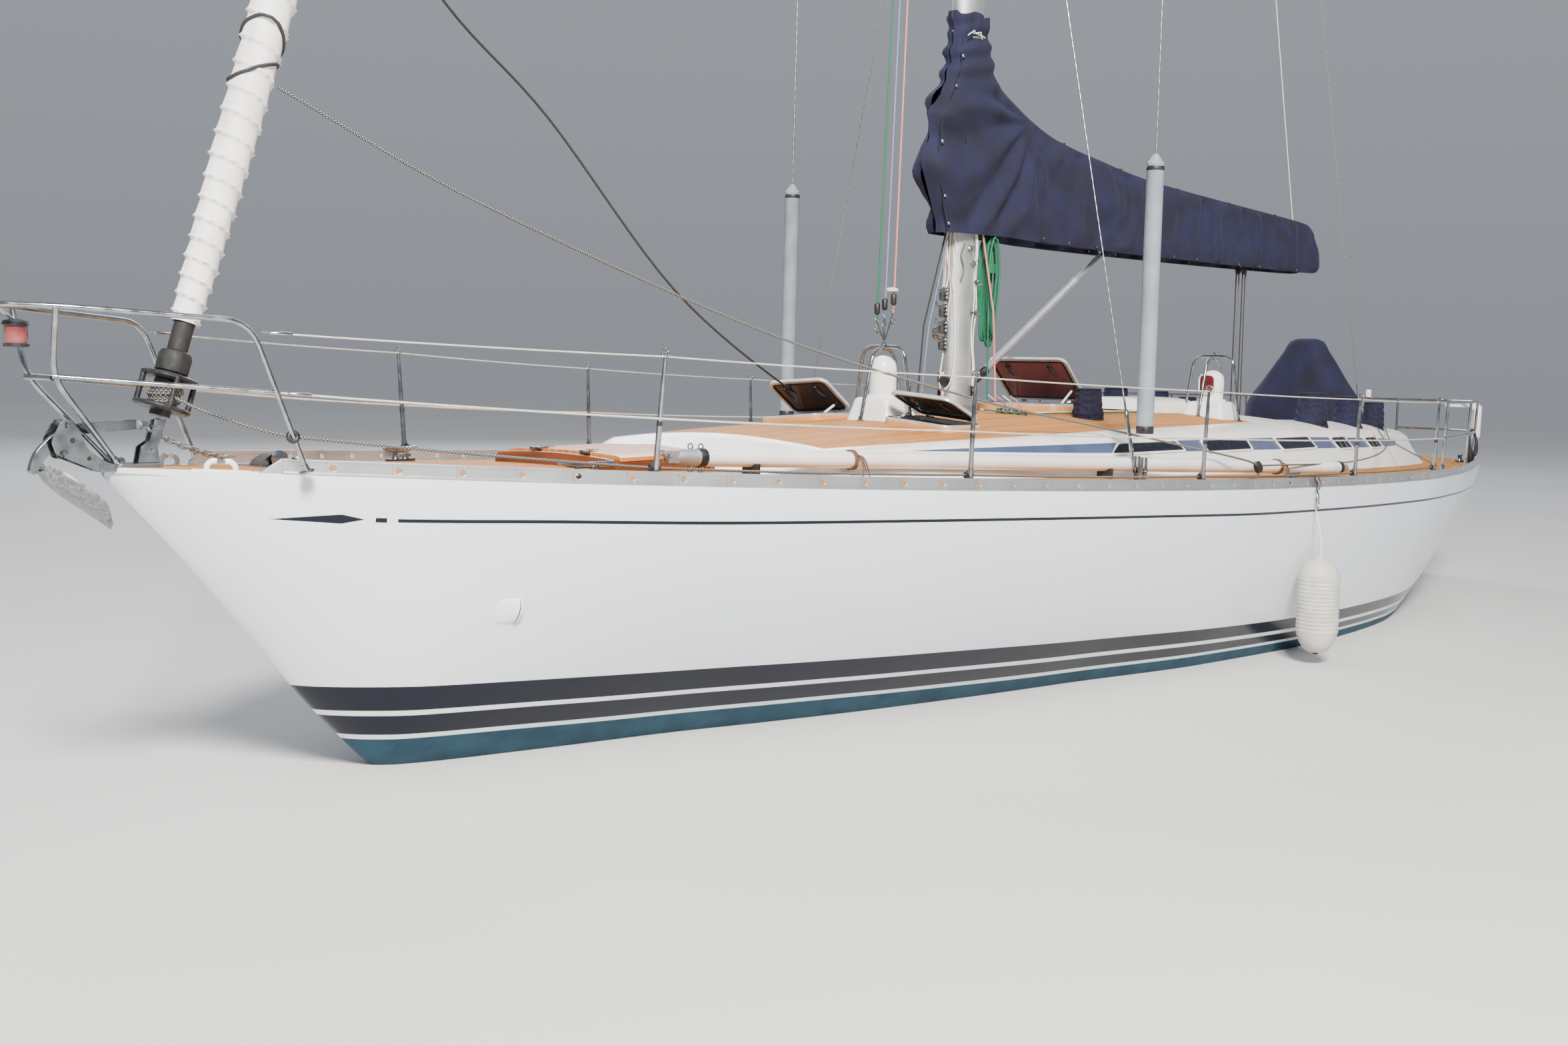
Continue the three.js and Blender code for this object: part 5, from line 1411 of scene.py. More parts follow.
def rail_web(shape, side):
    """Web of the rail, cut by its holes."""
    low, high, middle, radius = 0.024, 0.076, 0.05, 0.0145
    reach, sides = 0.026, 16
    turn = [2 * math.pi * (k + 0.5) / sides for k in range(sides)]

    def ring(x, size, square):
        points = []
        for t in turn:
            c, s = math.cos(t), math.sin(t)
            if square:
                grow = 1 / max(abs(c), abs(s))
                points.append((
                    x + reach * c * grow, middle + (high - middle if s > 0 else middle - low) * s * grow,
                ))
            else:
                points.append((x + size * c, middle + size * s))
        return points

    edges = [RAIL_FORE]
    for x in RAIL_HOLES:
        frame_ring, hole_ring = ring(x, 0, True), ring(x, radius, False)
        rows = []
        for points, inward in (
            (frame_ring, 0.004), (hole_ring, 0.004), (hole_ring, 0.009), (frame_ring, 0.009),
        ):
            rows.append([rail_place(px, h, inward, side) for px, h in points])
        shape.skin(rows, ALLOY, around=True)
        edges += [x + reach, x - reach]
    edges.append(RAIL_AFT)
    for fore, aft in zip(edges[::2], edges[1::2]):
        rail_bar(shape, low, high, 0.009, 0.004, ALLOY, side, fore, aft)


def make_toe_rails():
    for side, label in ((1, "port"), (-1, "starboard")):
        shape = Shape()
        rail_web(shape, side)
        rail_bar(shape, 0.074, RAIL_TOP, 0.019, 0.0, ALLOY, side)
        rail_bar(shape, 0.014, 0.026, 0.034, -0.002, ALLOY, side)
        nose = [(RAIL_FORE, RAIL_TOP), (RAIL_FORE, 0.014), (RAIL_FORE + 0.09, 0.014)]
        rows = [[rail_place(x, h, inward, side) for x, h in nose] for inward in (0.004, 0.016)]
        shape.skin(rows, ALLOY, around=True, ends=True)
        heel = [(RAIL_AFT, RAIL_TOP), (RAIL_AFT, 0.014), (RAIL_AFT - 0.05, 0.014)]
        rows = [[rail_place(x, h, inward, side) for x, h in heel] for inward in (0.004, 0.016)]
        shape.skin(rows, ALLOY, around=True, ends=True)
        assemble(f"toe_rail_{label}_holed", YACHT, shape, (f"toe_rail_{label}",), soften=0.0015)


make_toe_rails()

# Guard rails: stanchion places and the heights of the two wires
STANCHIONS = (4.857, 2.909, 0.802, -1.499, -3.55)
PUSHPIT_LEGS = (-3.95, -5.6, -6.78)
WIRE_HEIGHTS = (0.66, 0.35)
TUBE = 0.0125


def post_foot(x, side=1):
    return Vector((x, side * (half_beam(x) - 0.075), sheer(x) + 0.045))


def guard_at(x, height, side=1):
    """Place on the guard rail; the forward stanchions lean outwards."""
    lean = 0.045 * min(max((x - 3.0) / 1.8, 0), 1) * height / 0.66
    return Vector((x, side * (half_beam(x) - 0.055 + lean), sheer(x) + height))


def make_stanchion(shape, x, side):
    foot, top = post_foot(x, side), guard_at(x, 0.655, side)
    along = (top - foot).normalized()
    shape.tube(
        [foot, foot + along * 0.02, foot + along * 0.025, foot + along * 0.1],
        [0.036, 0.034, 0.019, 0.0175], STEEL, 16
    )
    shape.tube(
        [foot, foot.lerp(top, 0.35), foot.lerp(top, 0.8), top], [0.0145, 0.0145, 0.0115, 0.0085], STEEL, 14
    )
    eye = top + along * 0.02
    shape.tube(circle(eye, 0.022, (1, 0, 0), 20), 0.0055, STEEL, 8, loop=True)
    shape.tube([eye - Vector((0, 0.02, 0)), eye + Vector((0, 0.02, 0))], 0.004, STEEL, 8)
    collar = foot.lerp(top, 0.46)
    shape.tube([collar - along * 0.012, collar + along * 0.012], 0.0145, ACETAL, 12)
    lead = foot + along * 0.055 + Vector((0, -side * 0.012, 0))
    shape.tube([lead - Vector((0.028, 0, 0)), lead + Vector((0.028, 0, 0))], [0.02, 0.02], ACETAL, 12)
    shape.tube(circle(lead, 0.023, (0, 1, 0.1), 14), 0.008, ACETAL, 8, loop=True)


def make_guard_rails():
    for side, label in ((1, "port"), (-1, "starboard")):
        shape = Shape()
        for x in STANCHIONS:
            make_stanchion(shape, x, side)
        starts = (Vector((6.7, side * 0.51, 2.18)), Vector((6.61, side * 0.51, 1.915)))
        for height, start in zip(WIRE_HEIGHTS, starts):
            points = (
                [start] + [guard_at(x, height, side) for x in STANCHIONS] + [guard_at(-3.95, height, side)]
            )
            path = []
            for first, last in zip(points, points[1:]):
                path += hanging(first, last, 0.006, 6)[:-1]
            path.append(points[-1])
            shape.tube(path, 0.0042 if height > 0.5 else 0.0055, WIRE_COVER, 8)
            for end, inner in ((points[0], points[1]), (points[-1], points[-2])):
                along = (inner - end).normalized()
                shape.tube(
                    [end + along * s for s in (0.03, 0.035, 0.13, 0.135)], [0.004, 0.0085, 0.0085, 0.004],
                    STEEL, 12
                )
                shape.tube([end + along * 0.0, end + along * 0.035], 0.0045, STEEL, 8)
        assemble(f"guard_rail_{label}_wires", YACHT, shape, (f"guard_rail_{label}",), sharp=50)


make_guard_rails()


def make_pulpit():
    shape = Shape()
    for side in (1, -1):
        foot, bend = Vector((6.48, side * 0.5, 1.565)), Vector((6.75, side * 0.498, 2.228))
        front, low = Vector((7.46, side * 0.215, 2.268)), Vector((7.445, side * 0.13, 1.975))
        knee, step = Vector((6.622, side * 0.499, 1.915)), Vector((7.13, side * 0.03, 1.596))
        shape.tube(
            rounded([foot, bend, front, (7.64, side * 0.095, 2.27), (7.66, 0, 2.271)], 0.11), TUBE, STEEL,
            14
        )
        shape.tube([knee, low], TUBE * 0.9, STEEL, 14)
        shape.tube(rounded([front, low, step], 0.09), TUBE, STEEL, 14)
        for place, axis in ((foot, bend - foot), (step, low - step)):
            shape.turned(
                [(0.036, -0.006), (0.036, 0.002), (0.031, 0.006), (0.018, 0.008), (0.016, 0.03)], place,
                STEEL, 20, axis
            )
    shape.tube([(7.445, -0.13, 1.968), (7.445, 0.13, 1.968)], TUBE * 0.9, STEEL, 14)
    assemble("pulpit_rails", YACHT, shape, ("pulpit",), sharp=50)
    lamp = Shape()
    place = (7.535, 0, 2.105)
    lamp.turned([(0.036, -0.012), (0.05, -0.008), (0.052, 0.004), (0.046, 0.006)], place, ACETAL, 28)
    lamp.turned([(0.05, 0.078), (0.056, 0.084), (0.05, 0.1), (0.026, 0.108)], place, ACETAL, 28)
    for begin, look in ((0.0, RED_LENS), (math.pi, GREEN_LENS)):
        rows = []
        for radius, height in ((0.044, 0.005), (0.048, 0.02), (0.048, 0.065), (0.044, 0.079)):
            turn = [begin + math.pi * k / 12 for k in range(13)]
            rows.append([
                Vector((place[0] + radius * math.cos(t), radius * math.sin(t), place[2] + height))
                for t in turn
            ])
        lamp.skin(rows, look)
    lamp.tube([(7.535, 0, 2.205), (7.6, 0, 2.25), (7.645, 0, 2.268)], 0.006, STEEL, 8)
    assemble("bow_lamp", YACHT, lamp, sharp=40)


make_pulpit()


def make_pushpit():
    shape = Shape()
    for side in (1, -1):
        for x in PUSHPIT_LEGS:
            foot, top = post_foot(x, side), guard_at(x, 0.66, side)
            shape.tube([foot, top], TUBE, STEEL, 14)
            shape.turned(
                [(0.034, -0.004), (0.034, 0.004), (0.019, 0.01), (0.017, 0.07)], foot, STEEL, 18, top - foot
            )
        for height in WIRE_HEIGHTS:
            points = [guard_at(x, height, side) for x in PUSHPIT_LEGS]
            points += [
                Vector((-7.06, side * 0.86, sheer(-7.06) + height)),
                Vector((-7.12, side * 0.33, sheer(-7.1) + height)),
            ]
            shape.tube(rounded(points, 0.16), TUBE, STEEL, 14)
        foot = Vector((-7.12, side * 0.33, 1.222))
        shape.tube([foot, (-7.12, side * 0.33, sheer(-7.1) + 0.66)], TUBE, STEEL, 14)
        shape.turned([(0.034, -0.004), (0.034, 0.004), (0.019, 0.01), (0.017, 0.05)], foot, STEEL, 18)
    across = [(-7.12, side * 0.33, sheer(-7.1) + 0.66) for side in (-1, 1)]
    shape.tube(across, TUBE, STEEL, 14)
    shape.turned(
        [(0.028, 0.0), (0.03, 0.01), (0.03, 0.07), (0.022, 0.084)], (-7.12, 0, sheer(-7.1) + 0.672),
        GELCOAT, 20
    )
    assemble("pushpit_rails", YACHT, shape, ("pushpit",), sharp=50)
    gear = Shape()
    # Rescue line in its white bag, a coiled line and two blocks hung on the port side
    bag = guard_at(-6.95, 0.56, 1) + Vector((-0.02, -0.03, -0.12))
    gear.turned([(0.05, -0.17), (0.062, -0.15), (0.064, 0.16), (0.05, 0.18)], bag, POLE_PAINT, 20)
    gear.block(bag + Vector((-0.06, -0.3, 0.155)), bag + Vector((0.03, 0.02, 0.2)), POLE_PAINT)
    for n in range(5):
        turn = circle(
            guard_at(-6.7, 0.2, 1) + Vector((0, 0.004 * n - 0.03, 0.01 * n)), 0.085, (0.1, 1, 0.05 * n), 20,
            squeeze=1.6
        )
        gear.tube(turn, 0.007, BLACK_ROPE, 8, loop=True)
    for x, height in ((-6.55, 0.1), (-6.85, 0.12), (-6.7, 0.06)):
        gear.turned(
            [(0.03, -0.02), (0.042, -0.014), (0.042, 0.014), (0.03, 0.02)],
            guard_at(x, height, 1) + Vector((0, -0.05, 0)), ACETAL, 18, (0.2, 1, 0.2)
        )
    assemble("pushpit_gear", YACHT, gear, sharp=45)


make_pushpit()
# Stem fitting with its two cheeks, the bow roller, the anchor and its chain
STAY_BASE, STAY_HEAD = Vector((6.977, 0, 1.604)), Vector((0.77, 0, 21.7))
stay_way = (STAY_HEAD - STAY_BASE).normalized()


def on_stay(z):
    return STAY_BASE + stay_way * ((z - STAY_BASE.z) / stay_way.z)


def make_stem_fitting():
    shape = Shape()
    shape.block((6.93, -0.052, 1.56), (7.215, 0.052, 1.592), STEEL)
    cheek = [
        (7.12, 1.585), (7.215, 1.562), (7.4, 1.64), (7.42, 1.7), (7.372, 1.79), (7.33, 1.79), (7.262, 1.66),
        (7.18, 1.6),
    ]
    outline = rounded([(x, 0, z) for x, z in cheek + cheek[:1]], 0.018, 3)[:-1]
    for side in (-1, 1):
        places = [Vector((p.x, side * 0.04, p.z)) for p in outline]
        shape.slab(places, (0, side * 0.008, 0), STEEL)
        # Black discs on the cheeks' outer faces stand for holes through them: painted shade of the holes
        for x, z, radius in ((7.352, 1.765, 0.009), (7.33, 1.7, 0.012), (7.26, 1.62, 0.01)):
            shape.turned([(radius, 0), (radius, 0.0006)], (x, side * 0.0482, z), RUBBER_AND_SHADE, 16, (0, side, 0))
        shape.turned(
            [(0.016, 0), (0.016, 0.008), (0.01, 0.012)], (7.368, side * 0.048, 1.6437), STEEL, 6,
            (0, side, 0)
        )
    shape.turned(
        [(0.024, -0.038), (0.024, -0.02), (0.012, 0), (0.024, 0.02), (0.024, 0.038)], (7.368, 0, 1.6437),
        ACETAL, 28, (0, 1, 0)
    )
    shape.tube([(7.352, -0.06, 1.765), (7.352, 0.06, 1.765)], 0.006, STEEL, 10)
    shape.tube([(7.352, 0.06, 1.752), (7.352, 0.06, 1.778)], 0.005, STEEL, 8)
    foot, top = on_stay(1.58), on_stay(1.79)
    shape.tube([foot, top], 0.014, STEEL, 16)
    for side in (-1, 1):
        ear = [(6.93, 1.59), (7.03, 1.59), (7.015, 1.665), (6.975, 1.69), (6.94, 1.66)]
        shape.slab([Vector((x, side * 0.018, z)) for x, z in ear], (0, side * 0.01, 0), STEEL)
        leaf = [
            on_stay(z) + Vector((out, side * 0.017, 0))
            for z, out in ((1.63, -0.022), (1.63, 0.022), (1.785, 0.026), (1.785, -0.026))
        ]
        shape.slab(leaf, (0, side * 0.008, 0), STEEL)
    shape.tube([on_stay(1.645) + Vector((0, y, 0)) for y in (-0.04, 0.04)], 0.009, STEEL, 12)
    shape.tube([on_stay(1.75) + Vector((0, y, 0)) for y in (-0.036, 0.036)], 0.009, STEEL, 12)
    assemble("stem_fitting_plates", YACHT, shape, ("stem_fitting",), soften=0.0015)


make_stem_fitting()


def make_anchor():
    shape = Shape()
    shank = [
        (7.01, 1.748), (7.3, 1.728), (7.43, 1.622), (7.47, 1.56), (7.5, 1.575), (7.455, 1.672),
        (7.31, 1.764), (7.01, 1.78),
    ]
    path = flowing([(x, 0, z) for x, z in shank], 4, loop=True)
    shape.slab([p + Vector((0, -0.014, 0)) for p in path], (0, 0.028, 0), STEEL)
    for out in (-0.017, 0.012):
        shape.slab(
            [Vector((x, out, z)) for x, z in ((7.03, 1.742), (7.3, 1.722), (7.3, 1.77), (7.03, 1.786))],
            (0, 0.005, 0), STEEL
        )
    shape.turned([(0.018, -0.016), (0.018, 0.016)], (7.02, 0, 1.764), ZINC, 16, (0, 1, 0))
    ridge = [
        Vector(p)
        for p in ((7.48, 0, 1.59), (7.42, 0, 1.51), (7.32, 0, 1.43), (7.23, 0, 1.37), (7.148, 0, 1.316))
    ]
    for side in (1, -1):
        edge = [
            Vector((p[0], side * p[1], p[2]))
            for p in (
                (7.44, 0.05, 1.585), (7.392, 0.128, 1.552), (7.32, 0.158, 1.49), (7.235, 0.14, 1.42),
                (7.15, 0.012, 1.32),
            )
        ]
        rows = []
        for t in (0, 0.25, 0.5, 0.75, 1):
            lift = UP * 0.018 * math.sin(math.pi * t)
            rows.append(flowing([a.lerp(b, t) - lift for a, b in zip(ridge, edge)], 4))
        back = [[p + Vector((-0.006, 0, 0.012)) for p in row] for row in reversed(rows)]
        shape.skin(rows + back, ZINC, around=False, loop=True)
    shape.tube([(7.455, 0, 1.6), (7.4, 0, 1.545), (7.3, 0, 1.462)], 0.013, ZINC, 12)
    assemble("plough_anchor", YACHT, shape, ("anchor",), sharp=32, soften=0.0015)
    chain = Shape()
    start, end = Vector((7.0, 0, 1.755)), Vector((6.56, 0.0, 1.60))
    links = 15
    for n in range(links):
        t = (n + 0.5) / links
        middle = start.lerp(end, t) - UP * 0.1 * t * (1 - t)
        along = (end - start - UP * 0.1 * (1 - 2 * t)).normalized()
        across = Vector((0, 1, 0)) if n % 2 else along.cross(Vector((0, 1, 0))).normalized()
        half = 0.0125
        link = [
            middle + along * (half + 0.011 * math.cos(a)) + across * 0.011 * math.sin(a)
            for a in [math.pi * (k / 6 - 0.5) for k in range(7)]
        ]
        link += [
            middle - along * (half + 0.011 * math.cos(a)) - across * 0.011 * math.sin(a)
            for a in [math.pi * (k / 6 - 0.5) for k in range(7)]
        ]
        chain.tube(link, 0.0045, ZINC, 8, loop=True)
    assemble("anchor_chain", YACHT, chain, sharp=60)


make_anchor()


def make_foredeck_gear():
    shape = Shape()
    # Low windlass: a folded steel plate with a chain wheel and a round cap, and the chain pipe's lid
    place = Vector((6.33, -0.02, deck_z(6.33, 0.02)))
    shape.block(place + Vector((-0.14, -0.11, -0.01)), place + Vector((0.14, 0.11, 0.008)), STEEL)
    hood = [
        [
            place + Vector((0.02 + u, side * 0.05, v))
            for u, v in (
                (-0.085, 0.006), (-0.06, 0.04), (-0.02, 0.062), (0.03, 0.058), (0.075, 0.03), (0.09, 0.006),
            )
        ]
        for side in (1, -1)
    ]
    shape.skin(hood, STEEL)
    for side in (1, -1):
        shape.face([len(shape.points) + k for k in range(6)], STEEL)
        shape.points.extend(hood[0 if side > 0 else 1])
    shape.turned(
        [(0.03, -0.01), (0.042, -0.006), (0.03, 0.0), (0.042, 0.006), (0.03, 0.012)],
        place + Vector((0.02, 0.075, 0.04)), STEEL, 28, (0, 1, 0)
    )
    shape.turned(
        [(0.045, 0.006), (0.047, 0.02), (0.03, 0.03), (0.03, 0.034), (0.036, 0.04), (0.012, 0.045)],
        place + Vector((-0.1, 0.04, 0)), STEEL, 30
    )
    assemble("windlass", YACHT, shape, sharp=35, soften=0.002)
    chocks = Shape()
    for side in (1, -1):
        low = rail_place(6.845, 0.006, 0.03, side)
        along = (rail_place(6.6, 0.006, 0.03, side) - low).normalized()
        chocks.tube([low - along * 0.02, low + along * 0.23], 0.018, GELCOAT, 14)
        for away, lean in ((0.045, 1), (0.165, -1)):
            here = low + along * away
            path = [
                here, here + UP * 0.035, here + UP * 0.055 + along * lean * 0.022,
                here + UP * 0.056 + along * lean * 0.042,
            ]
            chocks.tube(flowing(path, 4), 0.013, GELCOAT, 12)
    assemble("bow_chocks", YACHT, chocks, sharp=40)
    # White cowl of the topside vent near the bow, open aft; its mouth is closed by a black face that is painted
    # shade of the opening
    vent = Shape()
    for side in (1, -1):
        rows = []
        for k in range(9):
            t = k / 8
            x = 5.6 - 0.13 * t
            half, out = 0.066 * math.sin(math.pi * min(t + 0.12, 0.62) / 1.24), 0.034 * t
            arc = []
            for m in range(11):
                a = math.pi * m / 10
                z = 0.85 + half * math.cos(a)
                arc.append(Vector((x, side * (topside_y(x, z) - 0.002 + out * math.sin(a)), z)))
            rows.append(arc)
        vent.skin(rows, GELCOAT)
        x = rows[-1][0].x
        # Black face across the open mouth: painted shade inside the cowl
        mouth = [p + Vector((0.012, -side * 0.001, 0)) for p in rows[-1]]
        vent.face([len(vent.points) + k for k in range(len(mouth))], RUBBER_AND_SHADE)
        vent.points.extend(mouth)
    assemble("topside_vents", YACHT, vent, outward=False)


make_foredeck_gear()


# Horned cleats on black bases: bow cleats stand for their nodes, stern cleats are small copies
def make_cleat(shape, place, turn, size=1.0):
    place = Vector(place)
    about = Matrix.Rotation(turn, 3, "Z")

    def at(x, y, z):
        return place + about @ (Vector((x, y, z)) * size)

    shape.skin(
        [
            [at(x, y, z) for x, y in ((-0.1, -0.03), (0.1, -0.03), (0.1, 0.03), (-0.1, 0.03))]
            for z in (-0.008, 0.012)
        ],
        ACETAL, around=True, ends=True
    )
    for x in (-0.045, 0.045):
        shape.tube(
            [at(x, 0, 0.008), at(x, 0, 0.03), at(x * 0.9, 0, 0.06)],
            [0.024 * size, 0.016 * size, 0.018 * size], STEEL, 14
        )
    horn = [
        at(x, 0, 0.062 + 0.012 * (x / 0.155) ** 2)
        for x in (-0.155, -0.13, -0.09, -0.04, 0, 0.04, 0.09, 0.13, 0.155)
    ]
    shape.tube(
        horn, [r * size for r in (0.006, 0.011, 0.015, 0.017, 0.017, 0.017, 0.015, 0.011, 0.006)], STEEL, 14
    )


def make_cleats():
    for side, label in ((1, "port"), (-1, "starboard")):
        shape = Shape()
        make_cleat(shape, (5.08, side * 0.8, deck_z(5.08, 0.8) + 0.004), -side * 0.32)
        assemble(
            f'bow_cleat_{label}_horned', YACHT, shape, (f'bow_cleat_{label}',), sharp=50,
            soften=0.0015
        )
    aft = Shape()
    for x, y, turn in ((-6.6, 1.2, 0.16), (-6.6, -1.2, -0.16), (-0.7, 1.98, 0.0), (-0.7, -1.98, 0.0)):
        make_cleat(aft, (x, y, deck_z(x, y) + 0.008), turn, 0.9)
    assemble("stern_and_spring_cleats", YACHT, aft, sharp=50, soften=0.0015)


make_cleats()
# Mast: an oval alloy section with a luff groove, tapered above the upper spreaders
MAST_X, MAST_TOP, MAST_TAPER = 0.75, 21.65, 17.0
MAST_LONG, MAST_WIDE = 0.145, 0.095


def mast_scale(z):
    return 1 - 0.36 * max(z - MAST_TAPER, 0) / (MAST_TOP - MAST_TAPER)


def mast_face(z, turn, out=0.0):
    """Point on the mast's skin; turn 0 faces forward and 90 degrees faces port."""
    size = mast_scale(z)
    c, s = math.cos(math.radians(turn)), math.sin(math.radians(turn))
    middle = MAST_X - MAST_LONG * (1 - size)
    return Vector((middle + (MAST_LONG * size + out) * c, (MAST_WIDE * size + out) * s, z))


def make_mast():
    shape = Shape()
    foot = deck_z(MAST_X, 0) - 0.02
    rows = []
    heights = [foot, foot + 0.3] + [foot + 0.3 + 0.7 * i for i in range(1, 28)] + [21.42]
    for z in heights:
        size = mast_scale(z)
        middle = MAST_X - MAST_LONG * (1 - size)
        ring = []
        for k in range(44):
            t = 2 * math.pi * (k + 0.5) / 44
            ring.append(Vector((middle + MAST_LONG * size * math.cos(t), MAST_WIDE * size * math.sin(t), z)))
        rows.append(ring)
    shape.skin(rows, SPAR, around=True, ends=True)
    # Luff track standing off the aft face
    for side in (1, -1):
        strip = []
        for z in heights[1:]:
            aft = mast_face(z, 180)
            strip.append([
                aft + Vector((x, side * y, 0))
                for x, y in ((0.006, 0.004), (-0.02, 0.006), (-0.024, 0.014), (-0.018, 0.018), (0.008, 0.03))
            ])
        shape.skin(strip, SPAR, around=True, ends=True)
    # Masthead box with sheaves
    shape.slab(
        [
            (0.5, -0.045, 21.42), (0.96, -0.045, 21.42), (0.94, -0.045, 21.62), (0.6, -0.045, 21.65),
            (0.5, -0.045, 21.6),
        ],
        (0, 0.09, 0), SPAR
    )
    for x in (0.56, 0.9):
        shape.turned([(0.05, -0.05), (0.05, 0.05)], (x, 0, 21.52), ACETAL, 24, (0, 1, 0))
    # Collar where the mast meets the roof
    collar = deck_z(MAST_X, 0)
    rows = []
    for out, up in ((0.05, -0.02), (0.05, 0.018), (0.02, 0.026), (0.012, 0.06), (0.002, 0.062)):
        rows.append([mast_face(collar, 360 * k / 44, out) + UP * up for k in range(44)])
    shape.skin(rows, ALLOY, around=True)
    assemble("mast_tube", YACHT, shape, ("mast",), sharp=50)


make_mast()


def make_mast_gear():
    shape = Shape()
    # Rope clutches in a column on the forward starboard corner, with steel levers and rollers beside them
    for z in (2.27, 2.39, 2.51, 2.63):
        base = mast_face(z, -15, 0.002)
        out = Vector((0.85, -0.53, 0))
        along = UP.cross(out)
        ring = []
        for u, v in (
            (-0.021, -0.05), (0.021, -0.05), (0.024, 0.0), (0.021, 0.05), (-0.021, 0.05), (-0.024, 0),
        ):
            ring.append((u, v))
        rows = [
            [base + along * u * g + UP * v * g + out * o for u, v in ring]
            for o, g in ((0, 1), (0.034, 0.96), (0.044, 0.7))
        ]
        shape.skin(rows, ACETAL, around=True, ends=True)
        shape.tube(
            [
                base + out * 0.03 + UP * 0.01, base + out * 0.07 + UP * 0.035,
                base + out * 0.072 + UP * 0.062,
            ],
            [0.011, 0.009, 0.007], STEEL, 10
        )
        side = base + along * 0.036
        shape.block(side - Vector((0.004, 0.01, 0.045)), side + Vector((0.012, 0.008, 0.045)), STEEL)
        for v in (-0.028, 0.0, 0.028):
            shape.turned(
                [(0.009, 0), (0.009, 0.012), (0.004, 0.016)], side + Vector((0.01, 0, v)), STEEL, 12,
                (1, 0.2, 0)
            )
    for z, turn in ((2.86, 92), (2.72, 108), (2.5, 100), (2.96, 78)):
        base = mast_face(z, turn, 0.004)
        out = (base - Vector((MAST_X, 0, z))).normalized()
        shape.turned([(0.02, 0), (0.02, 0.012), (0.008, 0.02), (0.008, 0.03)], base, STEEL, 14, out)
        shape.tube(circle(base + out * 0.04, 0.018, out.cross(UP), 14), 0.0045, STEEL, 8, loop=True)
    for z, turn in ((2.0, 4), (1.93, 110), (2.02, -70), (1.95, 250)):
        base = mast_face(z, turn, 0.0)
        out = (base - Vector((MAST_X, 0, z))).normalized()
        side = UP.cross(out)
        shape.turned(
            [(0.04, -0.004), (0.042, 0.004), (0.03, 0.01), (0.03, 0.024), (0.042, 0.03), (0.04, 0.038)],
            base + out * 0.004, ACETAL, 22, out
        )
        shape.tube([base + out * 0.02 + side * 0.05, base + out * 0.02 - side * 0.05], 0.006, STEEL, 8)
    # Halyard winch at working height on the starboard side
    for side in (-1,):
        base = mast_face(2.35, 90 * side, -0.005)
        shape.turned(
            [
                (0.05, 0), (0.05, 0.03), (0.042, 0.04), (0.038, 0.075), (0.045, 0.1), (0.05, 0.108),
                (0.05, 0.12), (0.02, 0.126),
            ],
            base, STEEL, 26, (0, side, 0)
        )
    # Steaming and deck light, and the lower shrouds' tang plates
    shape.turned(
        [(0.05, -0.06), (0.056, -0.05), (0.056, 0.03), (0.03, 0.05)], mast_face(9.2, 0, 0.05), ACETAL, 18
    )
    for z in (8.08, 14.1, 21.38):
        for side in (1, -1):
            plate = mast_face(z, 90 * side, 0.0)
            shape.block(plate + Vector((-0.03, -0.006, -0.09)), plate + Vector((0.03, 0.006, 0.09)), STEEL)
    assemble("mast_gear", YACHT, shape, sharp=40)


make_mast_gear()

SPREADERS = ((8.3, 1.585), (14.3, 1.27))


def make_spreaders():
    for (z, half), name in zip(SPREADERS, ("lower", "upper")):
        shape = Shape()
        for side in (1, -1):
            rows = []
            for t in [k / 12 for k in range(13)]:
                y = side * (0.085 + (half - 0.085) * t)
                chord, thick = 0.082 - 0.042 * t, 0.021 - 0.009 * t
                ring = []
                for k in range(20):
                    a = 2 * math.pi * k / 20
                    ring.append(Vector((0.79 + chord * math.cos(a), y, z + 0.02 * t + thick * math.sin(a))))
                rows.append(ring)
            shape.skin(rows, SPAR, around=True, ends=True)
            tip = Vector((0.79, side * (half - 0.004), z + 0.02))
            shape.turned(
                [(0.018, -0.045), (0.034, -0.035), (0.038, 0.0), (0.03, 0.022), (0.012, 0.03)], tip,
                GELCOAT, 18, (0, side, 0)
            )
            root = Vector((0.79, side * 0.1, z))
            shape.turned([(0.05, -0.035), (0.05, 0.0), (0.036, 0.03)], root, SPAR, 22, (0, side, 0))
        assemble(f"spreader_bars_{name}", YACHT, shape, (f"spreaders_{name}",), sharp=45)


make_spreaders()


def make_turnbuckle(shape, foot, way, low, high):
    """Toggle, fork, open body and studs between two distances up a stay."""
    shape.tube([foot, foot + way * low], 0.008, STEEL, 10)
    profile = [
        (0.008, low), (0.015, low + 0.01), (0.0155, low + 0.05), (0.0125, low + 0.07),
        (0.0125, high - 0.07), (0.0155, high - 0.05), (0.015, high - 0.01), (0.007, high),
    ]
    shape.turned(profile, foot, STEEL, 16, way)
    shape.turned([(0.0075, high), (0.0075, high + 0.1), (0.0045, high + 0.12)], foot, STEEL, 12, way)


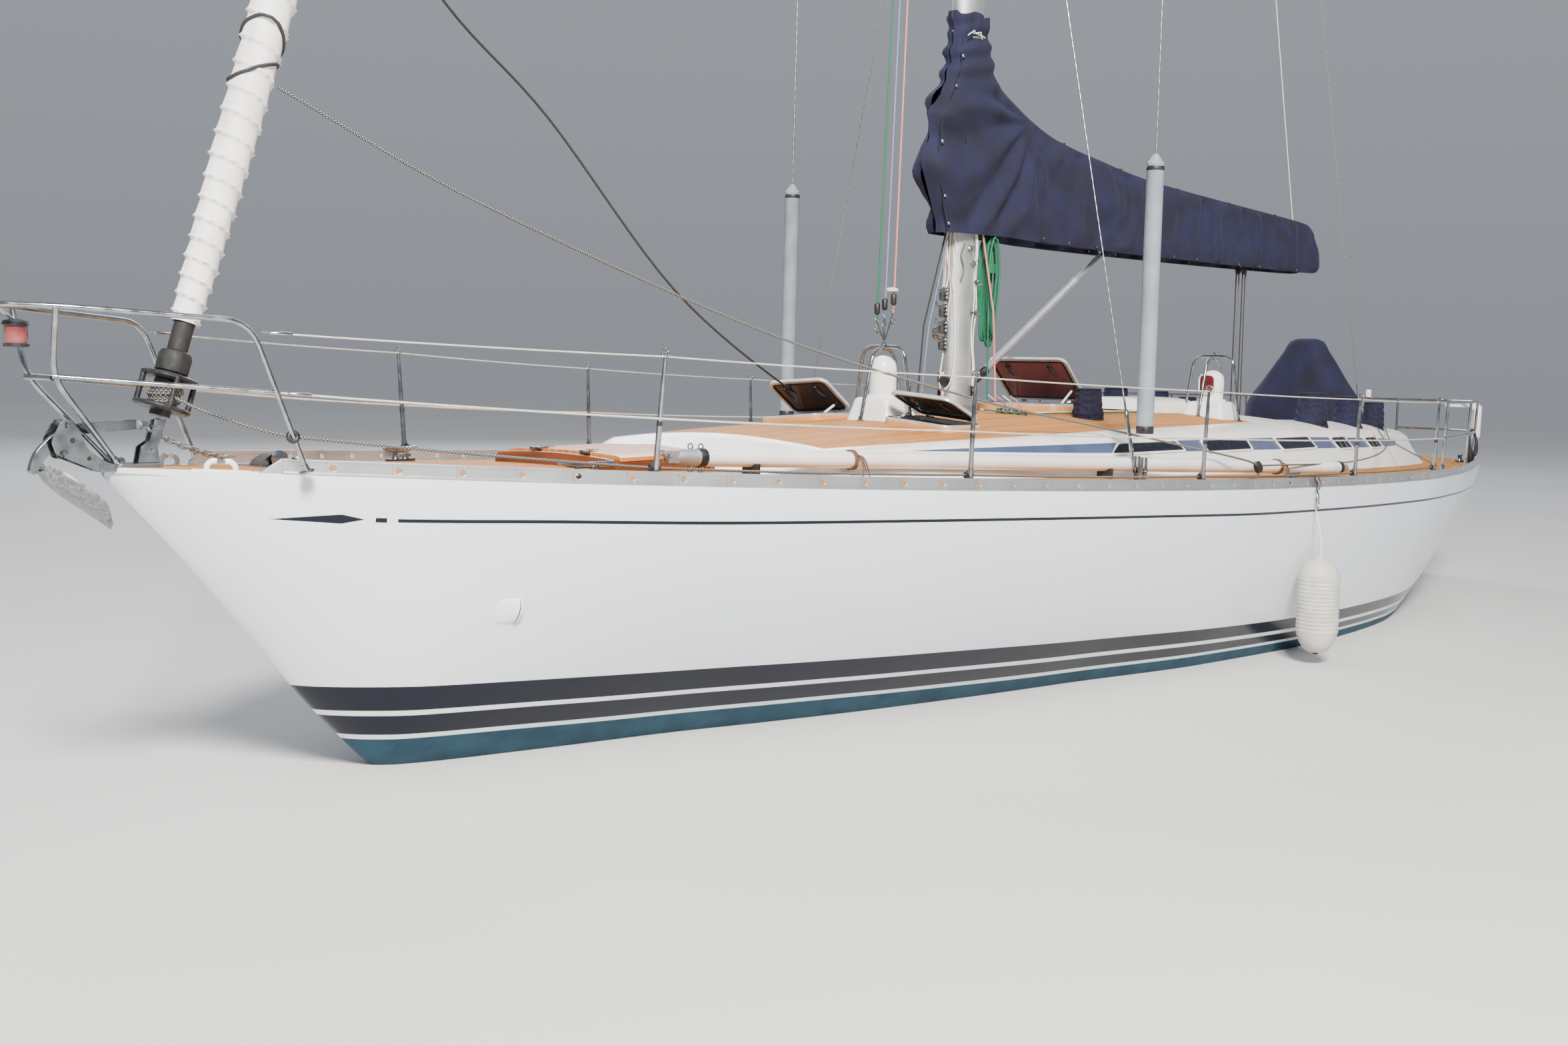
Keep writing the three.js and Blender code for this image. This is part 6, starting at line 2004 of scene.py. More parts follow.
def make_shrouds():
    for side, label in ((1, "port"), (-1, "starboard")):
        shape = Shape()
        low = Vector((0.77, side * 1.52, deck_z(0.77, 1.52)))
        upper = Vector((0.75, side * 0.103, 8.08))
        way = (upper - low).normalized()
        shape.tube([low + way * 0.5, upper], 0.005, WIRE, 8)
        make_turnbuckle(shape, low + way * 0.06, way, 0.13, 0.42)
        cap = Vector((0.838, side * 1.609, deck_z(0.838, 1.6)))
        tips = [Vector((0.79, side * (half - 0.002), z + 0.02)) for z, half in SPREADERS]
        path = [cap + UP * 0.4] + tips + [Vector((0.75, side * 0.076, 21.45))]
        shape.tube(path, 0.0058, WIRE, 8)
        inner = [tips[0], Vector((0.76, side * 0.09, 14.15))]
        shape.tube(inner, 0.004, WIRE, 8)
        # Chainplates through the deck: base plate, fork and pin under each shroud
        for place in (low, cap):
            x, y, z = place
            shape.block((x - 0.07, y - 0.03, z - 0.01), (x + 0.07, y + 0.03, z + 0.006), STEEL)
            shape.slab(
                [(x - 0.03, y, z), (x + 0.03, y, z), (x + 0.022, y, z + 0.085), (x - 0.022, y, z + 0.085)],
                (0, 0.009 * side, 0), STEEL
            )
            for off in (-0.014, 0.016):
                shape.slab(
                    [
                        (x - 0.017, y + off, z + 0.045), (x + 0.017, y + off, z + 0.045),
                        (x + 0.014, y + off, z + 0.16), (x - 0.014, y + off, z + 0.16),
                    ],
                    (0, 0.006, 0), STEEL
                )
            shape.tube([(x, y - 0.026, z + 0.065), (x, y + 0.03, z + 0.065)], 0.008, STEEL, 12)
        assemble(f"shroud_wires_{label}", YACHT, shape, (f"shrouds_{label}",), sharp=50)
        tube = Shape()
        foot = Vector((0.838, side * 1.609, 1.675))
        tilt = (tips[0] - foot).normalized()
        tube.turned(
            [
                (0.052, 0.0), (0.057, 0.004), (0.057, 1.77), (0.0585, 1.772), (0.0585, 1.79), (0.05, 1.796),
                (0.014, 1.85),
            ],
            foot, TUBE_PLASTIC, 30, tilt
        )
        tube.turned([(0.0575, 0.0), (0.0585, 0.002), (0.0585, 0.05), (0.0575, 0.052)], foot, ACETAL, 30, tilt)
        tube.turned([(0.0575, 1.74), (0.059, 1.742), (0.059, 1.766), (0.0575, 1.768)], foot, ACETAL, 30, tilt)
        assemble(f"shroud_cover_{label}", YACHT, tube, (f"shroud_tube_{label}",), sharp=40)


make_shrouds()


def make_backstay():
    shape = Shape()
    foot, head = Vector((-7.08, 0, 1.155)), Vector((0.492, 0, 21.6))
    way = (head - foot).normalized()
    shape.tube([foot + way * 0.9, head], 0.005, WIRE, 8)
    shape.tube([foot, foot + way * 0.12], 0.009, STEEL, 10)
    shape.turned(
        [
            (0.01, 0.1), (0.024, 0.11), (0.024, 0.16), (0.019, 0.17), (0.019, 0.56), (0.024, 0.57),
            (0.024, 0.62), (0.01, 0.64),
        ],
        foot, STEEL, 22, way
    )
    shape.turned([(0.009, 0.62), (0.009, 0.86), (0.005, 0.92)], foot, STEEL, 14, way)
    shape.block((-7.12, -0.02, 1.08), (-7.06, 0.02, 1.2), STEEL)
    assemble("backstay_wire", YACHT, shape, ("backstay",), sharp=50)


make_backstay()


# Halyards led down the mast, spare ones made fast to the forward vent's guard, and the coiled tail
def make_halyards():
    shape = Shape()
    for turn, top, low, look, radius in (
        (-26, 3.2, 2.55, WHITE_ROPE, 0.0065), (-14, 3.2, 2.55, RED_FLECK, 0.0065),
        (-4, 3.2, 2.55, WHITE_ROPE, 0.0065), (8, 3.2, 2.4, RED_FLECK, 0.006),
        (24, 3.1, 2.57, WHITE_ROPE, 0.006), (52, 3.0, 2.72, LINE_ROPE, 0.006),
        (-24, 2.06, 1.82, WHITE_ROPE, 0.006), (-12, 2.06, 1.82, WHITE_ROPE, 0.006),
        (100, 3.1, 1.9, WHITE_ROPE, 0.0055), (112, 3.1, 1.86, WHITE_ROPE, 0.0055),
    ):
        path = [
            mast_face(
                top - (top - low) * k / 10, turn + 5 * math.sin(k * 0.9 + turn),
                0.012 + 0.006 * math.sin(k * 1.7)
            )
            for k in range(11)
        ]
        shape.tube(flowing(path, 3), radius, look, 8)
    for y, look, top_x in ((-0.03, GREEN_ROPE, 0.93), (0.0, BLUE_ROPE, 0.91), (0.035, RED_ROPE, 0.95)):
        foot = Vector((1.72 - y, 0.06 + y * 1.4, 2.42 + y))
        shape.tube([(top_x, y * 0.6, 21.3), foot], 0.0068, look, 8)
        shape.tube([foot, Vector((1.72, 0.06 + y * 0.4, 2.27))], 0.0095, STEEL, 10)
        for up in (0.02, -0.05):
            shape.tube(circle(foot + UP * up, 0.017, (0, 1, 0), 12), 0.0055, STEEL, 8, loop=True)
        shape.turned([(0.012, 0.06), (0.02, 0.07), (0.02, 0.13), (0.012, 0.14)], foot, ACETAL, 14)
    # Halyard stopper ball on the red one, running tails, a lazy loop round the cheek block
    shape.turned(
        [(0.012, -0.012), (0.042, -0.01), (0.045, 0.004), (0.03, 0.014), (0.012, 0.016)],
        (1.68, 0.09, 2.62), WHITE_ROPE, 22
    )
    shape.tube([(0.66, 0.1, 3.2), (0.63, 0.22, 2.5), (0.6, 0.24, 1.86)], 0.0075, RED_ROPE, 8)
    shape.tube([(0.64, 0.105, 3.2), (0.6, 0.15, 2.6), (0.56, 0.14, 1.86)], 0.0065, GREEN_ROPE, 8)
    shape.tube([(0.93, 0.05, 3.2), (1.08, -0.03, 2.4), (1.12, -0.06, 1.84)], 0.0065, BLUE_ROPE, 8)
    shape.tube([(0.9, 0.0, 3.2), (1.05, -0.1, 2.4), (1.08, -0.12, 1.84)], 0.0065, BLACK_ROPE, 8)
    loop = [
        mast_face(2.95, 20, 0.014), mast_face(2.6, 26, 0.012), mast_face(2.25, 34, 0.014),
        mast_face(2.0, 26, 0.04), mast_face(1.93, 4, 0.06), mast_face(2.0, -14, 0.04),
        mast_face(2.2, -15, 0.012),
    ]
    shape.tube(flowing(loop, 6), 0.006, WHITE_ROPE, 8)
    # Green coil hung on the aft port quarter, its turns gathered by a binding near the top
    hang, long, wide = Vector((0.55, 0.085, 3.06)), 0.76, 0.08
    steps, turns = 26, 9
    path = []
    for n in range(turns * steps):
        a = 2 * math.pi * n / steps
        turn = n // steps
        grow = 1 + 0.06 * math.sin(turn * 2.1)
        pinch = 0.55 + 0.45 * min(abs(math.cos(a / 2) ** 2 - 0.22) * 2.2, 1)
        offset = Vector((0.014 * math.cos(turn * 2.4), 0.02 * math.sin(turn * 1.7), 0))
        path.append(
            hang + offset
            + Vector((
                wide * grow * pinch * math.sin(a) - 0.03, 0.01 * turn - 0.03,
                -long * grow * (1 - math.cos(a)) / 2,
            ))
        )
    shape.tube(path, 0.0076, GREEN_ROPE, 8)
    for n in range(5):
        shape.tube(
            circle(hang + Vector((-0.03, 0.008, -0.2 - 0.013 * n)), 0.047, (0, 0.1, 1), 18), 0.0076,
            GREEN_ROPE, 8, loop=True
        )
    shape.tube(
        [hang + Vector((-0.03, 0, -0.01)), hang + Vector((0.04, -0.01, 0.0)), mast_face(3.05, 110, 0.01)],
        0.006, GREEN_ROPE, 8
    )
    assemble("halyards", YACHT, shape, sharp=60)
    lift = Shape()
    lift.tube([(0.52, 0, 21.45), (-4.93, 0, 3.6)], 0.0045, WHITE_ROPE, 8)
    assemble("topping_lift", BOOM, lift, sharp=60)


make_halyards()


# Genoa sheets from the furled sail to the side decks, the furling line and the lines led aft over the roof
def make_lines():
    shape = Shape()
    port = [
        tuple(on_stay(3.32) + Vector((-0.095, 0.085, 0))), (5.3, 0.25, 2.87), (3.41, 0.5, 2.276),
        (1.99, 1.0, 1.9), (0.72, 1.2, 1.7), (-0.28, 1.72, 1.49), (-0.6, 1.76, 1.42),
    ]
    shape.tube(flowing(port, 8), 0.0075, LINE_ROPE, 8)
    starboard = [
        tuple(on_stay(4.62) + Vector((-0.1, -0.09, 0))), (5.05, -0.4, 4.0), (4.16, -0.6, 3.52),
        (3.1, -0.6, 2.562), (2.0, -0.62, 1.955), (0.9, -1.1, 1.76), (-0.5, -1.74, 1.46),
    ]
    shape.tube(flowing(starboard, 8), 0.0075, BLACK_ROPE, 8)
    for side in (1, -1):
        shape.tube(
            flowing(
                [
                    (-0.62, side * 1.76, 1.42), (-2.2, side * 1.8, 1.4), (-3.6, side * 1.55, 1.46),
                    (-4.3, side * 1.2, 1.62),
                ],
                8
            ),
            0.0065, LINE_ROPE, 8
        )
        block = Vector((-0.6, side * 1.76, 1.41))
        shape.turned(
            [(0.03, -0.02), (0.044, -0.012), (0.044, 0.012), (0.03, 0.02)], block, ACETAL, 22, (0.1, 1, 0.3)
        )
        shape.tube([block, block - UP * 0.07], 0.012, STEEL, 12)
    lead = Vector((6.545, 0.5, 1.72))
    furling = [Vector((6.9, 0.12, 1.885)), Vector((6.74, 0.3, 1.79)), lead]
    furling += [post_foot(x) + Vector((0, -0.014, 0.055)) for x in STANCHIONS]
    furling += [
        post_foot(-3.95) + Vector((0.05, -0.03, 0.06)), Vector((-4.5, 1.25, 1.5)),
        Vector((-4.75, 1.1, 1.62)),
    ]
    for first, last in zip(furling, furling[1:]):
        shape.tube(hanging(first, last, 0.008, 8), 0.007, LINE_ROPE, 8)
    shape.tube(circle(lead, 0.02, (0.3, 1, 0.2), 14), 0.012, ACETAL, 8, loop=True)
    for y, look in (
        (0.3, RED_ROPE), (0.34, WHITE_ROPE), (0.38, GREEN_ROPE), (-0.3, RED_ROPE), (-0.34, BLUE_ROPE),
        (-0.38, WHITE_ROPE),
    ):
        side = 1 if y > 0 else -1
        path = [Vector((0.62, y * 0.4, deck_z(0.62, 0.1) + 0.03)), Vector((0.35, y, deck_z(0.35, y) + 0.012))]
        path += [Vector((x, y + side * 0.06, deck_z(x, y) + 0.012)) for x in (0.05, -0.7, -1.4)]
        shape.tube(flowing(path, 4), 0.0055, look, 8)
    # Deck organisers at the mast's foot
    for side in (1, -1):
        for n in range(4):
            y = side * (0.16 + 0.07 * n)
            place = Vector((0.42, y, deck_z(0.42, y)))
            shape.turned(
                [
                    (0.03, -0.006), (0.03, 0.012), (0.022, 0.016), (0.022, 0.028), (0.03, 0.032),
                    (0.026, 0.04),
                ],
                place, STEEL, 18
            )
            path = [
                place + UP * 0.04, place + Vector((0.05, -side * 0.02, 0.1)),
                place + Vector((0.1, -side * 0.05, 0.14)),
            ]
            shape.tube(path, 0.006, RED_ROPE if n % 2 else WHITE_ROPE, 8)
    assemble("running_rigging", YACHT, shape, sharp=60)


make_lines()
# Headsail furler: a caged drum at the foot of the stay, and the rolled sail in its white strip
FURLER = "furler"
DRUM_FOOT = on_stay(1.8)


def make_furler_drum():
    shape = Shape()
    shape.turned(
        [
            (0.046, 0.0), (0.046, 0.02), (0.06, 0.024), (0.118, 0.028), (0.127, 0.036), (0.127, 0.044),
            (0.118, 0.05), (0.05, 0.052),
        ],
        DRUM_FOOT, ACETAL, 40, stay_way
    )
    shape.turned(
        [(0.05, 0.05), (0.062, 0.056), (0.062, 0.162), (0.05, 0.168)], DRUM_FOOT, ACETAL, 32, stay_way
    )
    for n in range(9):
        middle = DRUM_FOOT + stay_way * (0.058 + 0.012 * n)
        shape.tube(
            circle(middle, 0.069 + 0.006 * math.sin(n * 1.9), stay_way, 30), 0.0062, LINE_ROPE, 8, loop=True
        )
    shape.turned(
        [(0.07, 0.166), (0.116, 0.168), (0.126, 0.174), (0.126, 0.186), (0.116, 0.191), (0.07, 0.19)],
        DRUM_FOOT, ACETAL, 40, stay_way
    )
    side = stay_way.orthogonal().normalized()
    other = stay_way.cross(side)
    for n in range(4):
        a = 2 * math.pi * (n + 0.4) / 4
        out = side * math.cos(a) + other * math.sin(a)
        shape.tube([DRUM_FOOT + out * 0.115 + stay_way * h for h in (0.036, 0.18)], 0.013, ACETAL, 12)
    shape.turned(
        [(0.062, 0.188), (0.0635, 0.19), (0.0635, 0.2), (0.062, 0.202)], DRUM_FOOT, STEEL, 36, stay_way
    )
    shape.turned(
        [
            (0.06, 0.2), (0.073, 0.206), (0.074, 0.28), (0.066, 0.298), (0.05, 0.306), (0.0455, 0.31),
            (0.0455, 0.47),
        ],
        DRUM_FOOT, RUBBER_AND_SHADE, 36, stay_way
    )
    assemble("furler_drum_caged", FURLER, shape, ("furler_drum",), sharp=35)


make_furler_drum()

SAIL_ROLL = (
    (0.43, 0.05), (0.5, 0.056), (0.9, 0.074), (2.3, 0.092), (4.5, 0.098), (9.0, 0.092), (14.5, 0.074),
    (19.2, 0.046), (20.1, 0.02),
)
roll_radius = curve_of(SAIL_ROLL, 1)


PITCH_FOOT, PITCH_GROWTH, PITCH_TOP = 0.082, 0.033, 0.16


def roll_turns(h):
    """Turns of the sail's edge up to a distance along the stay: its pitch grows, then stays even."""
    even = 0.5 + (PITCH_TOP - PITCH_FOOT) / PITCH_GROWTH
    pitch = PITCH_FOOT + PITCH_GROWTH * (min(h, even) - 0.5)
    return math.log(pitch / PITCH_FOOT) / PITCH_GROWTH + max(h - even, 0) / PITCH_TOP


def roll_point(h, turn, out=0.0):
    """Point on the rolled sail; each wrap ends in a ridge that falls away over the next one."""
    side = Vector((0, 1, 0))
    other = stay_way.cross(side)
    phase = (roll_turns(h) + turn / (2 * math.pi)) % 1.0
    ridge = math.exp(-((phase - 0.5) / 0.07) ** 2) * 0.011
    slack = (1.5 - phase if phase > 0.5 else 0.5 - phase) * 0.009
    crease = noise.noise(Vector((math.cos(turn) * 2.2, math.sin(turn) * 2.2, h * 9))) * 0.0035
    crease += noise.noise(Vector((math.cos(turn) * 1.2 + 7, math.sin(turn) * 1.2, h * 2.1))) * 0.005
    radius = roll_radius(h) + ridge + slack + crease + out
    return DRUM_FOOT + stay_way * h + (side * math.cos(turn) + other * math.sin(turn)) * radius


def make_furled_sail():
    shape = Shape()
    heights = []
    h = 0.44
    while h < 20.02:
        heights.append(h)
        h += 0.009 if h < 3.2 else 0.06
    steps = 44
    # The leech edge runs up the aft side as an open lap
    rows = []
    for h in heights:
        rows.append([
            roll_point(h, math.pi * 0.9 + 2 * math.pi * k / steps * 0.995, 0.003 * (k / steps))
            for k in range(steps + 1)
        ])
    shape.skin(rows, SLEEVE)
    sail = assemble("furled_genoa_sleeve", FURLER, shape, ("furled_genoa",), sharp=70)
    ropes = Shape()
    for low, lean, phase in ((1.66, 0.07, 0.4), (1.83, 0.075, 2.2), (2.36, 0.08, 1.0)):
        loop = [
            roll_point(low + lean * math.sin(t + phase), t, 0.006)
            for t in [2 * math.pi * k / 36 for k in range(36)]
        ]
        ropes.tube(loop, 0.0085, BLACK_ROPE, 8, loop=True)
    lashing = assemble("genoa_lashings", FURLER, ropes, sharp=60)


make_furled_sail()

# Boom: an oval alloy section that rises a little aft
GOOSENECK, BOOM_END, BOOM_Z = 0.545, -5.35, 3.19


def boom_height(x):
    return BOOM_Z + (GOOSENECK - x) * 0.09 / 5.895


def make_boom():
    shape = Shape()
    rows = []
    for i in range(25):
        x = GOOSENECK - 0.05 + (BOOM_END - GOOSENECK + 0.05) * i / 24
        ring = []
        for k in range(32):
            a = 2 * math.pi * k / 32
            c, s = math.cos(a), math.sin(a)
            grow = (abs(c) ** 3.3 + abs(s) ** 3.3) ** (-1 / 3.3)
            ring.append(Vector((x, 0.069 * c * grow, boom_height(x) + 0.092 * s * grow)))
        rows.append(ring)
    shape.skin(rows, SPAR, around=True, ends=True)
    for x in (BOOM_END + 0.01, GOOSENECK - 0.06):
        shape.block(
            (x - 0.03, -0.06, boom_height(x) - 0.085), (x + 0.03, 0.06, boom_height(x) + 0.085), ALLOY
        )
    for y in (-0.03, 0.0, 0.03):
        shape.turned(
            [(0.03, -0.007), (0.03, 0.007)], (BOOM_END - 0.005, y, boom_height(BOOM_END)), ACETAL, 20,
            (0, 1, 0)
        )
    shape.tube([(0.6, 0, boom_height(0.5) + 0.05), (0.6, 0, boom_height(0.5) - 0.05)], 0.012, STEEL, 14)
    shape.block((0.47, -0.018, boom_height(0.5) - 0.045), (0.597, 0.018, boom_height(0.5) + 0.045), STEEL)
    for x in (-3.82, -3.66, -1.22):
        shape.tube(circle((x, 0, boom_height(x) - 0.105), 0.03, (0, 1, 0), 18), 0.006, STEEL, 8, loop=True)
    assemble("boom_section", BOOM, shape, ("boom",), sharp=45)


make_boom()


def make_vang():
    shape = Shape()
    foot, head = Vector((0.53, 0, 2.0)), Vector((-1.25, 0, boom_height(-1.25) - 0.157))
    way = (head - foot).normalized()
    long = (head - foot).length
    shape.turned(
        [
            (0.012, 0.0), (0.03, 0.02), (0.032, 0.05), (0.032, 0.12), (0.036, 0.125), (0.036, 0.16),
            (0.03, 0.165),
        ],
        foot, ACETAL, 22, way
    )
    shape.turned(
        [
            (0.028, 0.15), (0.028, long - 0.5), (0.031, long - 0.495), (0.031, long - 0.46),
            (0.022, long - 0.455), (0.022, long - 0.05), (0.012, long - 0.03),
        ],
        foot, SPAR, 26, way
    )
    shape.turned(
        [(0.012, long - 0.05), (0.018, long - 0.03), (0.018, long), (0.01, long + 0.012)], foot, STEEL, 18,
        way
    )
    shape.slab(
        [
            head + Vector((-0.045, -0.012, 0.06)), head + Vector((0.045, -0.012, 0.06)),
            head + Vector((0.018, -0.012, -0.02)), head + Vector((-0.018, -0.012, -0.02)),
        ],
        (0, 0.024, 0), STEEL
    )
    shape.tube([head + Vector((0, -0.03, 0)), head + Vector((0, 0.03, 0))], 0.008, STEEL, 12)
    assemble("vang_strut", BOOM, shape, ("vang",), sharp=40)
    bracket = Shape()
    bracket.slab(
        [
            (0.61, -0.014, 1.93), (0.61, -0.014, 2.07), (0.535, -0.014, 2.03), (0.515, -0.014, 2.0),
            (0.535, -0.014, 1.97),
        ],
        (0, 0.004, 0), STEEL
    )
    bracket.slab(
        [
            (0.61, 0.01, 1.93), (0.61, 0.01, 2.07), (0.535, 0.01, 2.03), (0.515, 0.01, 2.0),
            (0.535, 0.01, 1.97),
        ],
        (0, 0.004, 0), STEEL
    )
    assemble("vang_bracket", YACHT, bracket)


make_vang()

# Sail cover over the flaked mainsail, one cloth open along its foot and round the mast at its collar.
# Ribs from the front seam aft: place along the cloth, hem x and z, top x, z and y, half width at the foot
# and near the top
COVER_RIBS = (
    (0.0, 1.085, 3.06, 0.93, 4.63, 0.0, 0.008, 0.004), (0.12, 1.06, 3.06, 0.905, 4.63, 0.052, 0.088, 0.07),
    (0.26, 0.95, 3.062, 0.84, 4.63, 0.094, 0.145, 0.105),
    (0.42, 0.8, 3.064, 0.75, 4.63, 0.11, 0.168, 0.122), (0.58, 0.67, 3.066, 0.65, 4.625, 0.09, 0.178, 0.12),
    (0.72, 0.56, 3.068, 0.585, 4.615, 0.045, 0.184, 0.105),
    (0.82, 0.49, 3.069, 0.56, 4.6, 0.006, 0.187, 0.09), (0.98, 0.39, 3.069, 0.49, 4.36, 0.0, 0.19, 0.085),
    (1.16, 0.25, 3.068, 0.36, 4.21, 0.0, 0.192, 0.085), (1.42, 0.02, 3.062, 0.12, 4.09, 0.0, 0.192, 0.085),
    (1.72, -0.24, 3.058, -0.14, 3.99, 0.0, 0.192, 0.08), (2.02, -0.5, 3.058, -0.48, 3.9, 0.0, 0.19, 0.075),
    (2.68, -1.15, 3.062, -1.15, 3.815, 0.0, 0.19, 0.07), (3.53, -2.0, 3.07, -2.0, 3.735, 0.0, 0.184, 0.066),
    (4.73, -3.2, 3.085, -3.2, 3.69, 0.0, 0.168, 0.06), (5.93, -4.4, 3.105, -4.4, 3.655, 0.0, 0.148, 0.055),
    (6.73, -5.2, 3.125, -5.2, 3.625, 0.0, 0.122, 0.048), (6.93, -5.4, 3.165, -5.4, 3.56, 0.0, 0.092, 0.038),
    (7.0, -5.455, 3.22, -5.45, 3.49, 0.0, 0.03, 0.012),
)
cover_curves = [curve_of(COVER_RIBS, column) for column in range(1, 8)]


def cover_point(s, t, out=0.0):
    """Point on the cover's port half: s along the cloth from the front seam, t from the hem up."""
    hem_x, hem_z, top_x, top_z, top_y, wide, thin = [line(s) for line in cover_curves]
    ahead = max(1 - s / 0.5, 0.0)
    x = hem_x + (top_x - hem_x) * t
    z = hem_z + (top_z - hem_z) * t
    x += 0.215 * math.sin(math.pi * min(t / 0.76, 1)) ** 1.2 * min(ahead * 1.6, 1) * (1 - 0.5 * (1 - ahead))
    if s < 0.82:
        close = 1 - t ** 7
        y = (wide + (thin - wide) * min(t * 1.1, 1)) * close ** 0.5 + top_y * (1 - close ** 0.5)
    else:
        y = (wide + (thin - wide) * t) * (1 - t ** 6) ** 0.5
    y *= 0.86 + 0.14 * min(t / 0.18, 1)
    # Tie near the collar's top, with the rim flaring above it
    if s < 0.9:
        tie = math.exp(-((z - 4.49) / 0.045) ** 2)
        rim = max((z - 4.53) / 0.1, 0)
        fade = min((0.9 - s) / 0.2, 1)
        middle = 0.75
        squeeze = 1 - (0.13 * tie - 0.1 * rim) * fade
        x = middle + (x - middle) * squeeze
        y *= squeeze
        y += 0.012 * rim * math.sin(s * 34) * fade
        z += 0.012 * rim * math.sin(s * 21 + 1) * fade
    return Vector((x, y + out, z)), wide


def cover_folds(p, s, t, side):
    """How far the cloth stands off its even shape: swags from the seam, a fan below the peak and slanted
    folds aft."""
    free = min(t / 0.06, 1) * min((1 - t) / 0.1, 1)
    ahead = max(min((1.9 - s) / 0.7, 1), 0)
    warp = noise.noise(Vector((p.x * 1.6, side * 3.1, p.z * 1.6)))
    # Swags that hang between the seam and the peak over the boom's fore end
    peak = Vector((-0.02, 0, 3.98))
    away = math.hypot(p.x - peak.x, p.z - peak.z)
    angle = math.atan2(peak.z - p.z, p.x - peak.x)
    fan = math.sin(angle * 15 + warp * 3.2 + away * 1.2)
    fan = (abs(fan) ** 1.5) * (1 if fan > 0 else -1)
    swag = fan * 0.036 * min(away / 0.45, 1) * ahead
    high = max(min((p.z - 3.98) / 0.2, 1), 0) * ahead
    rings = math.sin(p.z * 46 + p.x * 9 + warp * 3) * 0.014 * high
    # Slanted folds down the boom
    slope = math.sin((p.x * 1.0 + (p.z - 3.1) * 0.85) * 8.2 + warp * 4.4)
    slope = slope * abs(slope) ** 0.3
    fine = math.sin((p.x * 1.0 + (p.z - 3.1) * 0.7) * 23 + warp * 6) * 0.5
    aft = (1 - ahead) * (0.021 + 0.009 * noise.noise(Vector((p.x * 0.7, side, 0))))
    small = noise.noise(Vector((p.x * 9, p.y * 9 + side, p.z * 9))) * 0.006
    return (swag * (1 - high) + rings + (slope + fine) * aft + small) * free


def make_sail_cover():
    shape = Shape()
    count_s, count_t = 330, 44
    places = []
    for i in range(count_s + 1):
        places.append(7.0 * i / count_s if i else 0.0)
    heights = [1 - (1 - k / count_t) ** 1.25 for k in range(count_t + 1)]
    rows = []
    for s in places:
        port, starboard = [], []
        for t in heights:
            for side, row in ((1, port), (-1, starboard)):
                p, wide = cover_point(s, t)
                narrow = min(wide / 0.1, 1) * min(max(p.y, 0) / 0.05, 1)
                off = cover_folds(p, s, t, side)
                y = p.y + off * narrow
                x = p.x + (off * 1.1 if s < 0.35 else 0)
                row.append(Vector((x, side * y, p.z + 0.4 * off * (1 - narrow))))
        rows.append(port + list(reversed(starboard))[1:] if s >= 0.82 else port + list(reversed(starboard)))
    fore = [row for row in rows if len(row) == 2 * count_t + 2]
    aft = [row for row in rows if len(row) == 2 * count_t + 1]
    half = count_t + 1
    shape.skin([row[:half] for row in fore] + [aft[0][:half]], CANVAS)
    shape.skin([row[half:] for row in fore] + [aft[0][half - 1:]], CANVAS)
    shape.skin(aft, CANVAS)
    cover = assemble(
        "sail_cover", None, shape, ("boom_cover", "mast_cover"), sharp=75, outward=False,
        merge=0.0012
    )
    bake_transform(cover)
    fixed, swung = Shape(), Shape()
    # Front seam: a hem with press studs, its edge pulled open between them
    line = []
    for k in range(61):
        t = 0.015 + 0.9 * k / 60
        p, _ = cover_point(0.135, t, 0.004)
        gape = 0.007 * abs(math.sin(math.pi * t * 8.5))
        line.append(p + Vector((0.012 - gape, 0.006 + gape, 0)))
    fixed.tube(line, 0.0055, PIPING, 8)
    for t in (0.04, 0.16, 0.28, 0.4, 0.53, 0.66, 0.8):
        p, _ = cover_point(0.155, t, 0.012)
        fixed.turned([(0.011, -0.006), (0.011, 0.002), (0.007, 0.005)], p, STEEL, 14, (0.4, 0.9, 0))
    tie = []
    for k in range(34):
        a = 2 * math.pi * k / 34
        tie.append(
            Vector((
                0.75 + 0.168 * math.cos(a), 0.103 * math.sin(a),
                4.492 + 0.012 * math.cos(a) + 0.004 * math.sin(3 * a),
            ))
        )
    fixed.tube(tie, 0.005, WHITE_ROPE, 8, loop=True)
    for lean in (0.05, -0.03):
        fixed.tube(
            [(0.8, 0.106, 4.492), (0.8 + lean, 0.13, 4.5), (0.8 + lean * 2.2, 0.118, 4.46)], 0.0045,
            WHITE_ROPE, 8
        )
    for side in (1, -1):
        hem = [
            Vector((p.x, side * (p.y + 0.001), p.z))
            for p in [cover_point(1.5 + 5.3 * k / 60, 0.012)[0] for k in range(61)]
        ]
        swung.tube(hem, 0.0045, PIPING, 8)
        for k in range(13):
            p, _ = cover_point(1.55 + 5.2 * k / 12, 0.04, 0.0)
            swung.turned(
                [(0.011, -0.004), (0.011, 0.003), (0.007, 0.006)], (p.x, side * (p.y + 0.002), p.z), STEEL,
                14, (0, side, -0.1)
            )
    for k, s in enumerate((2.1, 3.0, 4.0, 5.0, 6.0)):
        p, _ = cover_point(s, 0.985)
        swung.turned([(0.016, -0.004), (0.016, 0.003), (0.01, 0.004)], p + Vector((0, 0, 0.006)), STEEL, 16)
    front = assemble("sail_cover_seam", YACHT, fixed, sharp=50)
    foot = assemble("sail_cover_hems", BOOM, swung, sharp=50)


make_sail_cover()


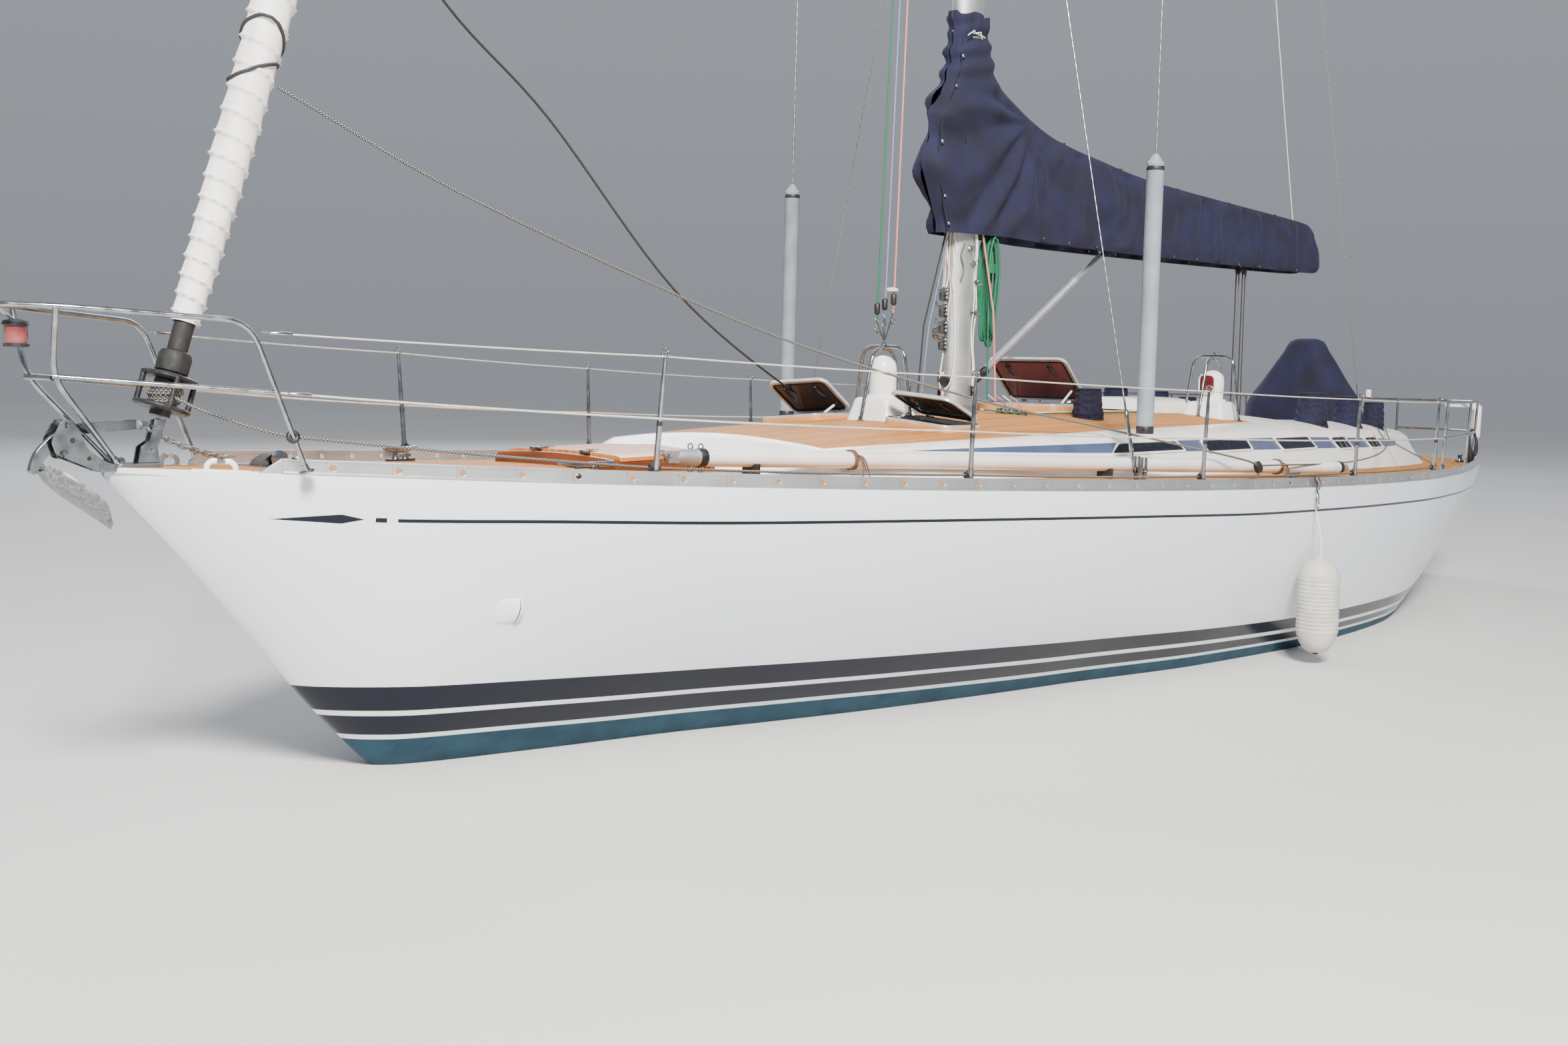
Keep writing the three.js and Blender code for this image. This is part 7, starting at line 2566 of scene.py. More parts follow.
# Mainsheet: a long block under the boom, its purchase and the block on the deck
def make_mainsheet():
    boom_block = Shape()
    top = Vector((-3.825, 0, boom_height(-3.8) - 0.13))
    for y in (-0.03, 0.03):
        boom_block.turned(
            [(0.028, -0.016), (0.042, -0.01), (0.042, 0.01), (0.028, 0.016)], top + Vector((0, y, -0.05)),
            ACETAL, 22, (0, 1, 0)
        )
    boom_block.block(top + Vector((-0.02, -0.05, -0.02)), top + Vector((0.02, 0.05, 0.03)), STEEL)
    assemble("mainsheet_boom_block", BOOM, boom_block, soften=0.002)
    deck_block = Shape()
    low = Vector((-3.84, 0.0, 1.33))
    for y in (-0.03, 0.03):
        deck_block.turned(
            [(0.028, -0.016), (0.042, -0.01), (0.042, 0.01), (0.028, 0.016)], low + Vector((0, y, 0.09)),
            ACETAL, 22, (0, 1, 0)
        )
    deck_block.block(low + Vector((-0.05, -0.8, -0.03)), low + Vector((0.05, 0.8, 0.0)), ALLOY)
    deck_block.block(low + Vector((-0.045, -0.06, 0.0)), low + Vector((0.045, 0.06, 0.05)), STEEL)
    assemble("mainsheet_deck_block", YACHT, deck_block, soften=0.002)
    shape = Shape()
    for x, y in ((0.028, 0.035), (-0.028, 0.035), (0.028, -0.035), (-0.028, -0.035), (0.0, 0.06)):
        first, last = low + Vector((x * 1.2, y, 0.1)), top + Vector((x, y * 0.9, -0.06))
        path = [first.lerp(last, k / 24) for k in range(25)]
        shape.tube(path, 0.0065, BLACK_ROPE if x > 0 else LINE_ROPE, 8)
    rope = assemble("mainsheet", None, shape, sharp=60)
    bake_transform(rope)


make_mainsheet()
# Deck hatches: a raised alloy frame lined with wood, and an acrylic lid in a rounded rim, propped open
def rounded_rectangle(x0, x1, y0, y1, radius, inset=0.0, steps=6):
    x0, x1, y0, y1 = x0 + inset, x1 - inset, y0 + inset, y1 - inset
    radius = max(radius - inset, 0.004)
    points = []
    for cx, cy, begin in (
        (x1 - radius, y1 - radius, 0), (x0 + radius, y1 - radius, 90), (x0 + radius, y0 + radius, 180),
        (x1 - radius, y0 + radius, 270),
    ):
        arc = []
        for k in range(steps + 1):
            a = math.radians(begin + 90 * k / steps)
            arc.append((cx + radius * math.cos(a), cy + radius * math.sin(a)))
        # A point a little way along each flat keeps the shading of the flats even
        a = math.radians(begin)
        before = (arc[0][0] + 0.012 * math.sin(a), arc[0][1] - 0.012 * math.cos(a))
        after = (arc[-1][0] - 0.012 * math.cos(a), arc[-1][1] - 0.012 * math.sin(a))
        points += [before, *arc, after]
    return points


def make_hatch(name, pane):
    """Wooden plinth with an alloy rim on it, and the lid, both lying with the roof's camber."""
    hinge, y, length, width, top, angle = HATCHES[name]
    y0, y1, front = y - width / 2, y + width / 2, hinge + length
    camber = (deck_z(hinge, abs(y) + 0.2) - deck_z(hinge, abs(y) - 0.2)) / 0.4 if y else 0

    def lift(points, level):
        return [Vector((px, py, level + camber * (abs(py) - abs(y)))) for px, py in points]

    def ring(radius, inset):
        return rounded_rectangle(hinge, front, y0, y1, radius, inset)

    surround = Shape()
    plinth = [[Vector((px, py, deck_z(px, py) + 0.0005)) for px, py in ring(0.05, -0.008)]]
    plinth += [
        lift(ring(0.05, inset), top + drop)
        for inset, drop in ((-0.008, -0.02), (-0.004, -0.016), (0.004, -0.015))
    ]
    surround.skin(plinth, TEAK_EDGE, around=True)
    rim = [
        (-0.004, -0.016), (-0.006, -0.01), (-0.004, -0.003), (0.0, 0), (0.022, 0), (0.027, -0.004),
        (0.028, -0.03),
    ]
    surround.skin([lift(ring(0.05, inset), top + drop) for inset, drop in rim], RIM_ALLOY, around=True)
    surround.skin([lift(ring(0.05, 0.028), top + drop) for drop in (-0.026, -0.2)], VARNISH, around=True)
    surround.tube(lift(ring(0.045, 0.015), top + 0.001), 0.0035, RUBBER_AND_SHADE, 8, loop=True)
    for place in lift(rounded_rectangle(hinge, front, y0, y1, 0.06, 0.007, 1), top):
        surround.turned([(0.006, 0), (0.006, 0.0012), (0.003, 0.002)], place, STEEL, 12)
    axis_z = top + 0.014
    for side in (-0.32, 0.32):
        place = Vector((hinge + 0.004, y + side * width, axis_z))
        surround.tube([place - Vector((0, 0.022, 0)), place + Vector((0, 0.022, 0))], 0.0085, ACETAL, 14)
        surround.block(place + Vector((-0.016, -0.02, -0.02)), place + Vector((0.012, 0.02, -0.004)), ALLOY)
    # Bracket inside the rim for the lid's stay
    stay_side = -1 if name == "port" else 1
    stay_x, stay_y = hinge + 0.64 * length, y + stay_side * (width / 2 - 0.045)
    bracket = lift([(stay_x, stay_y)], top - 0.006)[0]
    surround.block(bracket - Vector((0.016, 0.006, 0.016)), bracket + Vector((0.016, 0.006, 0.008)), STEEL)
    surround.tube([bracket, bracket + Vector((0, stay_side * 0.02, 0))], 0.006, STEEL, 10)
    assemble(f"{name}_hatch_surround", YACHT, surround, (f"{name}_hatch_frame",), sharp=35)
    lid = Shape()
    low, high = top + 0.006, top + 0.034

    def lid_ring(inset):
        return rounded_rectangle(hinge + 0.016, front, y0, y1, 0.065, inset, 8)

    rim = [
        (0.044, high - 0.005), (0.04, high), (0.012, high), (0.004, high - 0.004), (0.0, high - 0.011),
        (0.0, low + 0.003), (0.003, low), (0.026, low), (0.03, low + 0.003),
    ]
    lid.skin([lift(lid_ring(inset), z) for inset, z in rim], RIM_ALLOY, around=True)
    lid.skin(
        [
            lift(lid_ring(inset), z)
            for inset, z in ((0.027, low - 0.003), (0.04, low - 0.003), (0.042, low + 0.004))
        ],
        RUBBER_AND_SHADE, around=True
    )
    lid.skin(
        [lift(lid_ring(inset), z) for inset, z in ((0.043, high - 0.004), (0.046, low + 0.003))], pane,
        around=True, ends=True
    )
    # Locking handles under the lid with their hubs on top, and the hinge leaves
    for side in (-0.27, 0.27):
        place = lift([(front - 0.075, y + side * width)], low + 0.002)[0]
        lid.turned([(0.02, 0.004), (0.02, -0.014), (0.014, -0.02)], place, ACETAL, 18)
        lid.tube(
            [
                place - UP * 0.014, place + Vector((-0.05, 0.012, -0.022)),
                place + Vector((-0.1, 0.03, -0.02)),
            ],
            [0.011, 0.01, 0.008], ACETAL, 10
        )
        lid.turned(
            [(0.018, 0), (0.018, 0.005), (0.012, 0.007)], (place.x, place.y, place.z + high - low - 0.006),
            ACETAL, 18
        )
    for side in (-0.32, 0.32):
        place = Vector((hinge + 0.006, y + side * width, axis_z))
        lid.block(place + Vector((0.012, -0.016, -0.006)), place + Vector((0.04, 0.016, 0.018)), ALLOY)
    pivot = Vector((hinge, 0, axis_z))
    turn = Matrix.Rotation(math.radians(-angle), 3, "Y")
    lid.points = [pivot + turn @ (p - pivot) for p in lid.points]
    # Short stay from the rim up to the open lid, near its hinge
    head = pivot + turn @ Vector((0.36 * length, stay_y, -0.006))
    foot = Vector((stay_x, stay_y, bracket.z + 0.01))
    lid.tube([foot, head.lerp(foot, 0.25)], 0.009, POLE_PAINT, 12)
    lid.tube([head.lerp(foot, 0.3), head], 0.0035, STEEL, 8)
    assemble(f"{name}_hatch_lid_rimmed", f"{name}_hatch", lid, (f"{name}_hatch_lid",), sharp=35)


for hatch_name, hatch_pane in (("port", SMOKED), ("starboard", SMOKED), ("saloon", WINE)):
    make_hatch(hatch_name, hatch_pane)

# Fore hatch: varnished arched beams with low sides between them and a varnished lid
FORE, AFT = 4.62, 3.85


def arched_beam(shape, x0, x1, half, low, rise, arch):
    """Beam whose top is an arch with rounded edges."""
    count = 40
    base = deck_height((x0 + x1) / 2, 0) - 0.03 + rise - arch
    cross = [
        (x0, -1), (x0, -0.008), (x0 + 0.004, -0.002), (x0 + 0.012, 0.0), (x1 - 0.012, 0.0),
        (x1 - 0.004, -0.002), (x1, -0.008), (x1, -1),
    ]
    rows = []
    for k in range(count + 1):
        y = -half + 2 * half * k / count
        top = base + arch * (1 - (y / half) ** 2)
        end = min((half - abs(y)) / 0.02, 1)
        top -= 0.02 * (1 - end) ** 2
        rows.append([Vector((x, y, low if drop == -1 else top + drop)) for x, drop in cross])
    shape.skin(rows, VARNISH, around=True, ends=True)


def make_fore_hatch():
    shape = Shape()
    arched_beam(shape, FORE - 0.04, FORE, 0.52, 1.45, 0.103, 0.022)
    count = 40
    low = deck_height(AFT + 0.02, 0) - 0.03
    # Aft beam with its hand slot: a bridge over a gap between two feet
    base, arch, half = low + 0.15 - 0.062, 0.062, 0.52
    rows = []
    for k in range(count + 1):
        y = -half + 2 * half * k / count
        top = base + arch * (1 - (y / half) ** 2) - 0.02 * (1 - min((half - abs(y)) / 0.02, 1)) ** 2
        lift = 0.043 if abs(y) < 0.14 else 0.0
        foot = top - 0.036 if lift and abs(y) < 0.14 else 1.45
        rows.append([
            Vector((x, y, z))
            for x, z in (
                (AFT, foot), (AFT, top - 0.01), (AFT + 0.01, top), (AFT + 0.03, top),
                (AFT + 0.04, top - 0.01), (AFT + 0.04, foot),
            )
        ])
    shape.skin(rows, VARNISH, around=True, ends=True)
    shape.block((AFT, -0.16, 1.45), (AFT + 0.04, 0.16, base + arch - 0.078), VARNISH)
    for side in (1, -1):
        rows = []
        for x in [AFT + 0.02 + (FORE - AFT - 0.04) * k / 10 for k in range(11)]:
            top = deck_height(x, 0) - 0.03 + 0.103 + 0.035 * (FORE - x) / (FORE - AFT) - 0.034
            rows.append([
                Vector((x, side * yy, z))
                for yy, z in (
                    (0.442, 1.45), (0.49, 1.45), (0.49, top - 0.008), (0.482, top), (0.45, top),
                    (0.442, top - 0.008),
                )
            ])
        shape.skin(rows, VARNISH, around=True, ends=True)
    for side in (1, -1):
        shape.tube([(4.569, side * 0.2105, 1.5875), (4.569, side * 0.25, 1.5875)], 0.008, STEEL, 14)
        shape.block(
            (4.569, min(side * 0.2105, side * 0.25), 1.58),
            (4.586, max(side * 0.2105, side * 0.25), 1.5935), STEEL
        )

    # Black sheet on the aft beam's forward face: painted shade of the gap between beam and lid, with the gasket
    # tube along its top edge
    across = [-0.44 + 0.88 * k / 20 for k in range(21)]
    gasket_and_shade_sheet = [
        [Vector((AFT + 0.0415, y, low + 0.088 + 0.062 * (1 - (y / half) ** 2) - drop)) for y in across]
        for drop in (0.04, 0.1)
    ]
    shape.skin(gasket_and_shade_sheet, RUBBER_AND_SHADE)
    shape.tube([p + Vector((0.006, 0, -0.004)) for p in gasket_and_shade_sheet[0]], 0.011, RUBBER_AND_SHADE, 10)
    assemble("fore_hatch_beams", YACHT, shape, ("fore_hatch_coaming",), soften=0.0015)
    lid = Shape()
    x1, x0 = FORE - 0.067, AFT + 0.047
    rows, under = [], []
    for i in range(15):
        x = x0 + (x1 - x0) * i / 14
        level = deck_height(x, 0) - 0.03 + 0.103 + 0.035 * (FORE - x) / (FORE - AFT) - 0.028
        row = []
        for k in range(25):
            y = 0.486 * (2 * k / 24 - 1)
            round_off = 0.007 * max(abs(y) / 0.486 - 0.96, 0) / 0.04
            row.append(Vector((x, y, level + 0.024 + 0.016 * (1 - (y / 0.49) ** 2) - round_off)))
        rows.append(row)
        under.append([Vector((p.x, p.y, p.z - 0.022)) for p in reversed(row)])
    ring = [top + low_row for top, low_row in zip(rows, under)]
    lid.skin(ring, HATCH_TOP, around=True, ends=True)
    for side in (1, -1):
        lid.tube([(4.569, side * 0.17, 1.5875), (4.569, side * 0.21, 1.5875)], 0.008, STEEL, 14)
        lid.block(
            (4.509, min(side * 0.17, side * 0.21), 1.5825), (4.569, max(side * 0.17, side * 0.21), 1.5925),
            STEEL
        )
        lid.block(
            (4.46, min(side * 0.17, side * 0.21), 1.594), (4.53, max(side * 0.17, side * 0.21), 1.597),
            STEEL
        )
    assemble("fore_hatch_top", "fore_hatch", lid, ("fore_hatch_lid",), soften=0.001)


# Varnished plywood with teak strips let in: the same wet shine, orange-brown, strips 60 mm wide with
# pale seams between them.
def stripped_teak():
    material, tree, surface = start_finish(
        "varnished_strips", "#b0662c", 0.42, Coat_Weight=0.3, Coat_Roughness=0.2
    )
    place = object_place(tree)
    _, across, _ = put(tree, "SeparateXYZ", (place,), out=None)
    seam = put(
        tree, "Math", (
            put(tree, "Math", (put(tree, "Math", (across, 0.06), operation="DIVIDE"),), operation="FRACT"),
            0.07,
        ),
        operation="LESS_THAN"
    )
    grain = put(
        tree, "TexNoise", {"Vector": object_place(tree, (1.5, 50, 1)), "Scale": 1000 / 900, "Detail": 6}
    )
    wood = put(
        tree, "Mix",
        {0: put(tree, "MapRange", (grain, 0.3, 0.7)), 6: linear("#a8591d"), 7: linear("#d98f47")}, out=2,
        data_type="RGBA"
    )
    tree.links.new(
        put(tree, "Mix", {0: seam, 6: wood, 7: linear("#e0b887")}, out=2, data_type="RGBA"),
        surface.inputs["Base Color"]
    )
    tree.links.new(
        put(tree, "Bump", {"Height": grain, "Distance": 0.2 / 1000, "Strength": 0.2}),
        surface.inputs["Normal"]
    )
    return material


HATCH_TOP = stripped_teak()
make_fore_hatch()


# Sea hood with rounded shoulders, the sliding hatch under it, its rails and the washboards
def make_companionway():
    hood = Shape()
    rows = []
    for i in range(25):
        x = -1.4 - 0.8 * i / 24
        front = max(1 - (-1.4 - x) / 0.09, 0)
        top = 1.88 - 0.045 * front ** 2
        row = []
        for k in range(33):
            a = math.pi * k / 32
            c, s = math.cos(a), math.sin(a)
            grow = (abs(c) ** 7 + abs(s) ** 7) ** (-1 / 7)
            y = 0.4 * c * grow
            base = deck_z(x, 0.4) - 0.004
            z = base + (top - base + 0.0) * s * grow - 0.02 * (y / 0.4) ** 2 * s
            row.append(Vector((x, y, max(z, base))))
        rows.append(row)
    nose = [
        Vector((p.x + 0.03, p.y * 0.97, deck_z(-1.37, 0.39) - 0.004 + (p.z - deck_z(-1.4, 0.4)) * 0.35))
        for p in rows[0]
    ]
    hood.skin([nose] + rows, GELCOAT)
    inner = [[Vector((p.x, p.y * 0.965, p.z - 0.016)) for p in row] for row in (rows[-1], rows[-4])]
    hood.skin([rows[-1], inner[0], inner[1]], GELCOAT)
    assemble("sea_hood_moulded", YACHT, hood, ("sea_hood",), sharp=50)
    slide = Shape()
    rows = []
    for x in [-2.99 + 0.765 * k / 12 for k in range(13)]:
        rows.append(
            [
                Vector((x, 0.352 * (2 * k / 20 - 1), 1.791 + 0.018 * (1 - (2 * k / 20 - 1) ** 2) + 0.015))
                for k in range(21)
            ]
            + [
                Vector((x, 0.352 * (1 - 2 * k / 20), 1.791 + 0.018 * (1 - (1 - 2 * k / 20) ** 2)))
                for k in range(21)
            ]
        )
    slide.skin(rows, GELCOAT, around=True, ends=True)
    slide.block((-2.987, -0.3, 1.812), (-2.955, 0.3, 1.83), VARNISH)
    assemble("sliding_hatch_top", "sliding_hatch", slide, ("companionway_hatch",), soften=0.004)
    boards = Shape()
    for n in range(3):
        low = 1.352 + 0.14 * n
        boards.block((-2.942, -0.309, low), (-2.924, 0.309, low + 0.137), VARNISH)
    # Five black strips on the top board: painted shade of its vent slots
    for n in range(5):
        z = 1.66 + 0.014 * n
        boards.block((-2.9432, -0.1, z), (-2.9418, 0.1, z + 0.006), RUBBER_AND_SHADE)
    for side in (1, -1):
        boards.block(
            (-2.985, min(side * 0.312, side * 0.348), 1.7), (-1.445, max(side * 0.312, side * 0.348), 1.79),
            VARNISH
        )
        boards.block(
            (-2.955, min(side * 0.31, side * 0.34), 1.3), (-2.91, max(side * 0.31, side * 0.34), 1.74),
            VARNISH
        )
    assemble("washboards_varnished", YACHT, boards, ("washboards",), soften=0.003)


make_companionway()


# Ventilator box and cowl, with two hoops of tube as a guard
def make_dorade(name, x, y, base, box, forward_mouth):
    """Vent box of a given height with its cowl, closed or open forward, inside two crossing hoops."""
    shape = Shape()
    rings = [
        (-0.2, 0.186, 0.196), (0.0, 0.18, 0.19), (box - 0.03, 0.145, 0.155), (box - 0.01, 0.138, 0.148),
        (box, 0.124, 0.134),
    ]
    rows = []
    for up, a, b in rings:
        ring = rounded_rectangle(x - a, x + a, y - b, y + b, 0.035 + 0.02 * max(up, 0))
        rows.append([
            Vector((px, py, max(base + up, deck_z(px, py) - 0.01) if up < 0.01 else base + up))
            for px, py in ring
        ])
    shape.skin(rows, GELCOAT, around=True, ends=True)
    foot = Vector((x, y, base + box - 0.003))
    shape.turned([(0.112, 0), (0.112, 0.02), (0.094, 0.024)], foot, GELCOAT, 40)
    for n in range(40):
        a = 2 * math.pi * n / 40
        shape.tube(
            [foot + Vector((0.1105 * math.cos(a), 0.1105 * math.sin(a), h)) for h in (0.001, 0.02)], 0.0035,
            GELCOAT, 6
        )
    rows = []
    for r, h in (
        (0.094, 0.022), (0.094, 0.1), (0.097, 0.16), (0.092, 0.206), (0.078, 0.234), (0.054, 0.254),
        (0.027, 0.264), (0.004, 0.267),
    ):
        h *= 1 if forward_mouth else 1.1
        row = []
        for k in range(44):
            a = 2 * math.pi * k / 44
            bulge = 0
            if forward_mouth:
                bulge = 0.02 * max(math.cos(a), 0) ** 2 * math.exp(-((h - 0.15) / 0.07) ** 2)
            row.append(foot + Vector(((r + bulge) * math.cos(a), (r + bulge * 0.3) * math.sin(a), h)))
        rows.append(row)
    shape.skin(rows, GELCOAT, around=True, ends=True)
    if forward_mouth:
        mouth, lip = [], []
        for k in range(28):
            a = 2 * math.pi * k / 28
            c, s = math.cos(a), math.sin(a)
            grow = (abs(c) ** 4 + abs(s) ** 4) ** -0.25
            v, u = 0.078 * s * grow, 0.07 * c * grow
            out = math.sqrt(max(0.112 ** 2 - u * u, 0)) + 0.01 * math.exp(-(v / 0.09) ** 2)
            lip.append(foot + Vector((out + 0.006, u, 0.15 + v)))
            mouth.append(foot + Vector((out - 0.004, u * 0.9, 0.15 + v * 0.9)))
        shape.tube(lip, 0.007, GELCOAT, 10, loop=True)
        # Inside of the mouth, closed 30 mm in: red paint darkened as painted shade of the cowl's depth
        deep = [p + Vector((-0.03, 0, 0)) for p in mouth]
        shape.skin([lip, mouth, deep], SHADED_RED_PAINT, around=True, ends=True)
    # Guard hoops: a wide one across the boat and a narrow one along it, tied by a shackle where they cross
    for out, shoulder, rise, way in (
        (0.25, 0.175, 0.445, Vector((0, 1, 0))), (0.235, 0.11, 0.43, Vector((1, 0, 0))),
    ):
        feet, shoulders = [], []
        for side in (1, -1):
            foot_place = Vector((x, y, 0)) + way * side * out
            foot_place.z = deck_z(foot_place.x, foot_place.y)
            feet.append(foot_place)
            shoulders.append(Vector((x, y, base + rise + 0.075)) + way * side * shoulder)
        shape.tube(rounded([feet[0], shoulders[0], shoulders[1], feet[1]], 0.09, 7), 0.0125, STEEL, 14)
        for foot_place in feet:
            shape.turned(
                [(0.03, -0.004), (0.03, 0.004), (0.018, 0.008), (0.015, 0.03)], foot_place, STEEL, 18
            )
    for turn in (0.0, 1.4):
        loop = circle((x, y, base + 0.525), 0.02, (math.cos(turn), math.sin(turn), 0), 16, squeeze=1.3)
        shape.tube(loop, 0.0055, STEEL, 8, loop=True)
    assemble(f"{name}_with_guard", YACHT, shape, (name,), sharp=38)


make_dorade("dorade_forward", 1.72, 0.06, 1.708, 0.17, False)
make_dorade("dorade_aft", -2.1, 0.62, 1.715, 0.14, True)
# Canvas covers: winches, wheel and pedestal, each one open-footed cloth
def make_winch_cover(name, x, y, foot, top, height, seed, stands=True):
    base = min(deck_z(x + foot, y), deck_z(x - foot, y), deck_z(x, y + foot)) - 0.004
    base = max(base, 1.45)
    full = 1.64 + height - base
    shape = Shape()
    steps, rows = 72, []
    levels = (
        [0.0, 0.02, 0.05, 0.09, 0.13, 0.17] + [0.2 + 0.72 * k / 22 for k in range(23)]
        + [0.945, 0.968, 0.985, 0.995]
    )
    for t in levels:
        gather = math.exp(-((t - 0.13) / 0.05) ** 2)
        skirt = max(1 - t / 0.13, 0)
        even = foot + (top - foot) * min(t / 0.92, 1)
        row = []
        for k in range(steps):
            a = 2 * math.pi * k / steps
            fold = noise.noise(Vector((math.cos(a) * 2.6 + seed, math.sin(a) * 2.6, t * 3.0)))
            pleat = (
                math.sin(a * 13 + 2.2 * fold + seed)
                * (0.5 + 0.5 * noise.noise(Vector((math.cos(a), math.sin(a), seed * 3))))
            )
            radius = even * (1 - 0.1 * gather + 0.02 * skirt) + 0.006 * pleat * (skirt + gather * 1.6)
            radius += (
                0.011 * fold * math.sin(math.pi * min(t * 1.05, 1))
                + 0.004 * math.sin(9 * t * 3 + 5 * fold + 3 * math.cos(a + seed))
            )
            if t > 0.92:
                radius = top * (1.0 - 0.04 * (t - 0.92) / 0.08) + 0.003 * fold
            row.append(
                Vector((
                    x + radius * math.cos(a), y + radius * math.sin(a),
                    base + full * t + 0.004 * pleat * skirt,
                ))
            )
        rows.append(row)
    for share in (0.9, 0.75, 0.5, 0.25, 0.02):
        row = []
        for k in range(steps):
            a = 2 * math.pi * k / steps
            sag = 0.006 * noise.noise(Vector((math.cos(a) * share * 3, math.sin(a) * share * 3, seed)))
            row.append(
                Vector((
                    x + top * 0.96 * share * math.cos(a), y + top * 0.96 * share * math.sin(a),
                    base + full * (0.998 + 0.004 * (1 - share)) + sag * (1 - share),
                ))
            )
        rows.append(row)
    shape.skin(rows, CANVAS, around=True)
    cover = assemble(f"{name}_canvas", YACHT, shape, (name,) if stands else (), sharp=60)
    trim = Shape()
    ring = [
        Vector((x + (top + 0.001) * math.cos(a), y + (top + 0.001) * math.sin(a), base + full * 0.962))
        for a in [2 * math.pi * k / 48 for k in range(48)]
    ]
    trim.tube(ring, 0.0038, PIPING, 8, loop=True)
    cord = [
        Vector((x + foot * 0.925 * math.cos(a), y + foot * 0.925 * math.sin(a), base + full * 0.13))
        for a in [2 * math.pi * k / 48 for k in range(48)]
    ]
    trim.tube(cord, 0.004, PIPING, 8, loop=True)
    seam = [rows[k][9] + Vector((0.002, 0.001, 0)) for k in range(0, len(levels), 2)]
    trim.tube(seam, 0.0022, PIPING, 6)
    piping = assemble(f"{name}_piping", YACHT, trim, sharp=60)


WINCHES = (
    ("cockpit_1", -3.3, 0.99, 0.15, 0.11, 0.3), ("cockpit_2", -4.12, 0.985, 0.135, 0.108, 0.27),
    ("cockpit_3", -4.76, 0.98, 0.105, 0.088, 0.21),
)
for seed, (winch, wx, wy, foot_r, top_r, tall) in enumerate(WINCHES):
    make_winch_cover(f"winch_cover_{winch}_port", wx, wy, foot_r, top_r, tall, seed * 2.3)
    make_winch_cover(f"winch_cover_{winch}_starboard", wx, -wy, foot_r, top_r, tall, seed * 2.3 + 1)
make_winch_cover("winch_cover_roof", -0.05, 0.64, 0.12, 0.095, 0.32, 9.1)
make_winch_cover("winch_cover_roof_starboard", -0.05, -0.64, 0.12, 0.095, 0.32, 11.7, stands=False)

# Wheel cover: one cloth over the wheel's rim and the compass, down to the cockpit floor
WHEEL_COVER = (
    (1.12, -5.38, 0.33, 0.59), (1.5, -5.38, 0.34, 0.6), (1.8, -5.39, 0.32, 0.57), (2.08, -5.4, 0.23, 0.4),
    (2.33, -5.41, 0.165, 0.225), (2.44, -5.415, 0.125, 0.16), (2.47, -5.415, 0.07, 0.1),
)
wheel_lines = [curve_of(WHEEL_COVER, column) for column in (1, 2, 3)]


def make_wheel_cover():
    shape = Shape()
    steps = 120
    levels = [1.115 + 1.325 * (k / 54) for k in range(55)] + [2.452, 2.462, 2.468]
    rows = []
    for z in levels:
        middle, long, wide = [line(z) for line in wheel_lines]
        low = max((2.0 - z) / 0.88, 0)
        row = []
        for k in range(steps):
            a = 2 * math.pi * k / steps
            c, s = math.cos(a), math.sin(a)
            grow = (abs(c) ** 2.86 + abs(s) ** 2.86) ** (-1 / 2.86)
            warp = noise.noise(Vector((c * 1.3, s * 1.3, z * 0.8)))
            fall = math.sin(a * 9 + warp * 4) * 0.5 + math.sin(a * 21 + warp * 7) * 0.22
            swag = math.sin((z * 7 + abs(s) * 3.5 + warp * 4)) * 0.009 * math.exp(-((z - 1.9) / 0.45) ** 2)
            off = 0.026 * fall * low ** 1.2 + swag + 0.006 * noise.noise(Vector((c * 5, s * 5, z * 7)))
            row.append(
                Vector((
                    middle + (long * grow + off) * c, (wide * grow + off) * s, z + 0.01 * fall * (z < 1.13),
                ))
            )
        rows.append(row)
    middle, long, wide = [line(2.468) for line in wheel_lines]
    for share in (0.7, 0.4, 0.03):
        rows.append([
            Vector((
                middle + long * share * math.cos(2 * math.pi * k / steps),
                wide * share * math.sin(2 * math.pi * k / steps), 2.472,
            ))
            for k in range(steps)
        ])
    shape.skin(rows, CANVAS, around=True)
    cover = assemble("wheel_cover_canvas", YACHT, shape, ("wheel_cover",), sharp=65)
    trim = Shape()
    for k in (30, 90):
        trim.tube(
            [row[k] + Vector((0.0, 0.002 if k == 30 else -0.002, 0)) for row in rows[2:56:3]], 0.0025,
            PIPING, 6
        )
    hem = [p + Vector((0, 0, 0.006)) for p in rows[0]]
    trim.tube(hem, 0.004, PIPING, 6, loop=True)
    seams = assemble("wheel_cover_seams", YACHT, trim, sharp=60)


make_wheel_cover()


def make_pedestal():
    shape = Shape()
    shape.turned(
        [(0.13, 0.0), (0.13, 0.012), (0.095, 0.03), (0.09, 0.29), (0.1, 0.3)], (-5.38, 0, 0.82), GELCOAT, 36
    )
    assemble("steering_pedestal", YACHT, shape, ("pedestal",))


make_pedestal()


# Spinnaker pole: white painted tube with cast ends, lashed along the port side deck
POLE_FORE, POLE_AFT = Vector((4.64, 0.88, 1.594)), Vector((-2.06, 1.834, 1.359))


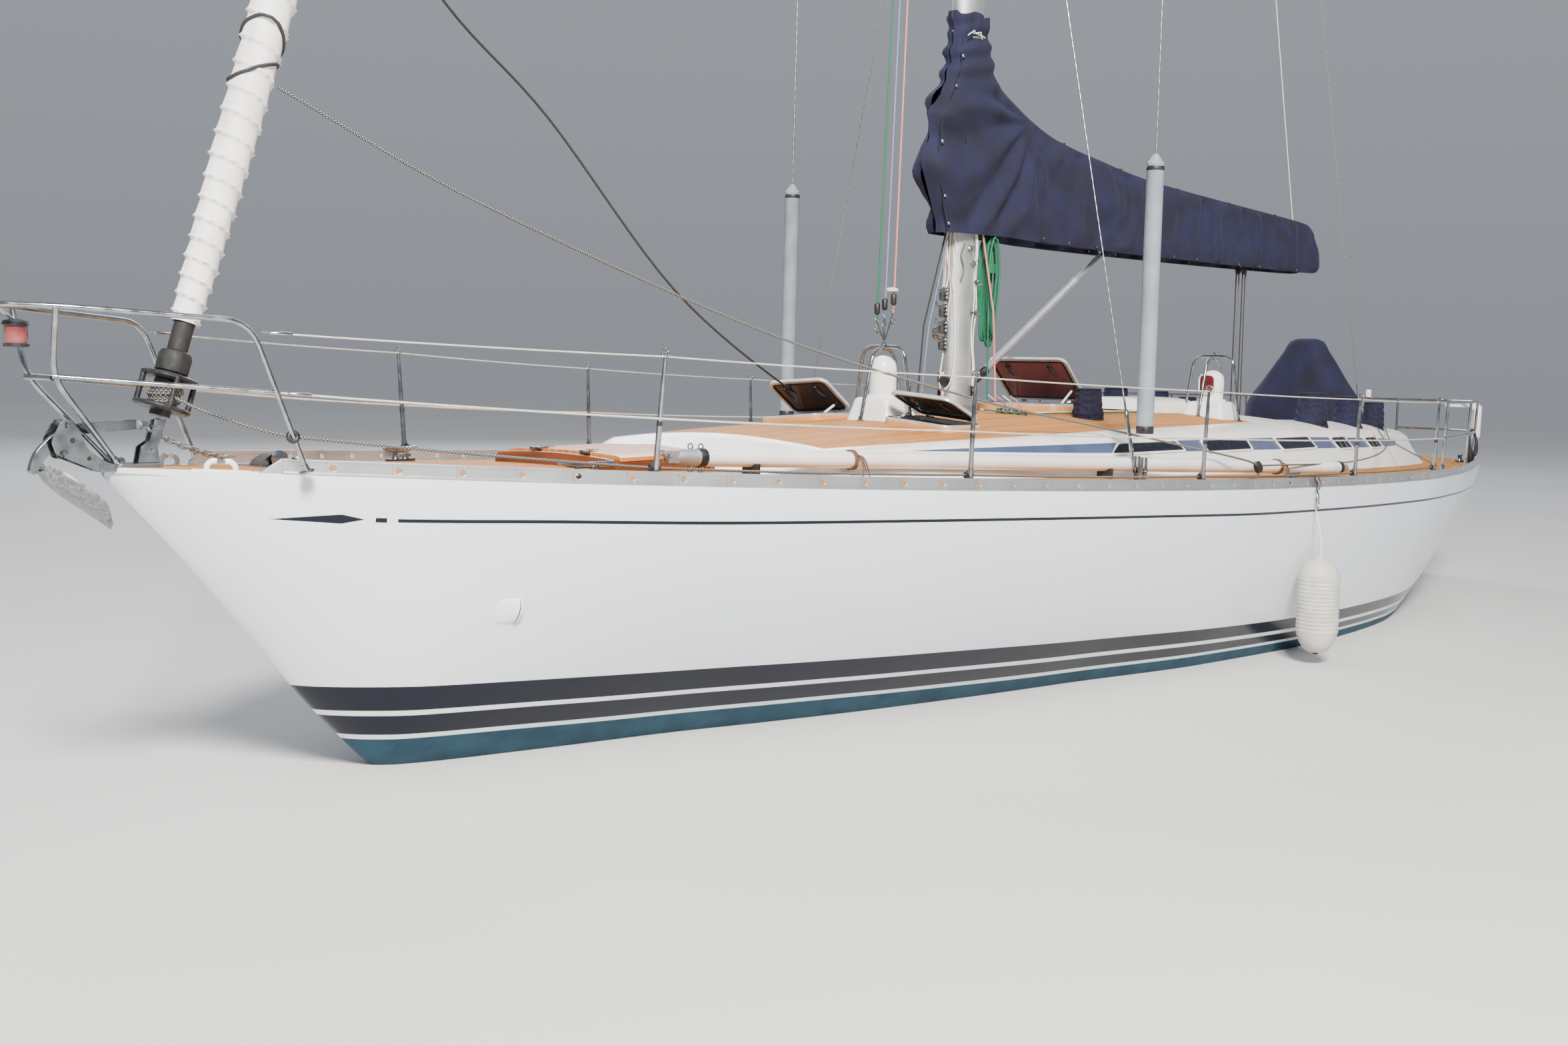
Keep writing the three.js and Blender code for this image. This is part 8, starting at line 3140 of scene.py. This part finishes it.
def make_pole():
    shape = Shape()
    way = (POLE_AFT - POLE_FORE).normalized()
    long = (POLE_AFT - POLE_FORE).length
    shape.turned(
        [(0.048, 0.27), (0.0495, 0.272), (0.0495, long - 0.12), (0.048, long - 0.118)], POLE_FORE,
        POLE_PAINT, 40, way
    )
    for begin in (0.245, long - 0.16):
        shape.turned(
            [(0.0495, begin), (0.051, begin + 0.003), (0.051, begin + 0.045), (0.0495, begin + 0.048)],
            POLE_FORE, ACETAL, 36, way
        )
    shape.turned(
        [(0.034, 0.1), (0.04, 0.13), (0.043, 0.16), (0.046, 0.22), (0.048, 0.25)], POLE_FORE, SPAR, 28, way
    )
    shape.turned([(0.024, 0.05), (0.03, 0.075), (0.033, 0.11)], POLE_FORE, SPAR, 24, way)
    for side in (-1, 1):
        jaw = [
            POLE_FORE + way * a + UP * b + Vector((0, side * 0.02, 0))
            for a, b in (
                (0.0, 0.022), (0.03, 0.036), (0.1, 0.032), (0.12, 0.0), (0.1, -0.03), (0.04, -0.03),
                (0.055, 0.0), (0.01, 0.008),
            )
        ]
        shape.slab(jaw, (0, side * 0.012, 0), SPAR)
    shape.tube(
        [POLE_FORE + way * 0.03 + UP * 0.012 + Vector((0, y, 0)) for y in (-0.034, 0.034)], 0.008, STEEL, 12
    )
    for at in (0.2, 0.27):
        shape.tube(
            circle(POLE_FORE + way * at - UP * 0.062, 0.018, (0, 1, 0), 14), 0.005, STEEL, 8, loop=True
        )
        shape.tube(
            circle(POLE_FORE + way * at + UP * 0.058, 0.015, (0.2, 1, 0), 14), 0.004, STEEL, 8, loop=True
        )
    shape.turned(
        [
            (0.048, long - 0.12), (0.04, long - 0.1), (0.034, long - 0.06), (0.03, long - 0.02),
            (0.012, long),
        ],
        POLE_FORE, SPAR, 26, way
    )
    assemble("spinnaker_pole_painted", YACHT, shape, ("spinnaker_pole",), sharp=35)
    cords = Shape()
    for at in (1.35, 5.75):
        for n in range(3):
            ring = circle(POLE_FORE + way * (at + 0.014 * n), 0.0555, way + Vector((0, 0.05 * n, 0.04)), 24)
            cords.tube(ring, 0.0045, BROWN_ROPE, 8, loop=True)
        knot = POLE_FORE + way * (at + 0.02) + Vector((0.01, 0.045, 0.035))
        for dx, dz, dy in ((0.05, -0.1, 0.03), (0.02, -0.13, 0.035), (0.09, -0.135, 0.03)):
            cords.tube(
                flowing([knot, knot + Vector((dx * 0.4 * -1, dy, -0.03)), knot + Vector((-dx, dy, dz))], 5),
                0.0042, BROWN_ROPE, 8
            )
    for at in (0.62, 3.7):
        place = POLE_FORE + way * at
        floor_z = deck_z(place.x, place.y)
        cords.block(
            (place.x - 0.02, place.y - 0.05, floor_z - 0.004),
            (place.x + 0.02, place.y + 0.05, place.z - 0.03), ACETAL
        )
    assemble("pole_lashings", YACHT, cords, sharp=60)


make_pole()


# Fender of ribbed vinyl hung from the toe rail by a rope with a snap hook
def make_fender():
    shape = Shape()
    x = -0.64
    y = half_beam(x) + 0.062
    profile = [(0.012, 0.0), (0.05, 0.006), (0.09, 0.03), (0.12, 0.075), (0.14, 0.13)]
    n = 14
    for k in range(n * 6 + 1):
        t = k / (n * 6)
        profile.append((0.1485 - 0.0045 * (0.5 + 0.5 * math.cos(2 * math.pi * k / 6)), 0.15 + 0.4 * t))
    profile += [
        (0.143, 0.57), (0.125, 0.615), (0.095, 0.652), (0.06, 0.675), (0.04, 0.685), (0.036, 0.7),
        (0.018, 0.71),
    ]
    shape.turned(profile, (x, y, 0.09), VINYL, 56)
    shape.turned([(0.02, 0.0), (0.02, 0.012)], (x, y, 0.079), ACETAL, 18)
    assemble("fender_ribbed", YACHT, shape, ("fender",), sharp=50)
    rope = Shape()
    top = Vector((x, y, 0.795))
    rail = rail_place(x, 0.05, -0.01, 1)
    rope.tube(flowing([top - UP * 0.02, top + UP * 0.1, rail - UP * 0.19], 6), 0.006, WHITE_ROPE, 8)
    hook = rail - UP * 0.13 + Vector((0, 0.01, 0))
    rope.tube(
        [
            hook + Vector((dx, 0, dz))
            for dx, dz in (
                (0.0, -0.06), (0.022, -0.045), (0.024, 0.0), (0.012, 0.045), (-0.012, 0.045), (-0.02, 0.0),
                (-0.018, -0.045),
            )
        ],
        0.0058, STEEL, 10, loop=True
    )
    rope.tube(
        flowing(
            [
                hook + UP * 0.045, hook + Vector((0.02, 0.0, 0.075)), rail, rail + Vector((0, -0.02, 0.02)),
                rail + Vector((0.02, -0.012, 0.05)), rail + Vector((0.05, 0.006, 0.02)),
                rail + Vector((0.02, 0.01, -0.02)),
            ],
            5
        ),
        0.0058, BLACK_ROPE, 8
    )
    rope.tube(
        flowing(
            [
                rail + Vector((0.0, 0.008, 0.035)), rail + Vector((-0.03, 0.012, 0.0)),
                rail + Vector((-0.01, 0.014, -0.05)),
            ],
            5
        ),
        0.0058, BROWN_ROPE, 8
    )
    assemble("fender_line", YACHT, rope, sharp=60)


make_fender()


# Kept solids get their own finishes: underwater gear and the engine block
def finish_kept_parts():
    for node, look in (
        ("fin_keel", FOULING), ("rudder", FOULING), ("propeller", BRONZE), ("shaft_strut", BRONZE),
        ("engine_block", ENAMEL),
    ):
        part = bpy.data.objects[node]
        for slot in part.material_slots:
            slot.material = look


finish_kept_parts()


# Floor at the waterline, soft light and surroundings
def make_stage():
    floor = Shape()
    floor.skin([[(-60, -60, 0), (60, -60, 0)], [(-60, 60, 0), (60, 60, 0)]], FLOOR)
    plane = assemble("floor", None, floor, outward=False)
    world = bpy.data.worlds.new("surroundings")
    bpy.context.scene.world = world
    world.use_nodes = True
    tree = world.node_tree
    sky = tree.nodes["Background"]
    place = put(tree, "TexCoord", out="Generated")
    height = put(tree, "SeparateXYZ", (place,), out=2)
    share = put(tree, "MapRange", (height, 0.0, 0.7))
    shade = put(
        tree, "Mix", {0: share, 6: linear("#b4bac2"), 7: linear("#e3e9f2")}, out=2, data_type="RGBA"
    )
    tree.links.new(shade, sky.inputs[0])
    sky.inputs[1].default_value = 0.62
    for name, place, aim, size, power, tint in (
        ("key_light", (15, 14, 16), (1, 0, 1), (6, 5), 17000, "#fffaf3"),
        ("fill_light", (-14, -20, 14), (-1, 0, 1), (16, 10), 4200, "#edf2ff"),
    ):
        data = bpy.data.lights.new(name, "AREA")
        data.shape = "RECTANGLE"
        data.size, data.size_y = size
        data.energy = power
        data.color = linear(tint)[:3]
        lamp = bpy.data.objects.new(name, data)
        aimed = (Vector(aim) - Vector(place)).to_track_quat("-Z", "Y").to_matrix().to_4x4()
        lamp.matrix_world = Matrix.Translation(place) @ aimed
        bpy.context.collection.objects.link(lamp)


FLOOR = moulded("floor_paint", "#c9c9c8", "#cdcdcc", 0.85, 3000, 40, 0.1, Specular_IOR_Level=0.2)
make_stage()
